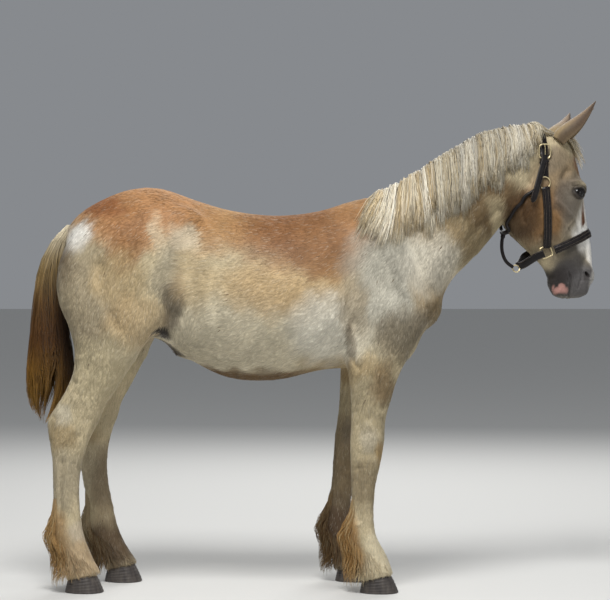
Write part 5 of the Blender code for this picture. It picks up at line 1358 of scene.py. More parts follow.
class NodeTree:
    """The nodes of one material, with a short way to add and join them."""

    def __init__(self, name: str) -> None:
        """Starts a material, whose name says what it is and how it is made."""
        self.material = bpy.data.materials.new(name)
        self.material.use_nodes = True
        self.tree = self.material.node_tree
        self.shader = self.tree.nodes["Principled BSDF"]

    def add(self, kind: str, *sources: object, **values: object) -> bpy.types.Node:
        """Adds a node.

        Args:
            kind: The node's type without "ShaderNode".
            *sources: What its first sockets take, in their order.
            **values: Its properties, and what its other sockets take, by name.

        Returns:
            The node.
        """
        node = self.tree.nodes.new(f"ShaderNode{kind}")
        for number, value in enumerate(sources):
            self.feed(node.inputs[number], value)
        for name, value in values.items():
            if hasattr(node, name):
                setattr(node, name, value)
            else:
                self.feed(node.inputs[name.replace("_", " ")], value)
        return node

    def feed(self, socket: bpy.types.NodeSocket, value: object) -> None:
        """Joins a source to a socket, or sets the socket's value."""
        if isinstance(value, bpy.types.NodeSocket):
            self.tree.links.new(value, socket)
        else:
            socket.default_value = value

    def finish(self, **values: object) -> Material:
        """Sets the shader's sockets by name and gives back the material."""
        for name, value in values.items():
            self.feed(self.shader.inputs[name.replace("_", " ")], value)
        return self.material


@dataclass(frozen=True)
class Hide:
    """The short coat seen close: the painted colours under soft hair lines and light roan hairs.

    Sizes are millimetres along, across and up. Real hairs are too fine to show, so the lines are
    drawn far coarser.
    """

    hair_spacing: Triple = (6.25, 2.381, 8.333)
    fleck_size: float = 5.882
    line_depth: float = 0.0012

    def make(self) -> Material:
        """Makes the material."""
        made = NodeTree("horse hide, short hair")
        place = made.add("TexCoord").outputs["Object"]
        painted = made.add("Attribute", attribute_name="coat").outputs["Color"]
        scale = tuple(per_metre(spacing) for spacing in self.hair_spacing)
        stretched = made.add("Mapping", Vector=place, Scale=scale).outputs["Vector"]
        hairs = made.add("TexNoise", Vector=stretched, Scale=1.0, Detail=4.0).outputs["Fac"]
        scale = per_metre(self.fleck_size)
        flecks = made.add("TexNoise", Vector=place, Scale=scale, Detail=5.0, Roughness=0.7).outputs["Fac"]
        light = made.add("MapRange", flecks, From_Min=0.52, From_Max=0.78, To_Min=1.0, To_Max=1.35)
        tone = made.add("MapRange", hairs, To_Min=0.72, To_Max=1.22)
        both = made.add("Math", tone.outputs["Result"], light.outputs["Result"], operation="MULTIPLY")
        toned = made.add("VectorMath", painted, operation="SCALE", Scale=both.outputs["Value"])
        bump = made.add("Bump", Height=hairs, Strength=0.35, Distance=self.line_depth)
        return made.finish(
            Base_Color=toned.outputs["Vector"], Roughness=0.62, Normal=bump.outputs["Normal"],
            Sheen_Weight=0.25, Sheen_Roughness=0.4, Specular_IOR_Level=0.3,
        )


@dataclass(frozen=True)
class LockHair:
    """Hair in locks: the colours painted on each, with soft lines between its hairs.

    The lines lie 2.4 mm apart, coarser than hairs, so that they show.
    """

    name: str
    line_spacing: float = 2.381

    def make(self) -> Material:
        """Makes the material."""
        made = NodeTree(self.name)
        place = made.add("TexCoord").outputs["Object"]
        painted = made.add("Attribute", attribute_name="coat").outputs["Color"]
        lines = made.add("TexNoise", Vector=place, Scale=per_metre(self.line_spacing), Detail=3.0)
        tone = made.add("MapRange", lines.outputs["Fac"], To_Min=0.8, To_Max=1.18)
        toned = made.add("VectorMath", painted, operation="SCALE", Scale=tone.outputs["Result"])
        return made.finish(
            Base_Color=toned.outputs["Vector"], Roughness=0.52, Sheen_Weight=0.06, Specular_IOR_Level=0.22
        )


@dataclass(frozen=True)
class HoofHorn:
    """Grown hoof horn: dark grey with growth rings and upright streaks, dusty and dull.

    A streak's size is in millimetres across and up, the rings' spacing in metres.
    """

    shades: tuple[tuple[float, str], ...] = ((0.3, "#332E2C"), (0.75, "#57504A"))
    streak_size: Triple = (14.286, 14.286, 71.43)
    ring_spacing: float = 0.01309

    def make(self) -> Material:
        """Makes the material. A wave of scale one repeats every tenth of pi metres."""
        made = NodeTree("hoof horn, grown")
        place = made.add("TexCoord").outputs["Object"]
        scale = math.pi / 10 / self.ring_spacing
        rings = made.add(
            "TexWave", Vector=place, Scale=scale, Distortion=1.2, Detail=2.0, bands_direction="Z"
        )
        scale = tuple(per_metre(size) for size in self.streak_size)
        streaks = made.add("Mapping", Vector=place, Scale=scale).outputs["Vector"]
        streak = made.add("TexNoise", Vector=streaks, Scale=1.0, Detail=4.0).outputs["Fac"]
        ramp = made.add("ValToRGB", Fac=streak)
        for stop, (position, shade) in zip(ramp.color_ramp.elements, self.shades):
            stop.position = position
            stop.color = colour_of(shade)
        bump = made.add("Bump", Height=rings.outputs["Fac"], Strength=0.35, Distance=0.0008)
        return made.finish(Base_Color=ramp.outputs["Color"], Roughness=0.62, Normal=bump.outputs["Normal"])


@dataclass(frozen=True)
class WetEye:
    """A living horse's eye: deep brown under a wet, glassy front."""

    colour: str = "#0C0705"

    def make(self) -> Material:
        """Makes the material."""
        return NodeTree("eye, wet cornea").finish(
            Base_Color=colour_of(self.colour), Roughness=0.16, Specular_IOR_Level=0.3, Coat_Weight=0.18,
            Coat_Roughness=0.04,
        )


@dataclass(frozen=True)
class BareSkin:
    """The bare dark skin at the edge of the lids, slightly moist. It also paints the shade in the strap's
    holes.
    """

    colour: str = "#15100E"

    def make(self) -> Material:
        """Makes the material."""
        made = NodeTree("bare dark skin, moist")
        return made.finish(Base_Color=colour_of(self.colour), Roughness=0.38, Specular_IOR_Level=0.3)


@dataclass(frozen=True)
class BridleLeather:
    """Bridle leather: dyed nearly black-brown and waxed, so that it shines softly on a fine grain.

    Its grain's and worn places' sizes are in millimetres.
    """

    shades: tuple[tuple[float, str], ...] = ((0.35, "#0B0808"), (0.75, "#181112"))
    grain_size: float = 1.111
    wear_size: float = 16.667

    def make(self) -> Material:
        """Makes the material."""
        made = NodeTree("bridle leather, dyed and waxed")
        place = made.add("TexCoord").outputs["Object"]
        grain = made.add("TexVoronoi", Vector=place, Scale=per_metre(self.grain_size)).outputs["Distance"]
        wear = made.add("TexNoise", Vector=place, Scale=per_metre(self.wear_size), Detail=4.0).outputs["Fac"]
        ramp = made.add("ValToRGB", Fac=wear)
        for stop, (position, shade) in zip(ramp.color_ramp.elements, self.shades):
            stop.position = position
            stop.color = colour_of(shade)
        bump = made.add("Bump", Height=grain, Strength=0.25, Distance=0.0003)
        return made.finish(
            Base_Color=ramp.outputs["Color"], Roughness=0.46, Normal=bump.outputs["Normal"],
            Specular_IOR_Level=0.22, Coat_Weight=0.08,
        )


@dataclass(frozen=True)
class LinenThread:
    """Waxed linen thread of the halter's stitching, pale brown and dull."""

    colour: str = "#8E8071"

    def make(self) -> Material:
        """Makes the material."""
        return NodeTree("waxed linen thread").finish(Base_Color=colour_of(self.colour), Roughness=0.6)


@dataclass(frozen=True)
class CastBrass:
    """Cast brass of rings and buckles, polished, with dull places where it is worn.

    The worn places' size is in millimetres.
    """

    colour: str = "#E3D2A6"
    wear_size: float = 4.545

    def make(self) -> Material:
        """Makes the material."""
        made = NodeTree("cast brass, polished")
        place = made.add("TexCoord").outputs["Object"]
        wear = made.add("TexNoise", Vector=place, Scale=per_metre(self.wear_size), Detail=3.0).outputs["Fac"]
        rough = made.add("MapRange", wear, To_Min=0.18, To_Max=0.42).outputs["Result"]
        return made.finish(Base_Color=colour_of(self.colour), Metallic=1.0, Roughness=rough)


@dataclass
class Finishes:
    """The materials that the pieces share."""

    skin: Material = field(default_factory=Hide().make)
    coat: Material = field(default_factory=LockHair("horse hair, short").make)
    hair: Material = field(default_factory=LockHair("horse hair, long").make)
    horn: Material = field(default_factory=HoofHorn().make)
    eye: Material = field(default_factory=WetEye().make)
    rim: Material = field(default_factory=BareSkin().make)
    leather: Material = field(default_factory=BridleLeather().make)
    thread: Material = field(default_factory=LinenThread().make)
    brass: Material = field(default_factory=CastBrass().make)


# Long hair


@dataclass(frozen=True)
class Locks:
    """A set of flat tapered locks, all with the same number of rings.

    Args:
        paths: Places on the straight horse, as (lock, ring, xyz).
        outs: The way each ring's back faces.
        sizes: Each ring's width and its thickness.
        colours: Each ring's linear colour.
    """

    paths: Array
    outs: Array
    sizes: tuple[Array, Array]
    colours: Array


@dataclass(frozen=True)
class LockForm:
    """How wide and thick one kind of lock is.

    Args:
        width: Its full width.
        thickness: Its full thickness.
        thinnest: Its thickness at the tip.
        spread: The least and the greatest share of the width that a lock has.
    """

    width: float
    thickness: float
    thinnest: float
    spread: Pair

    def sizes(self, rings: int, count: int, draw: np.random.Generator) -> tuple[Array, Array]:
        """The widths and thicknesses of a number of locks, which narrow to their tips."""
        along = np.linspace(0, 1, rings)
        wide = np.minimum(1, 0.5 + 0.5 * 4 * along)
        share = (wide * (1 - 0.94 * np.clip((along - 0.45) / 0.55, 0, 1) ** 1.4))[None]
        widths = self.width * share * draw.uniform(*self.spread, count)[:, None]
        return widths, np.maximum(self.thickness * share, self.thinnest) * np.ones((count, 1))


def pick_colours(codes: Sequence[str], count: int, draw: np.random.Generator) -> Array:
    """Picks one of the colours for each of a number of locks, as linear values."""
    palette = np.array([linear(code) for code in codes])
    return palette[draw.integers(0, len(codes), count)]


def shaded(colours: Array, root: float, tip: float | Array, rings: int) -> Array:
    """Colours along locks, from a share of their own colour at the root to another at the tip."""
    # The lower share at the root is painted shade, and a share over one at the tip is painted light
    along = np.linspace(0, 1, rings)[None, :, None]
    low, high = (np.broadcast_to(end, len(colours))[:, None, None] for end in (root, tip))
    return np.clip(colours[:, None, :] * (low * (1 - along) + high * along), 0, 1)


@dataclass(frozen=True)
class Groom:
    """Turns locks into pieces of the model."""

    stance: Stance

    def piece(self, name: str, locks: Locks, finish: Material, slot: str, *nodes: str) -> bpy.types.Object:
        """Makes one piece of a set of locks.

        Args:
            name: The piece's name.
            locks: The locks.
            finish: Its material.
            slot: Not used.
            *nodes: The solids that it stands for.

        Returns:
            The piece.
        """
        count, rings = locks.sizes[0].shape
        points, faces = sweep(locks.paths, locks.outs, *locks.sizes)
        mesh = make_mesh(name, self.stance.place(points), faces)
        paint(mesh, np.repeat(locks.colours.reshape(-1, 3), 3, axis=0))
        map_locks(mesh, locks.paths[:, 0], count, rings)
        made = piece_of(name, mesh, finish)
        if nodes:
            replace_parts(made, *nodes)
        return made


@dataclass(frozen=True)
class ManeSheet:
    """The right of the neck as a map: places under the crest by a length of fall from it.

    Args:
        places: The measured places, by column along the neck and row down it.
        aways: The outward ways there.
        start: Where the first column is along the body.
        end: Where the last one is.
        top: The fall of the first row, which lies past the crest on the left.
        reach: The fall of the last row.
    """

    places: Array
    aways: Array
    start: float = 0.13
    end: float = 0.975
    top: float = -0.045
    reach: float = 0.38

    @classmethod
    def of(cls, tree: BVHTree) -> ManeSheet:
        """Measures the sheet on the skin of the straight horse by rays from outside.

        Args:
            tree: The skin of the straight horse.

        Returns:
            The sheet.
        """
        curl = 0.105
        columns, rows = 90, 48
        places = np.zeros((columns, rows, 3))
        aways = np.zeros((columns, rows, 3))
        for column, x in enumerate(np.linspace(cls.start, cls.end, columns)):
            crest, _ = cast(tree, (x, 0, 2.4), (x, 0, 1.0))
            for row, fall in enumerate(np.linspace(cls.top, cls.reach, rows)):
                turn = min(1.0, fall / curl) * math.pi / 2
                middle = np.array((x, 0, crest[2] - 0.75 * curl - max(0.0, fall - curl)))
                away = np.array((0, -math.sin(turn), math.cos(turn)))
                place, normal = cast(tree, middle + away * 0.6, middle)
                places[column, row] = place
                aways[column, row] = unit(normal * 0.6 + away * 0.4)
        return cls(places, aways)

    def read(self, x: Array, fall: Array) -> tuple[Array, Array]:
        """Places and outward ways at points of the sheet, between its measured ones.

        Args:
            x: Where the root would be along the body.
            fall: The length of fall from the crest.

        Returns:
            Places and ways.
        """
        columns, rows = self.places.shape[:2]
        u = np.clip((x - self.start) / (self.end - self.start), 0, 1) * (columns - 1.001)
        v = np.clip((fall - self.top) / (self.reach - self.top), 0, 1) * (rows - 1.001)
        i, j = u.astype(int), v.astype(int)
        s, t = (u - i)[..., None], (v - j)[..., None]
        picked = []
        for table in (self.places, self.aways):
            low = table[i, j] * (1 - s) + table[i + 1, j] * s
            high = table[i, j + 1] * (1 - s) + table[i + 1, j + 1] * s
            picked.append(low * (1 - t) + high * t)
        return picked[0], unit(picked[1])


@dataclass(frozen=True)
class ManeLayer:
    """A layer of mane: how wide its locks are, how high they lie and how much shorter they are."""

    width: float
    lift: float
    short: float
    clumps: int
    root_shade: float


MANE_COLOURS = ("#D2C9B4", "#DED8C9", "#C6BA9F", "#A8946F", "#D0C7B1", "#BCAB8A")


@dataclass(frozen=True)
class Mane:
    """The mane on the right of the neck, in layers of locks that come together in points.

    The mane's length, and its painted light and shade, go by where its roots are along the body.
    """

    sheet: ManeSheet
    first_root: float = 0.264
    span: float = 0.604
    count: int = 2000
    rings: int = 9
    layers: tuple[ManeLayer, ...] = (
        ManeLayer(0.0048, 0.007, 0.0, 30, 0.62),
        ManeLayer(0.0044, 0.014, 0.05, 33, 0.74),
        ManeLayer(0.004, 0.021, 0.16, 38, 0.86),
    )
    falls: tuple[Pair, ...] = (
        (0.264, 0.15), (0.325, 0.228), (0.386, 0.262), (0.451, 0.276), (0.567, 0.288),
        (0.62, 0.278), (0.67, 0.258), (0.734, 0.215), (0.798, 0.185), (0.863, 0.08),
    )
    tones: tuple[Pair, ...] = (
        (0.3, 1.18), (0.4, 1.1), (0.55, 0.77), (0.72, 0.8), (0.8, 0.85),
    )

    def add(self, groom: Groom, finishes: Finishes) -> None:
        """Adds one piece for each layer."""
        for number, layer in enumerate(self.layers):
            groom.piece(f"mane_{number}", self.locks(number, layer), finishes.hair, "hair")

    def locks(self, number: int, layer: ManeLayer) -> Locks:
        """One layer's locks.

        Args:
            number: The layer's number, which picks its random draws.
            layer: The layer.

        Returns:
            The locks.
        """
        draw = np.random.default_rng(20 + number)
        along = np.linspace(0, 1, self.rings)
        count, clumps = self.count, layer.clumps
        x = self.first_root + self.span * (np.arange(count) + draw.uniform(0, 1, count)) / count
        clump_at = self.first_root + self.span * (np.arange(clumps) + draw.uniform(0.2, 0.8, clumps)) / clumps
        clump = np.abs(x[:, None] - clump_at[None] - draw.normal(0, 0.006, count)[:, None]).argmin(axis=1)
        clump_reach = draw.uniform(0.82, 1.1, clumps)
        clump_sway = draw.normal(-0.006, 0.012, clumps)
        reach = np.interp(clump_at[clump], *zip(*self.falls)) * (1 - layer.short) * clump_reach[clump]
        reach = reach * draw.uniform(0.8, 1.03, count)
        # Each lock leans to its clump's tip, curls a little with it and strays a little alone
        loose = draw.uniform(0.3, 0.92, count)
        gather = smooth_step(0.1, 1.0, along)[None] * loose[:, None]
        target = clump_at[clump] + clump_sway[clump] + draw.normal(0, 0.004, count)
        sweep_back = -0.074 * (1 - smooth_step(0.26, 0.44, x)) * draw.uniform(0.65, 1.25, count)
        path_x = x[:, None] + (target - x)[:, None] * gather + sweep_back[:, None] * along[None] ** 1.3
        phase = draw.uniform(0, 2 * np.pi, clumps)[clump]
        curl = np.interp(x, (0.3, 0.86), (0.003, 0.0065))
        path_x = path_x + curl[:, None] * np.sin(along[None] * 7 + phase[:, None]) * along[None]
        path_x = path_x + draw.normal(0, 0.0075, count)[:, None] * along[None] ** 1.5
        path_x = path_x + 0.0016 * np.sin(along[None] * 13 + draw.uniform(0, 6.3, count)[:, None])
        root_fall = -0.02 + draw.uniform(-0.012, 0.01, count)[:, None]
        places, aways = self.sheet.read(path_x, root_fall + (reach[:, None] + 0.02) * along[None])
        # The clumps' middles stand highest, and the locks in front ride over the crown strap
        near_root = np.minimum(1, along * 5)[None]
        middle = np.clip(np.abs(x - clump_at[clump]) / 0.014, 0, 1)
        puff = layer.lift * (1.15 - 0.55 * middle) + draw.uniform(-0.003, 0.006, count)
        over_strap = 0.01 * smooth_step(0.835, 0.865, path_x)
        rise = near_root * (1 - 0.22 * along[None])
        lift = -0.003 + (puff[:, None] + 0.004) * rise + over_strap * near_root
        sizes = LockForm(layer.width, 0.0022, 0.0006, (0.7, 1.25)).sizes(self.rings, count, draw)
        base = pick_colours(MANE_COLOURS, clumps, draw)[clump] * 0.55
        base = base + pick_colours(MANE_COLOURS, count, draw) * 0.45
        # Painted light and shade: clumps' middles lighter and gaps darker, withers lighter and mid neck
        # darker, then a random tone
        tone = (0.82 + 0.26 * (1 - middle)) * np.interp(x, *zip(*self.tones))
        tone = tone * draw.uniform(0.82, 1.16, count)
        colours = shaded(base * tone[:, None], layer.root_shade, 1.14, self.rings)
        return Locks(places + aways * lift[..., None], aways, sizes, colours)


def turned_by(turn: Array) -> Array:
    """Turns as angles from minus to plus half a circle."""
    return np.angle(np.exp(1j * turn))


@dataclass(frozen=True)
class Tail:
    """The tail: locks from all over the dock that gather in clumps down to their own tips.

    Its levels are height, front edge, rear edge and half width, and its shades go by height.
    """

    levels: tuple[tuple[float, float, float, float], ...] = (
        (1.395, -0.89, -0.955, 0.026),
        (1.35, -0.915, -1.01, 0.04),
        (1.27, -0.945, -1.046, 0.05),
        (1.17, -0.95, -1.066, 0.06),
        (1.05, -0.945, -1.076, 0.068),
        (0.93, -0.925, -1.086, 0.074),
        (0.84, -0.915, -1.094, 0.072),
        (0.755, -0.925, -1.094, 0.062),
        (0.69, -0.965, -1.084, 0.046),
        (0.64, -1.015, -1.05, 0.016),
    )
    shades: tuple[tuple[float, str], ...] = (
        (0.62, "#AE8540"), (0.8, "#835E22"), (0.95, "#513211"),
        (1.1, "#5A3F1E"), (1.25, "#8C764C"), (1.38, "#CFC4AA"),
    )
    shares: int = 2
    count: int = 1500
    rings: int = 11
    clumps: int = 34
    form: LockForm = LockForm(0.005, 0.0022, 0.0006, (0.6, 1.3))

    def add(self, groom: Groom, finishes: Finishes) -> None:
        """Adds the tail's pieces, the first of which stands for its solid."""
        for number in range(self.shares):
            nodes = () if number else ("tail",)
            groom.piece(f"tail_{number}", self.locks(30 + number), finishes.hair, "hair", *nodes)

    def at(self, z: Array) -> list[Array]:
        """The tail's front and rear edges and half width at each height."""
        levels = np.array(self.levels)[::-1]
        return [np.interp(z, levels[:, 0], levels[:, column]) for column in (1, 2, 3)]

    def locks(self, seed: int) -> Locks:
        """One piece's locks, drawn from a seed.

        Args:
            seed: Picks its random draws.

        Returns:
            The locks.
        """
        draw = np.random.default_rng(seed)
        count, clumps = self.count, self.clumps
        along = np.linspace(0, 1, self.rings)
        clump_turn = draw.uniform(0, 2 * np.pi, clumps)
        clump_tip = 0.632 + 0.13 * draw.uniform(0, 1, clumps) ** 1.5
        turn = draw.uniform(0, 2 * np.pi, count)
        clump = np.abs(turned_by(turn[:, None] - clump_turn[None])).argmin(axis=1)
        root = 1.395 - 0.42 * draw.uniform(0, 1, count) ** 1.4
        tip = clump_tip[clump] + draw.uniform(-0.01, 0.09, count) + 0.1 * draw.uniform(0, 1, count) ** 3
        z = root[:, None] + (tip - root)[:, None] * along[None]
        front, rear, half = self.at(z)
        depth = np.sqrt(draw.uniform(0.3, 1.0, count))
        depth = np.where(root > 1.3, np.maximum(depth, 0.85), depth)
        spread = depth[:, None] * (0.55 + 0.45 * smooth_step(0.0, 0.35, along))[None]
        gather = smooth_step(0.3, 1.0, along)[None] * 0.72
        drift = turned_by(clump_turn[clump] - turn)
        angle = turn[:, None] + drift[:, None] * gather + 0.1 * np.sin(along[None] * 9 + turn[:, None] * 3)
        way = np.stack([np.cos(angle), np.sin(angle), np.zeros_like(angle)], axis=-1)
        x = (front + rear) / 2 + way[..., 0] * (front - rear) / 2 * spread
        y = way[..., 1] * half * spread
        sway = 0.006 * np.sin(z * 11 + draw.uniform(0, 6.3, clumps)[clump][:, None]) * along[None]
        paths = np.stack([x + sway, y + sway * 0.7, np.maximum(z, 0.6)], axis=-1)
        sizes = self.form.sizes(self.rings, count, draw)
        return Locks(paths, way, sizes, self.colours(paths, way, draw))

    def colours(self, paths: Array, ways: Array, draw: np.random.Generator) -> Array:
        """Its colours: cream at the top, brown below, gold at the ends and dark in front.

        Args:
            paths: The locks' places.
            ways: Which way each place faces from the tail's middle.
            draw: Gives each lock its own tone.

        Returns:
            Each place's linear colour.
        """
        z = paths[..., 2]
        heights = [height for height, _ in self.shades]
        table = np.array([linear(code) for _, code in self.shades])
        colours = np.stack([np.interp(z, heights, table[:, n]) for n in range(3)], axis=-1)
        dark = smooth_step(0.15, 0.95, ways[..., 0]) * smooth_step(1.28, 1.12, z) * smooth_step(0.66, 0.84, z)
        colours += (linear("#2A1C12") - colours) * (0.9 * dark)[..., None]
        tone = draw.uniform(0.62, 1.35, len(paths))[:, None, None]
        return np.clip(colours * tone, 0.003, 1)


@dataclass(frozen=True)
class Feather:
    """The feather of one leg: hair from behind the cannon and fetlock, and over the coronet.

    Mud is the share of the hair's own colour that shows through it.
    """

    word: str
    stations: tuple[Station, ...]
    lead: Sequence[Pair]
    y: float
    seed: int
    mud: float = 1.0
    count: int = 1500
    rings: int = 7
    clumps: int = 34
    form: LockForm = LockForm(0.003, 0.0015, 0.0005, (0.6, 1.3))
    colours: tuple[str, ...] = ("#93682F", "#BD9557", "#A47A3C", "#CDB587")

    def at(self, z: Array) -> list[Array]:
        """The leg's front, rear and half width at each height, between its stations."""
        rows = np.array([(s.first[1], s.first[0], s.second[0], s.half) for s in self.stations[::-1]])
        return [np.interp(z, rows[:, 0], rows[:, column]) for column in (1, 2, 3)]

    def locks(self) -> Locks:
        """The feather's locks."""
        draw = np.random.default_rng(self.seed)
        count = self.count
        along = np.linspace(0, 1, self.rings)
        root = 0.365 - 0.285 * draw.uniform(0, 1, count) ** 0.8
        widest = np.radians(44 + 96 * smooth_step(0.22, 0.1, root))
        turn = widest * draw.uniform(-1, 1, count)
        clump_turn = draw.uniform(-1, 1, self.clumps) * np.pi * 0.9
        clump = np.abs(turn[:, None] - clump_turn[None]).argmin(axis=1)
        behind = np.clip(np.cos(turn), 0, 1)
        drop = np.where(root > 0.12, 0.095, 0.06) * draw.uniform(0.6, 1.15, count)
        drop = drop * (0.34 + 0.66 * behind**0.8)
        stand = 0.003 + 0.036 * behind**1.8 * (1 - smooth_step(0.24, 0.37, root))
        stand = stand * draw.uniform(0.35, 1.15, count)
        ground = 0.01 + 0.012 * draw.uniform(0, 1, count)[:, None]
        z = np.maximum(root[:, None] - drop[:, None] * along[None], ground)
        front, rear, half = self.at(z)
        drift = (clump_turn[clump] - turn) * 0.45
        angle = turn[:, None] + drift[:, None] * smooth_step(0.2, 1.0, along)[None]
        way = np.stack([-np.cos(angle), np.sin(angle), np.zeros_like(angle)], axis=-1)
        off = -0.004 + (stand[:, None] + 0.004) * np.minimum(1, along * 1.6)[None] ** 0.8
        flare = 0.014 * (1 - smooth_step(0.06, 0.15, z)) * along[None]
        flare = flare * (0.1 + 0.9 * np.clip(-way[..., 0], 0, 1))
        x = (front + rear) / 2 + way[..., 0] * ((front - rear) / 2 + off + flare)
        if self.lead:
            x = x + lead_at(self.lead, z)
        paths = np.stack([x, self.y + way[..., 1] * (half + (off + flare) * 0.75), z], axis=-1)
        sizes = self.form.sizes(self.rings, count, draw)
        blend = (0.1 + 0.4 * behind)[:, None]
        base = coat_colour(paths[:, 2]) * (1 - blend)
        base = base + pick_colours(self.colours, count, draw) * blend * self.mud
        return Locks(paths, way, sizes, shaded(base, 0.8, draw.uniform(0.85, 1.25, count), self.rings))


FEATHERS = (
    Feather("hind_right", HIND_LEG, (), -0.15, 50),
    Feather("hind_left", HIND_LEG, LEFT_HIND_LEAD, 0.15, 51, 0.45),
    Feather("fore_right", FORE_LEG, (), -0.16, 52),
    Feather("fore_left", FORE_LEG, LEFT_FORE_LEAD, 0.16, 53, 0.45),
)


@dataclass(frozen=True)
class Forelock:
    """Thin wisps from between the ears that stand off the forehead."""

    root: Pair = (0.966, 1.757)
    fall: Pair = (0.058, -0.14)
    count: int = 300
    rings: int = 9
    form: LockForm = LockForm(0.003, 0.0013, 0.0004, (0.5, 1.2))

    def locks(self, tree: BVHTree) -> Locks:
        """Its locks, laid over the skin by rays.

        Args:
            tree: The skin of the straight horse.

        Returns:
            The locks.
        """
        draw = np.random.default_rng(41)
        out = unit(np.array((0.75, 0, 0.66)))
        paths = np.zeros((self.count, self.rings, 3))
        for n in range(self.count):
            across = draw.normal(0, 0.008)
            reach = draw.uniform(0.35, 1.2)
            stand = draw.uniform(0.006, 0.02) + 0.034 * draw.uniform() ** 1.5
            for ring, share in enumerate(np.linspace(0, 1, self.rings)):
                x, z = (start + fall * share * reach for start, fall in zip(self.root, self.fall))
                aim = np.array((x, across * (1 + 1.6 * share) + 0.004 * math.sin(share * 6 + n), z))
                place, _ = cast(tree, aim + out * 0.2, aim - out * 0.1)
                paths[n, ring] = place + out * (stand * share**0.7 + 0.002 if share else -0.003)
        sizes = self.form.sizes(self.rings, self.count, draw)
        # Painted lighter than the mane's colours, as painted light on wisps that the head shades
        base = pick_colours(MANE_COLOURS, self.count, draw) * 1.4
        return Locks(paths, np.broadcast_to(out, paths.shape), sizes, shaded(base, 0.75, 1.0, self.rings))


@dataclass(frozen=True)
class PollTuft:
    """The tuft between the ears, brushed back over the crown strap and standing up in points."""

    roots: Pair = (0.892, 0.968)
    count: int = 520
    rings: int = 7
    form: LockForm = LockForm(0.0032, 0.0014, 0.0004, (0.5, 1.2))

    def locks(self, tree: BVHTree) -> Locks:
        """Its locks, laid over the skin by rays from above.

        Args:
            tree: The skin of the straight horse.

        Returns:
            The locks.
        """
        draw = np.random.default_rng(43)
        paths = np.zeros((self.count, self.rings, 3))
        outs = np.zeros_like(paths)
        for n in range(self.count):
            start = draw.uniform(*self.roots)
            across = draw.normal(0, 0.014)
            reach = draw.uniform(0.03, 0.075)
            stand = draw.uniform(0.008, 0.016) + 0.016 * draw.uniform() ** 2
            out = unit(np.array((-0.25, across * 6, 1.0)))
            for ring, share in enumerate(np.linspace(0, 1, self.rings)):
                x = start - reach * share
                aim = np.array((x, across * (1 + 0.4 * share), 1.7))
                place, _ = cast(tree, aim + np.array((0, 0, 0.3)), aim)
                over_strap = 0.01 * math.exp(-(((x - 0.884) / 0.03) ** 2))
                paths[n, ring] = place + out * (stand * share**0.6 + over_strap if share else -0.003)
                outs[n, ring] = out
        sizes = self.form.sizes(self.rings, self.count, draw)
        base = pick_colours(MANE_COLOURS, self.count, draw)
        return Locks(paths, outs, sizes, shaded(base, 0.7, 1.05, self.rings))


# Hoofs, eyes and ears


@dataclass(frozen=True)
class Hoof:
    """One hoof, a wall with growth rings on a flat sole.

    Its levels are share of the height, toe, heel and half width.
    """

    node: str
    x: float
    y: float
    levels: tuple[tuple[float, float, float, float], ...] = (
        (0.0, 0.075, -0.067, 0.065),
        (0.06, 0.077, -0.069, 0.067),
        (0.55, 0.062, -0.064, 0.062),
        (0.92, 0.049, -0.059, 0.057),
        (1.0, 0.043, -0.056, 0.053),
    )
    steps: int = 34
    growth: float = 0.0007

    def shape(self) -> Shape:
        """Its wall, whose top slopes back and whose heel is narrower than its toe."""
        rows = np.array(self.levels)
        rings = []
        for step in range(self.steps + 1):
            share = step / self.steps
            toe, heel, half = (float(np.interp(share, rows[:, 0], rows[:, n])) for n in (1, 2, 3))
            grown = self.growth * math.sin(share * 34) * min(1.0, step / 3)
            row = np.array((self.x + toe + grown, 0, self.x + heel - grown, 0, self.y, half + grown, 2.3, 0))
            ring = ring_of(row, 56)
            along = (ring[:, 0] - self.x - heel) / (toe - heel)
            top = 0.048 + 0.026 * (ring[:, 0] - self.x + 0.066) / 0.132 - 0.0003
            ring[:, 2] = top * share
            ring[:, 1] = self.y + (ring[:, 1] - self.y) * (0.86 + 0.14 * np.minimum(1, along * 1.6))
            rings.append(ring)
        return loft(rings)

    def add(self, stance: Stance, finishes: Finishes) -> None:
        """Adds the hoof in place of its solid."""
        points, triangles = self.shape()
        mesh = make_mesh(self.node, stance.place(points), triangles)
        made = piece_of(f"{self.node}_wall", mesh, finishes.horn)
        mesh.set_sharp_from_angle(angle=SHARP_ANGLE)
        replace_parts(made, self.node)


HOOFS = (
    Hoof("hind_hoof_right", HIND_HOOF_X, -0.15),
    Hoof("hind_hoof_left", -0.7414, 0.15),
    Hoof("fore_hoof_right", FORE_HOOF_X, -0.16),
    Hoof("fore_hoof_left", 0.1628, 0.16),
)


def tube(line: Array, radius: float, closed: bool = False, sides: int = 8) -> Shape:
    """A round tube along a line of places.

    Args:
        line: The places.
        radius: The tube's radius.
        closed: Whether the tube's end joins its start.
        sides: How many sides the tube has.

    Returns:
        The shape.
    """
    if closed:
        ways = unit(np.roll(line, -1, axis=0) - np.roll(line, 1, axis=0))
    else:
        ways = unit(np.gradient(line, axis=0))
    out = np.cross(ways[0], (0.3, 0.5, 0.81))
    turns = 2 * np.pi * np.arange(sides) / sides
    rings = []
    for place, way in zip(line, ways):
        out = unit(out - way * (out @ way))
        across = np.cross(way, out)
        ring = np.cos(turns)[:, None] * out + np.sin(turns)[:, None] * across
        rings.append(place + ring * radius)
    return loft(rings, closed)


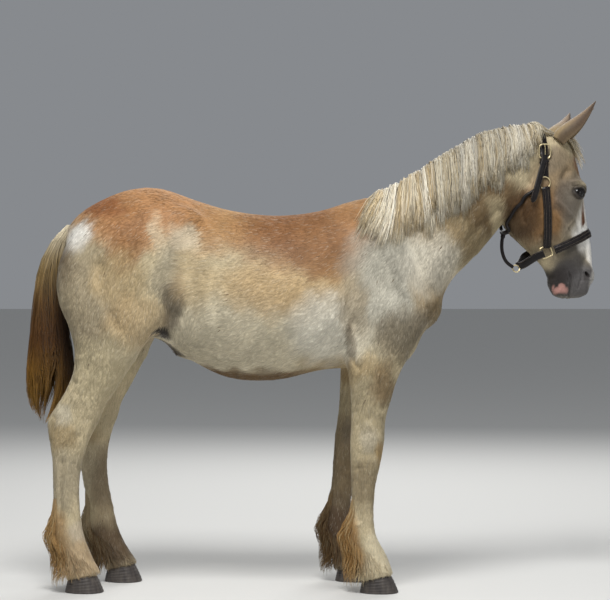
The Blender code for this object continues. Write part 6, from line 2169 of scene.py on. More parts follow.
@dataclass(frozen=True)
class Eye:
    """One eyeball with its bulging front, and the moist edge of its lids."""

    side: Side
    bulge: float = 0.0012
    rim: float = 0.0013

    def add(self, stance: Stance, finishes: Finishes) -> None:
        """Adds the eyeball in place of its solid, and the lids' edge."""
        mirror = np.array((1, -self.side, 1))
        ball, triangles = egg(EYE, (EYE_RADIUS,) * 3, steps=28)
        front = smooth_step(0.8, 0.97, unit(ball - EYE) @ EYE_OUT)
        ball = ball + EYE_OUT * (self.bulge * front)[:, None]
        name = f"eyeball_{self.side.word}"
        mesh = make_mesh(name, stance.place(ball * mirror), triangles)
        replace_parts(piece_of(name, mesh, finishes.eye), f"eye_{self.side.word}")
        points, triangles = tube(self.opening(), self.rim, closed=True)
        name = f"lid_edge_{self.side.word}"
        piece_of(name, make_mesh(name, stance.place(points * mirror), triangles), finishes.rim)

    @staticmethod
    def opening() -> Array:
        """Places round the right eye's opening, just over the eyeball."""
        along_way, rise_way = eye_ways()
        along, rise = lid_edge(np.linspace(0, 2 * np.pi, 60, endpoint=False))
        lid = EYE_RADIUS + 0.001
        out = np.sqrt(lid**2 - np.minimum(along**2 + rise**2, (lid * 0.98) ** 2))
        return EYE + along[:, None] * along_way + rise[:, None] * rise_way + out[:, None] * EYE_OUT


EAR_BASE = np.array((0.974, 0.055, 1.728))
EAR_LEANS = {Side.RIGHT: (0.119, 0.022, 0.143), Side.LEFT: (0.104, 0.112, 0.112)}


@dataclass(frozen=True)
class Ear:
    """One cupped ear, whose open side faces forward and out.

    Its rows are share of the length, width across and how far the cup is filled. It opens by a
    turn in degrees from its back.
    """

    side: Side
    length: float = 0.19
    bow: float = 0.011
    open_turn: float = 112
    rows: tuple[Triple, ...] = (
        (-0.12, 0.066, 1.0),
        (0.02, 0.078, 0.8),
        (0.16, 0.081, 0.35),
        (0.32, 0.075, 0.05),
        (0.5, 0.061, 0.0),
        (0.68, 0.043, 0.0),
        (0.85, 0.024, 0.0),
        (1.0, 0.003, 0.0),
    )
    hairs: int = 520
    rings: int = 5
    form: LockForm = LockForm(0.0021, 0.0008, 0.0003, (0.6, 1.2))

    def base(self) -> Array:
        """The middle of the ear's root."""
        return EAR_BASE * np.array((1, self.side, 1))

    def ways(self) -> tuple[Array, Array, Array]:
        """The directions along the ear, out of its opening, and across it."""
        x, y, z = EAR_LEANS[self.side]
        way = unit(np.array((x, y * self.side, z)))
        opening = np.array((0.8, 0.3 * self.side, -0.45))
        opening = unit(opening - way * (opening @ way))
        return way, opening, np.cross(way, opening)

    def half_at(self, along: Array) -> Array:
        """Half the ear's width at shares of its length."""
        return np.interp(along, [row[0] for row in self.rows], [row[1] / 2 for row in self.rows])

    def shape(self) -> Shape:
        """The ear's closed shape, outside and inside."""
        way, opening, across = self.ways()
        rows = np.array(self.rows)
        turns = np.radians(np.linspace(-self.open_turn, self.open_turn, 31))
        sideways, back = np.sin(turns)[:, None], np.cos(turns)[:, None]
        curl = 1 - 0.1 * smooth_step(70, self.open_turn, np.abs(np.degrees(turns)))[:, None]
        steps = 5
        rings = []
        for step in range((len(rows) - 1) * steps + 1):
            place, width, fill = between(rows, step / steps)
            half = max(width / 2, 0.0014)
            shrink = 1 - min(0.004, half * 0.5) / half
            middle = self.base() + way * place * self.length
            middle = middle + opening * (self.bow * math.sin(math.pi * max(0.0, place)))
            depth = half * (1.2 - 0.25 * max(0.0, place))
            chord = math.cos(math.radians(self.open_turn)) * depth
            outer = middle + across * half * sideways * curl - opening * depth * back
            hollow = depth * back * shrink
            filled = hollow + (chord - hollow) * min(max(fill, 0.0), 1.0) * 0.96
            level = np.where(hollow > chord, filled, hollow)
            inner = middle + across * half * shrink * sideways * curl - opening * level
            rings.append(np.concatenate([outer, inner[::-1]]))
        return loft(rings)

    def colours(self, points: Array) -> Array:
        """Its colours: tan-brown outside with a darker edge and tip, pale brown inside.

        Args:
            points: Places of the ear.

        Returns:
            A linear colour for each.
        """
        way, _, across = self.ways()
        offset = points - self.base()
        along = offset @ way / self.length
        edge = np.abs(offset @ across) / np.maximum(self.half_at(along), 0.003)
        colours = np.tile(linear("#857059"), (len(points), 1))
        pale = 1 - smooth_step(0.05, 0.55, along)
        colours += (linear("#94805F") - colours) * pale[:, None]
        dark = smooth_step(0.66, 1.0, edge) * 0.8 + smooth_step(0.7, 1.0, along) * 0.45
        colours += (linear("#3A2A1F") - colours) * np.clip(dark, 0, 0.85)[:, None]
        return colours * (1 + 0.1 * waves(points, 0.012, 61))[:, None]

    def locks(self) -> Locks:
        """Fine hair inside the ear and along its edges, pointing to its tip."""
        draw = np.random.default_rng(70 + self.side)
        count = self.hairs
        way, opening, across = self.ways()
        along = np.linspace(0, 1, self.rings)
        start = draw.uniform(0.04, 0.8, count)
        half = self.half_at(start)
        inside = draw.uniform(0, 1, count) < 0.5
        anywhere = draw.uniform(-1, 1, count)
        spot = np.where(inside, anywhere, np.sign(draw.uniform(-1, 1, count)) * 0.93)
        deep = half * (0.9 - 0.25 * start) * np.sqrt(1 - np.minimum(1, spot**2) * 0.85) * 0.85
        root = self.base() + (start * self.length)[:, None] * way + (spot * half * 0.94)[:, None] * across
        root = root + (self.bow * np.sin(np.pi * start) - deep * 0.45)[:, None] * opening
        reach = draw.uniform(0.016, 0.032, count) * (1 - 0.55 * start)
        lean = way + opening * draw.uniform(0.15, 0.75, count)[:, None] - across * (spot * 0.5)[:, None]
        paths = root[:, None] + unit(lean)[:, None] * (reach[:, None] * along[None])[..., None]
        sizes = self.form.sizes(self.rings, count, draw)
        base = pick_colours(("#C8AE82", "#A8875C", "#8A6A45", "#D6C4A0"), count, draw)
        return Locks(paths, np.broadcast_to(opening, paths.shape), sizes, shaded(base, 0.7, 1.0, self.rings))

    def add(self, groom: Groom, finishes: Finishes) -> None:
        """Adds the ear in place of its solid, and the hair that fills its cup."""
        word = self.side.word
        points, triangles = self.shape()
        mesh = make_mesh(f"ear_{word}", groom.stance.place(points), triangles)
        paint(mesh, self.colours(points))
        map_skin(mesh, points)
        made = piece_of(f"ear_{word}_cup", mesh, finishes.skin)
        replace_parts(made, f"ear_{word}")
        groom.piece(f"ear_{word}_hair", self.locks(), finishes.hair, "coat")


# Short coat


@dataclass(frozen=True)
class Lie:
    """Which way the coat lies near a place, on the right side of the horse."""

    name: str
    place: Triple
    way: Triple
    reach: float = 0.2


LIES = (
    Lie("back", (-0.2, -0.05, 1.44), (-1.0, -0.15, 0.0), 0.3),
    Lie("croup", (-0.7, -0.1, 1.46), (-0.9, -0.25, -0.35)),
    Lie("buttock", (-0.9, -0.13, 1.25), (-0.15, 0.05, -1.0), 0.16),
    Lie("thigh", (-0.75, -0.25, 1.12), (-0.3, 0.0, -0.95)),
    Lie("hip", (-0.56, -0.24, 1.36), (-0.75, 0.0, -0.65), 0.14),
    Lie("flank above", (-0.45, -0.24, 1.22), (-0.6, 0.0, 0.1), 0.1),
    Lie("flank below", (-0.53, -0.25, 1.06), (0.25, 0.0, -0.9), 0.09),
    Lie("ribs", (-0.1, -0.27, 1.2), (-0.85, 0.0, -0.5), 0.3),
    Lie("low ribs", (-0.1, -0.25, 0.98), (-0.8, 0.2, -0.45), 0.25),
    Lie("belly", (-0.15, -0.08, 0.82), (-0.9, 0.35, 0.0)),
    Lie("withers", (0.25, -0.08, 1.46), (-0.85, -0.2, -0.3)),
    Lie("shoulder", (0.3, -0.2, 1.22), (-0.45, 0.0, -0.9)),
    Lie("elbow", (0.2, -0.23, 0.98), (-0.3, 0.0, -0.95)),
    Lie("breast", (0.47, -0.1, 1.16), (0.0, -0.25, -1.0), 0.16),
    Lie("low neck", (0.48, -0.12, 1.35), (-0.4, 0.0, -0.9)),
    Lie("neck", (0.65, -0.09, 1.5), (-0.55, 0.0, -0.8)),
    Lie("throat", (0.74, -0.06, 1.46), (-0.55, 0.0, -0.75), 0.12),
    Lie("cheek", (0.88, -0.09, 1.48), (-0.25, 0.0, -0.97), 0.13),
    Lie("forehead", (1.03, -0.04, 1.64), (0.25, -0.25, -0.95), 0.1),
    Lie("face", (1.08, -0.04, 1.42), (0.12, -0.15, -1.0), 0.15),
    Lie("muzzle", (1.04, -0.05, 1.2), (-0.1, 0.0, -1.0), 0.12),
    Lie("jaw", (0.86, -0.06, 1.35), (0.1, 0.0, -1.0), 0.1),
    Lie("forearm", (0.23, -0.19, 0.75), (-0.15, 0.0, -1.0), 0.22),
    Lie("fore cannon", (0.2, -0.17, 0.35), (-0.12, 0.0, -1.0), 0.25),
    Lie("gaskin", (-0.8, -0.2, 0.82), (-0.35, 0.0, -0.95)),
    Lie("hind cannon", (-0.93, -0.16, 0.4), (-0.1, 0.0, -1.0), 0.25),
)


def lie_ways(points: Array, normals: Array) -> Array:
    """The direction in which the coat lies at places of the skin.

    Args:
        points: Places of the straight horse.
        normals: The skin's normals there.

    Returns:
        Directions along the skin.
    """
    near = to_near_side(points)
    total = np.zeros_like(points)
    for lie in LIES:
        distance = ((near - np.array(lie.place)) ** 2).sum(axis=1)
        weight = np.exp(-distance / lie.reach**2) + 1e-7 / (distance + 0.01)
        total += unit(np.array(lie.way)) * weight[:, None]
    total[:, 1] *= -np.where(points[:, 1] > 0, 1, -1)
    total = unit(total)
    return unit(total - normals * (total * normals).sum(axis=1, keepdims=True))


def coat_length(points: Array) -> Array:
    """How long the coat's tufts are: long on the body, short on head and legs.

    Args:
        points: Places of the straight horse's skin.

    Returns:
        A length for each.
    """
    near = to_near_side(points)
    x, z = near[:, 0], near[:, 2]
    length = np.full(len(points), 0.026)
    length = np.where(z < 0.75, np.interp(z, (0.3, 0.75), (0.017, 0.024)), length)
    head = smooth_step(0.8, 0.9, x)
    length = length * (1 - head) + np.interp(z, (1.1, 1.25, 1.45, 1.7), (0.005, 0.008, 0.014, 0.016)) * head
    eye = np.linalg.norm(near - EYE, axis=1)
    return length * (0.35 + 0.65 * smooth_step(0.03, 0.075, eye))


@dataclass
class Coat:
    """The short coat's tufts on the skin, sown by the area each is to cover."""

    skin: Skin
    groom: Groom
    finishes: Finishes
    total: int = 138_000
    per_piece: int = 48_000

    def sow(self) -> tuple[Array, Array]:
        """Picks the tufts' roots all over the skin, denser where they are shorter.

        Returns:
            The roots and the skin's normals there.
        """
        draw = np.random.default_rng(90)
        triangles = self.skin.triangles()
        corners = self.skin.points[triangles]
        first, second = corners[:, 1] - corners[:, 0], corners[:, 2] - corners[:, 0]
        area = np.linalg.norm(np.cross(first, second), axis=1)
        middle = corners.mean(axis=1)
        want = area / np.maximum(coat_length(middle), 0.006) ** 1.25 * self.allowed(middle)
        picked = draw.choice(len(triangles), self.total, p=want / want.sum())
        u, v = draw.uniform(0, 1, (2, self.total))
        over = u + v > 1
        u, v = np.where(over, 1 - u, u), np.where(over, 1 - v, v)
        weights = np.stack([1 - u - v, u, v], axis=1)[..., None]
        roots = (corners[picked] * weights).sum(axis=1)
        normals = unit((self.skin.normals[triangles[picked]] * weights).sum(axis=1))
        return roots, normals

    @staticmethod
    def allowed(points: Array) -> Array:
        """Where tufts may grow: not in the nostrils, on the lids' edges or in the hoofs."""
        near = to_near_side(points)
        nostril = np.linalg.norm(near - NOSTRIL, axis=1) > 0.022
        offset = near - EYE
        along, rise = (offset @ way for way in eye_ways())
        opening = np.hypot(along / LID_LENGTH, rise / LID_HEIGHT) > 1.18
        eye = opening | (np.linalg.norm(offset, axis=1) > 0.05)
        coronet = np.minimum(coronet_height(near), 0.076)
        return (nostril & eye & (near[:, 2] > coronet + 0.002)).astype(float)

    def add(self) -> None:
        """Adds the tufts in pieces."""
        roots, normals = self.sow()
        ways = lie_ways(roots, normals)
        draw = np.random.default_rng(91)
        length = coat_length(roots) * draw.uniform(0.7, 1.25, len(roots))
        across = np.cross(ways, normals)
        drift = draw.normal(0, 0.13, len(roots)) + 0.25 * waves(roots, 0.05, 92)
        ways = unit(ways + across * drift[:, None])
        colours = coat_colour(roots) * draw.uniform(0.8, 1.18, len(roots))[:, None]
        pale = (draw.uniform(0, 1, len(roots)) < 0.1) & (roots[:, 0] < 0.66)
        colours = np.where(pale[:, None], colours * 0.85 + linear("#EDE4D0") * 0.15, colours)
        speck = draw.uniform(0, 1, len(roots)) < 0.0022
        colours = np.where(speck[:, None], linear("#5C4632"), colours)
        order = np.argsort(chart_numbers(roots), kind="stable")
        for number, start in enumerate(range(0, len(order), self.per_piece)):
            chosen = order[start : start + self.per_piece]
            chosen_parts = (values[chosen] for values in (roots, normals, ways, length, colours))
            self.add_piece(number, *chosen_parts)

    def add_piece(
        self,
        number: int,
        roots: Array,
        normals: Array,
        ways: Array,
        length: Array,
        colours: Array,
    ) -> None:
        """Adds one piece of closed tufts, each a thin pyramid that lies along the skin.

        Args:
            number: The piece's number.
            roots: The tufts' roots.
            normals: The skin's normals there.
            ways: Which way the tufts lie.
            length: Their lengths.
            colours: Their linear colours.
        """
        count = len(roots)
        across = unit(np.cross(ways, normals))
        half = np.clip(length * 0.085, 0.0005, 0.0019)[:, None]
        lift = np.clip(length * 0.085, 0.0004, 0.0019)[:, None]
        base = roots - normals * 0.0003
        tip = roots + ways * length[:, None] + normals * lift
        back = base + ways * length[:, None] * 0.33 + normals * lift * 1.15
        points = np.stack([base - across * half, base + across * half, back, tip], axis=1)
        pattern = np.array([(0, 1, 2), (0, 2, 3), (2, 1, 3), (1, 0, 3)])
        faces = (np.arange(count)[:, None, None] * 4 + pattern[None]).reshape(-1, 3)
        placed = self.groom.stance.place(points.reshape(-1, 3))
        mesh = make_mesh(f"coat_{number}", placed, faces)
        tones = np.array([0.92, 0.92, 1.0, 1.08])
        paint(mesh, np.clip(colours[:, None] * tones[None, :, None], 0, 1).reshape(-1, 3))
        flat = flat_places(roots, chart_numbers(roots))
        spread = np.array([(-0.5, -0.5), (0.5, -0.5), (0.0, 0.0), (0.0, 0.5)]) * 0.003
        corners = (flat[:, None] + spread[None]).reshape(-1, 2)
        write_map(mesh, corners[faces.ravel()])
        piece_of(f"coat_{number}", mesh, self.finishes.coat)
        tipped = self.groom.stance.place(roots + normals * 0.01) - self.groom.stance.place(roots)
        shading = unit(np.repeat(unit(tipped), 4, axis=0) + 0.35 * read_normals(mesh))
        mesh.normals_split_custom_set_from_vertices(shading.tolist())


# The halter


def dense(rows: Sequence[Sequence[float]], steps: int = 6) -> Array:
    """More rows between the given ones, on a smooth curve."""
    table = np.array(rows, dtype=float)
    return np.array([between(table, n / steps) for n in range((len(table) - 1) * steps + 1)])


@dataclass(frozen=True)
class Band:
    """A flat leather strap along a line of places.

    Args:
        line: The middle of its under side.
        outs: Which way its outer side faces at each place.
        width: Its width.
        thickness: Its thickness.
        tip: Whether its end is cut to a blunt point.
    """

    line: Array
    outs: Array
    width: float = 0.033
    thickness: float = 0.0042
    tip: bool = False

    def frame(self) -> tuple[Array, Array]:
        """The directions across the strap and off it, at each place."""
        ways = unit(np.gradient(self.line, axis=0))
        across = unit(np.cross(ways, self.outs))
        return across, np.cross(across, ways)

    def widths(self) -> Array:
        """The strap's half width at each place."""
        half = np.full(len(self.line), self.width / 2)
        if self.tip:
            left = np.linalg.norm(self.line - self.line[-1], axis=1)
            half *= np.sqrt(np.clip(left / (self.width * 0.55), 0.02, 1))
        return half

    def body(self, share: float = 1.0, low: float = 0.0, high: float | None = None) -> Shape:
        """The strap's closed shape with rounded edges, or a raised panel along it.

        Args:
            share: How wide it is, as a share of the strap.
            low: How high its under side lies.
            high: How high its outer side lies.

        Returns:
            The shape.
        """
        high = self.thickness if high is None else high
        across, away = self.frame()
        half = self.widths() * share
        edge = min((high - low) * 0.5, 0.0012)
        rings = []
        for place, side, up, reach in zip(self.line, across, away, half):
            inner = max(reach - edge, reach * 0.3)
            outline = (
                (-reach, low + edge), (-reach, high - edge), (-inner, high), (0.0, high + 0.0003),
                (inner, high), (reach, high - edge), (reach, low + edge), (inner, low), (-inner, low),
            )
            rings.append(np.array([place + side * u + up * v for u, v in outline]))
        return loft(rings)

    def stitches(self, share: float, height: float | None = None) -> Shape:
        """A row of stitches every 5 mm, at a share of the strap's half width from its middle.

        Args:
            share: Where the row runs between the middle at 0 and an edge at 1 or -1.
            height: How high it lies, or nothing where that is the strap's outer side.

        Returns:
            The shape.
        """
        height = self.thickness if height is None else height
        across, away = self.frame()
        lengths = np.concatenate([[0], np.cumsum(np.linalg.norm(np.diff(self.line, axis=0), axis=1))])
        spots = np.arange(0.005, lengths[-1] - 0.004, 0.005)
        line, side, up = (
            np.stack([np.interp(spots, lengths, values[:, n]) for n in range(3)], axis=1)
            for values in (self.line, across, away)
        )
        reach = np.interp(spots, lengths, self.widths()) * share
        at = line + side * reach[:, None] + up * height
        long, wide, tall = unit(np.gradient(at, axis=0)) * 0.0018, side * 0.00055, up * 0.0006
        corners = np.stack([at - long, at + long, at - wide, at + wide, at + tall, at - tall], axis=1)
        pattern = np.array(
            [(0, 2, 4), (2, 1, 4), (1, 3, 4), (3, 0, 4), (2, 0, 5), (1, 2, 5), (3, 1, 5), (0, 3, 5)]
        )
        faces = (np.arange(len(spots))[:, None, None] * 6 + pattern[None]).reshape(-1, 3)
        return corners.reshape(-1, 3), faces


def ring_outline(width: float, height: float, square: float = 2.0) -> Array:
    """Offsets round a ring of half a width and height, from round at two to nearly square at five."""
    turns = np.linspace(0, 2 * np.pi, 48, endpoint=False)
    return np.stack([rounded(np.cos(turns), square) * width, rounded(np.sin(turns), square) * height], axis=1)


@dataclass(frozen=True)
class Halter:
    """The leather halter with its brass, built on the straight head.

    A middle is a place along and up. The side straps' routes are along, up and lift off the coat,
    the chin strap's is along, out and up, and the rolled straps' are along and up at the side, or
    along, across and up.
    """

    tree: BVHTree
    stance: Stance
    finishes: Finishes
    clearance: float = 0.003
    wire: float = 0.0026
    roll: float = 0.0068
    nose_rise: float = math.radians(23)
    crown_middle: Pair = (0.884, 1.6)
    nose_middle: Pair = (0.985, 1.32)
    buckle: Pair = (0.883, 1.677)
    upper_ring: Pair = (0.877, 1.556)
    ring_radius: float = 0.0225
    square_ring: Pair = (0.898, 1.291)
    square_reach: float = 0.022
    chin_ring: Triple = (0.797, 0.0, 1.226)
    ring_strap_route: tuple[Triple, ...] = (
        (0.883, 1.712, 0.0035), (0.883, 1.69, 0.005), (0.883, 1.672, 0.0065), (0.883, 1.656, 0.0085),
        (0.882, 1.634, 0.0015), (0.88, 1.6, 0.0), (0.8785, 1.583, 0.003), (0.878, 1.574, 0.002),
    )
    cheek_route: tuple[Triple, ...] = (
        (0.8805, 1.538, 0.001), (0.882, 1.531, 0.0034), (0.883, 1.52, 0.0012), (0.886, 1.49, 0.0),
        (0.889, 1.45, 0.0), (0.893, 1.405, 0.0), (0.8985, 1.345, 0.0006), (0.9005, 1.3165, 0.0036),
        (0.901, 1.307, 0.001),
    )
    billet_route: tuple[Triple, ...] = (
        (0.882, 1.668, 0.0125), (0.879, 1.64, 0.0125), (0.861, 1.59, 0.0165), (0.841, 1.535, 0.0215),
        (0.823, 1.48, 0.0115),
    )
    holes: tuple[float, ...] = (0.3, 0.44, 0.58, 0.72, 0.84)
    chin_route: tuple[Triple, ...] = (
        (0.884, 0.076, 1.285), (0.86, 0.068, 1.2745), (0.848, 0.057, 1.2665),
        (0.836, 0.04, 1.2555), (0.822, 0.019, 1.243), (0.808, 0.006, 1.236),
    )
    throat_route: tuple[Pair, ...] = (
        (0.862, 1.541), (0.848, 1.532), (0.827, 1.517), (0.807, 1.5),
        (0.788, 1.479), (0.771, 1.455), (0.759, 1.429), (0.751, 1.403),
    )
    throat_low: tuple[Triple, ...] = ((0.752, -0.044, 1.374), (0.746, -0.016, 1.364))
    hanging_route: tuple[Triple, ...] = (
        (0.746, 0, 1.362), (0.743, 0, 1.351), (0.739, 0, 1.33), (0.739, 0, 1.3),
        (0.746, 0, 1.272), (0.76, 0, 1.249), (0.784, 0, 1.2315),
    )

    def add(self, name: str, shape: Shape, finish: Material, slot: str, *nodes: str) -> None:
        """Adds one piece made of a shape on the straight head.

        Args:
            name: The piece's name.
            shape: Its shape.
            finish: Its material.
            slot: Not used.
            *nodes: The solids that it stands for.
        """
        made = piece_of(name, make_mesh(name, self.stance.place(shape[0]), shape[1]), finish)
        made.data.set_sharp_from_angle(angle=SHARP_ANGLE)
        if nodes:
            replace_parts(made, *nodes)

    def add_leather(self, name: str, shape: Shape, *nodes: str) -> None:
        """Adds one piece of leather."""
        self.add(name, shape, self.finishes.leather, "leather", *nodes)

    def add_band(self, name: str, band: Band, panel: bool, *nodes: str) -> None:
        """Adds a strap with its stitching, and a raised panel where it has one.

        Args:
            name: The piece's name.
            band: The strap.
            panel: Whether it has a raised panel.
            *nodes: The solids that it stands for.
        """
        shapes = [band.body()]
        rows = [band.stitches(0.84), band.stitches(-0.84)]
        if panel:
            top = band.thickness + 0.0014
            shapes.append(band.body(0.52, band.thickness - 0.0008, top))
            rows += [band.stitches(share, top + 0.0002) for share in (0.4, -0.4)]
        self.add_leather(name, merged(shapes), *nodes)
        self.add(f"{name}_thread", merged(rows), self.finishes.thread, "leather")

    def add_ring(self, name: str, line: Array, radius: float, *nodes: str) -> None:
        """Adds a closed ring of brass wire."""
        self.add(name, tube(line, radius, True, 12), self.finishes.brass, "brass", *nodes)

    def level(self, x: float, z: float, side: Side) -> float:
        """How far out the skin lies at a place on one side of the head."""
        return cast(self.tree, (x, 0.5 * side, z), (x, 0, z))[0][1]

    def side_band(
        self, route: Sequence[Sequence[float]], side: Side, width: float = Band.width, tip: bool = False
    ) -> Band:
        """A strap on one side of the head.

        Args:
            route: Its places, as along, up and lift off the coat.
            side: The side.
            width: Its width.
            tip: Whether its end is cut to a blunt point.

        Returns:
            The strap.
        """
        rows = dense(route)
        level = np.array([self.level(x, z, side) for x, z, _ in rows])
        for _ in range(3):
            level[1:-1] = (level[:-2] + level[1:-1] * 2 + level[2:]) / 4
        line = np.stack([rows[:, 0], level + side * (self.clearance + rows[:, 2]), rows[:, 1]], axis=1)
        outs = np.tile((0.0, float(side), 0.0), (len(rows), 1))
        return Band(line, outs, width, tip=tip)

    def arch(self, middle: Pair, up: Array, rise: Array, reach: float, steps: int) -> Band:
        """A strap over the head round a middle, from one side to the other.

        Args:
            middle: Where the middle is along and up.
            up: The direction of the strap's highest place from the middle.
            rise: The direction across the strap.
            reach: The turn of each end from the highest place.
            steps: How many parts it is drawn in.

        Returns:
            The strap.
        """
        line, outs = [], []
        centre = np.array((middle[0], 0.0, middle[1]))
        for step in range(steps + 1):
            turn = reach * (2 * step / steps - 1)
            way = up * math.cos(turn) + np.array((0, math.sin(turn), 0))
            offs = []
            for shift in (-0.016, 0, 0.016):
                start = centre + rise * shift
                place, _ = cast(self.tree, start + way * 0.5, start)
                offs.append(float((place - centre) @ way))
            line.append(centre + way * (max(offs) * 0.5 + offs[1] * 0.5 + self.clearance))
            outs.append(way)
        return Band(np.array(line), np.array(outs))

    def outline(self, middle: Pair, shape: Array, side: Side, lift: float) -> Array:
        """Lays an outline of offsets along and up flat on the side of the head."""
        places = shape + np.array(middle)
        level = max(abs(self.level(x, z, side)) for x, z in places[::4])
        return np.stack([places[:, 0], np.full(len(places), (level + lift) * side), places[:, 1]], axis=1)

    def build(self) -> None:
        """Adds all of the halter."""
        along, upward = np.array((1.0, 0.0, 0.0)), np.array((0.0, 0.0, 1.0))
        crown = self.arch(self.crown_middle, upward, along, math.radians(52), 48)
        self.add_band("halter_crown", crown, False, "halter_crown_strap")
        forward = np.array((math.cos(self.nose_rise), 0, math.sin(self.nose_rise)))
        rise = np.array((-math.sin(self.nose_rise), 0, math.cos(self.nose_rise)))
        nose = self.arch(self.nose_middle, forward, rise, math.radians(132.5), 80)
        self.add_band("halter_nose", nose, True, "halter_noseband")
        for side in (Side.RIGHT, Side.LEFT):
            self.build_side(side)
        self.build_throat()

    def build_side(self, side: Side) -> None:
        """Adds the straps, rings and buckle of one side."""
        word = side.word
        self.build_buckle(side)
        band = self.side_band(self.ring_strap_route, side)
        self.add_band(f"halter_ring_strap_{word}", band, False, f"halter_buckle_strap_{word}")
        ring = self.outline(self.upper_ring, ring_outline(self.ring_radius, self.ring_radius), side, 0.005)
        self.add_ring(f"halter_round_ring_{word}", ring, self.wire, f"halter_upper_ring_{word}")
        band = self.side_band(self.cheek_route, side)
        self.add_band(f"halter_cheek_{word}", band, True, f"halter_cheek_strap_{word}")
        cos, sin = math.cos(self.nose_rise), math.sin(self.nose_rise)
        square = ring_outline(self.square_reach, self.square_reach, 5.0) @ np.array(((cos, sin), (-sin, cos)))
        ring = self.outline(self.square_ring, square, side, 0.0052)
        self.add_ring(f"halter_square_{word}", ring, self.wire, f"halter_square_ring_{word}")
        self.build_billet(side)
        self.build_chin(side)

    def build_buckle(self, side: Side) -> None:
        """Adds one buckle's frame and its prong, which lies over the frame's lower bar."""
        frame = self.outline(self.buckle, ring_outline(0.0235, 0.0275, 3.2), side, 0.0095)
        self.add_ring(f"halter_buckle_frame_{side.word}", frame, 0.0029, f"halter_buckle_{side.word}")
        x, z = self.buckle
        level = frame[0, 1]
        lifted = level + side * 0.004
        prong = (
            (x, level, z - 0.024), (x, lifted, z - 0.01), (x, lifted, z + 0.012),
            (x, level + side * 0.001, z + 0.0275),
        )
        self.add(f"halter_prong_{side.word}", tube(dense(prong, 4), 0.0017), self.finishes.brass, "brass")

    def build_billet(self, side: Side) -> None:
        """Adds the loose end of the crown strap with its row of holes and its keeper."""
        word = side.word
        band = self.side_band(self.billet_route, side, 0.025, True)
        self.add_band(f"halter_billet_end_{word}", band, False, f"halter_billet_{word}")
        across, away = band.frame()
        turns = np.linspace(0, 2 * np.pi, 10, endpoint=False)
        shapes = []
        for share in self.holes:
            at = int(share * (len(band.line) - 1))
            way = np.cross(away[at], across[at])
            circle = np.cos(turns)[:, None] * across[at] + np.sin(turns)[:, None] * way
            middle = band.line[at] + away[at] * (band.thickness + 0.0001)
            edges = ((0.0, 0.0024), (0.0004, 0.0022), (0.0004, 0.0015))
            shapes.append(loft([middle + away[at] * up + circle * reach for up, reach in edges]))
        # Each hole is a dark disc on the strap, painted shade where the real hole is
        self.add(f"halter_holes_{word}", merged(shapes), self.finishes.rim, "leather")
        level = float(band.line[4, 1]) + side * 0.0048
        line = dense(((0.878 - 0.019, level, 1.631), (0.878 + 0.019, level, 1.641)), 8)
        keeper = Band(line, np.tile((0.0, float(side), 0.0), (9, 1)), 0.011, 0.0022)
        self.add_leather(f"halter_keeper_{word}", keeper.body())

    def build_chin(self, side: Side) -> None:
        """Adds half of the strap behind the chin, which turns under as it comes to its ring."""
        rows = dense(self.chin_route)
        out = rows[:, 1] / 0.08
        ways = np.stack([-0.35 * (1 - out), side * (0.4 + out), np.full(len(rows), -0.3)], axis=1)
        band = Band(rows * np.array((1, side, 1)), unit(ways), 0.031, 0.0046)
        self.add_band(f"halter_chin_{side.word}", band, False, f"halter_chin_strap_{side.word}")

    def build_throat(self) -> None:
        """Adds the rolled strap round the throat, the one that hangs to the chin, and their ring."""
        half = []
        for x, z in self.throat_route:
            place, normal = cast(self.tree, (x, -0.5, z), (x, 0, z))
            half.append(place + normal * (self.roll + self.clearance))
        right = np.array(half + list(self.throat_low))
        whole = dense(np.concatenate([right, right[::-1] * np.array((1, -1, 1))]))
        self.add_leather("halter_throat", tube(whole, self.roll, sides=14), "halter_throat_strap")
        hanging = dense(self.hanging_route)
        self.add_leather("halter_hanging", tube(hanging, self.roll, sides=14), "halter_hanging_strap")
        middle = len(whole) // 2
        sleeve = tube(whole[middle - 6 : middle + 7], self.roll + 0.0022, sides=14)
        cuff = tube(hanging[3:9], self.roll + 0.002, sides=14)
        self.add_leather("halter_cuffs", merged([sleeve, cuff]))
        turns = np.linspace(0, 2 * np.pi, 40, endpoint=False)
        ring = np.stack([0.014 * np.cos(turns), 0.0049 * np.sin(turns), 0.0132 * np.sin(turns)], axis=1)
        self.add_ring("halter_chin_wire", ring + np.array(self.chin_ring), self.wire, "halter_chin_ring")


# The set


@dataclass(frozen=True)
class Light:
    """A soft square light that faces the horse's middle."""

    name: str
    place: Triple
    size: float
    power: float

    def add(self) -> None:
        """Adds the light."""
        data = bpy.data.lights.new(self.name, "AREA")
        data.shape = "SQUARE"
        data.size = self.size
        data.energy = self.power
        light = bpy.data.objects.new(self.name, data)
        light.location = self.place
        way = Vector((0, 0, 0.95)) - light.location
        light.rotation_euler = way.to_track_quat("-Z", "Y").to_euler()
        bpy.context.scene.collection.objects.link(light)


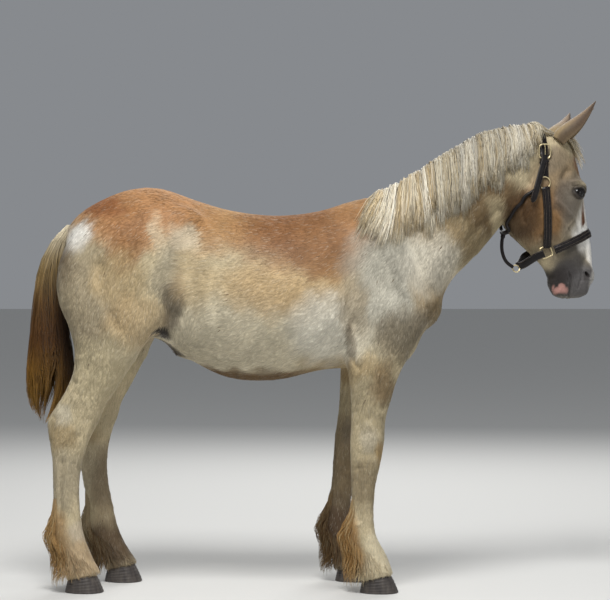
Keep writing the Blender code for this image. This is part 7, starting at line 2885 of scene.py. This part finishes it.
@dataclass(frozen=True)
class Studio:
    """The pale floor, three soft lights, an even sky and a camera nine metres from the right side."""

    lights: tuple[Light, ...] = (
        Light("key", (-0.6, -3.6, 6.0), 2.4, 365),
        Light("fill", (5.0, -4.5, 2.4), 4.0, 55),
        Light("back", (0.5, 5.0, 4.5), 4.0, 185),
    )
    floor_reach: float = 40.0
    sky: tuple[tuple[float, float, float, float], float] = ((0.9, 0.94, 1.0, 1), 0.27)
    camera_place: Triple = (-0.025, -9.2, 1.317)
    camera_drop: float = 1.3185
    lens: float = 141.03

    def add(self, stance: Stance) -> None:
        """Adds the set round the placed horse."""
        self.add_floor()
        for light in self.lights:
            light.add()
        world = bpy.data.worlds.new("sky")
        world.use_nodes = True
        sky = world.node_tree.nodes["Background"]
        sky.inputs["Color"].default_value, sky.inputs["Strength"].default_value = self.sky
        bpy.context.scene.world = world
        self.add_camera(stance)

    def add_floor(self) -> None:
        """Adds the painted floor."""
        far = self.floor_reach
        mesh = bpy.data.meshes.new("floor")
        mesh.from_pydata([(-far, -far, 0), (far, -far, 0), (far, far, 0), (-far, far, 0)], [], [(0, 1, 2, 3)])
        floor = bpy.data.objects.new("floor", mesh)
        bpy.context.scene.collection.objects.link(floor)
        made = NodeTree("studio floor, painted")
        mesh.materials.append(made.finish(Base_Color=colour_of("#D9D8D4"), Roughness=0.9))
        floor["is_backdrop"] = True

    def add_camera(self, stance: Stance) -> None:
        """Adds the camera, as far off and as high as the photo's was."""
        data = bpy.data.cameras.new("camera")
        data.sensor_width = 36
        data.lens = self.lens
        camera = bpy.data.objects.new("camera", data)
        x, y, z = self.camera_place
        camera.location = (x + stance.shift[0], y, z)
        camera.rotation_euler = (math.radians(90 - self.camera_drop), 0, 0)
        bpy.context.scene.collection.objects.link(camera)
        bpy.context.scene.camera = camera
        bpy.context.scene.view_settings.view_transform = "Standard"


def write_size(when: str, sizes: dict[str, Sequence[float]]) -> None:
    low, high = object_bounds()
    sizes[when] = [round(high[n] - low[n], 5) for n in range(3)]


def main() -> None:
    """Builds the dressed horse."""
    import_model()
    sizes: dict[str, Sequence[float]] = {}
    write_size("packed", sizes)
    stance = find_stance((0.256, -0.16))
    finishes = Finishes()
    skin = Skin.grow()
    tree = skin.tree()
    groom = Groom(stance)
    skin.add(stance, finishes)
    for hoof in HOOFS:
        hoof.add(stance, finishes)
    for side in (Side.RIGHT, Side.LEFT):
        Eye(side).add(stance, finishes)
    for side in (Side.RIGHT, Side.LEFT):
        Ear(side).add(groom, finishes)
    Mane(ManeSheet.of(tree)).add(groom, finishes)
    groom.piece("forelock", Forelock().locks(tree), finishes.hair, "hair")
    groom.piece("poll_tuft", PollTuft().locks(tree), finishes.hair, "hair")
    Tail().add(groom, finishes)
    for feather in FEATHERS:
        groom.piece(f"feather_{feather.word}", feather.locks(), finishes.hair, "hair")
    Coat(skin, groom, finishes).add()
    Halter(tree, stance, finishes).build()
    Studio().add(stance)
    write_size("dressed", sizes)


if __name__ == "__main__":
    main()
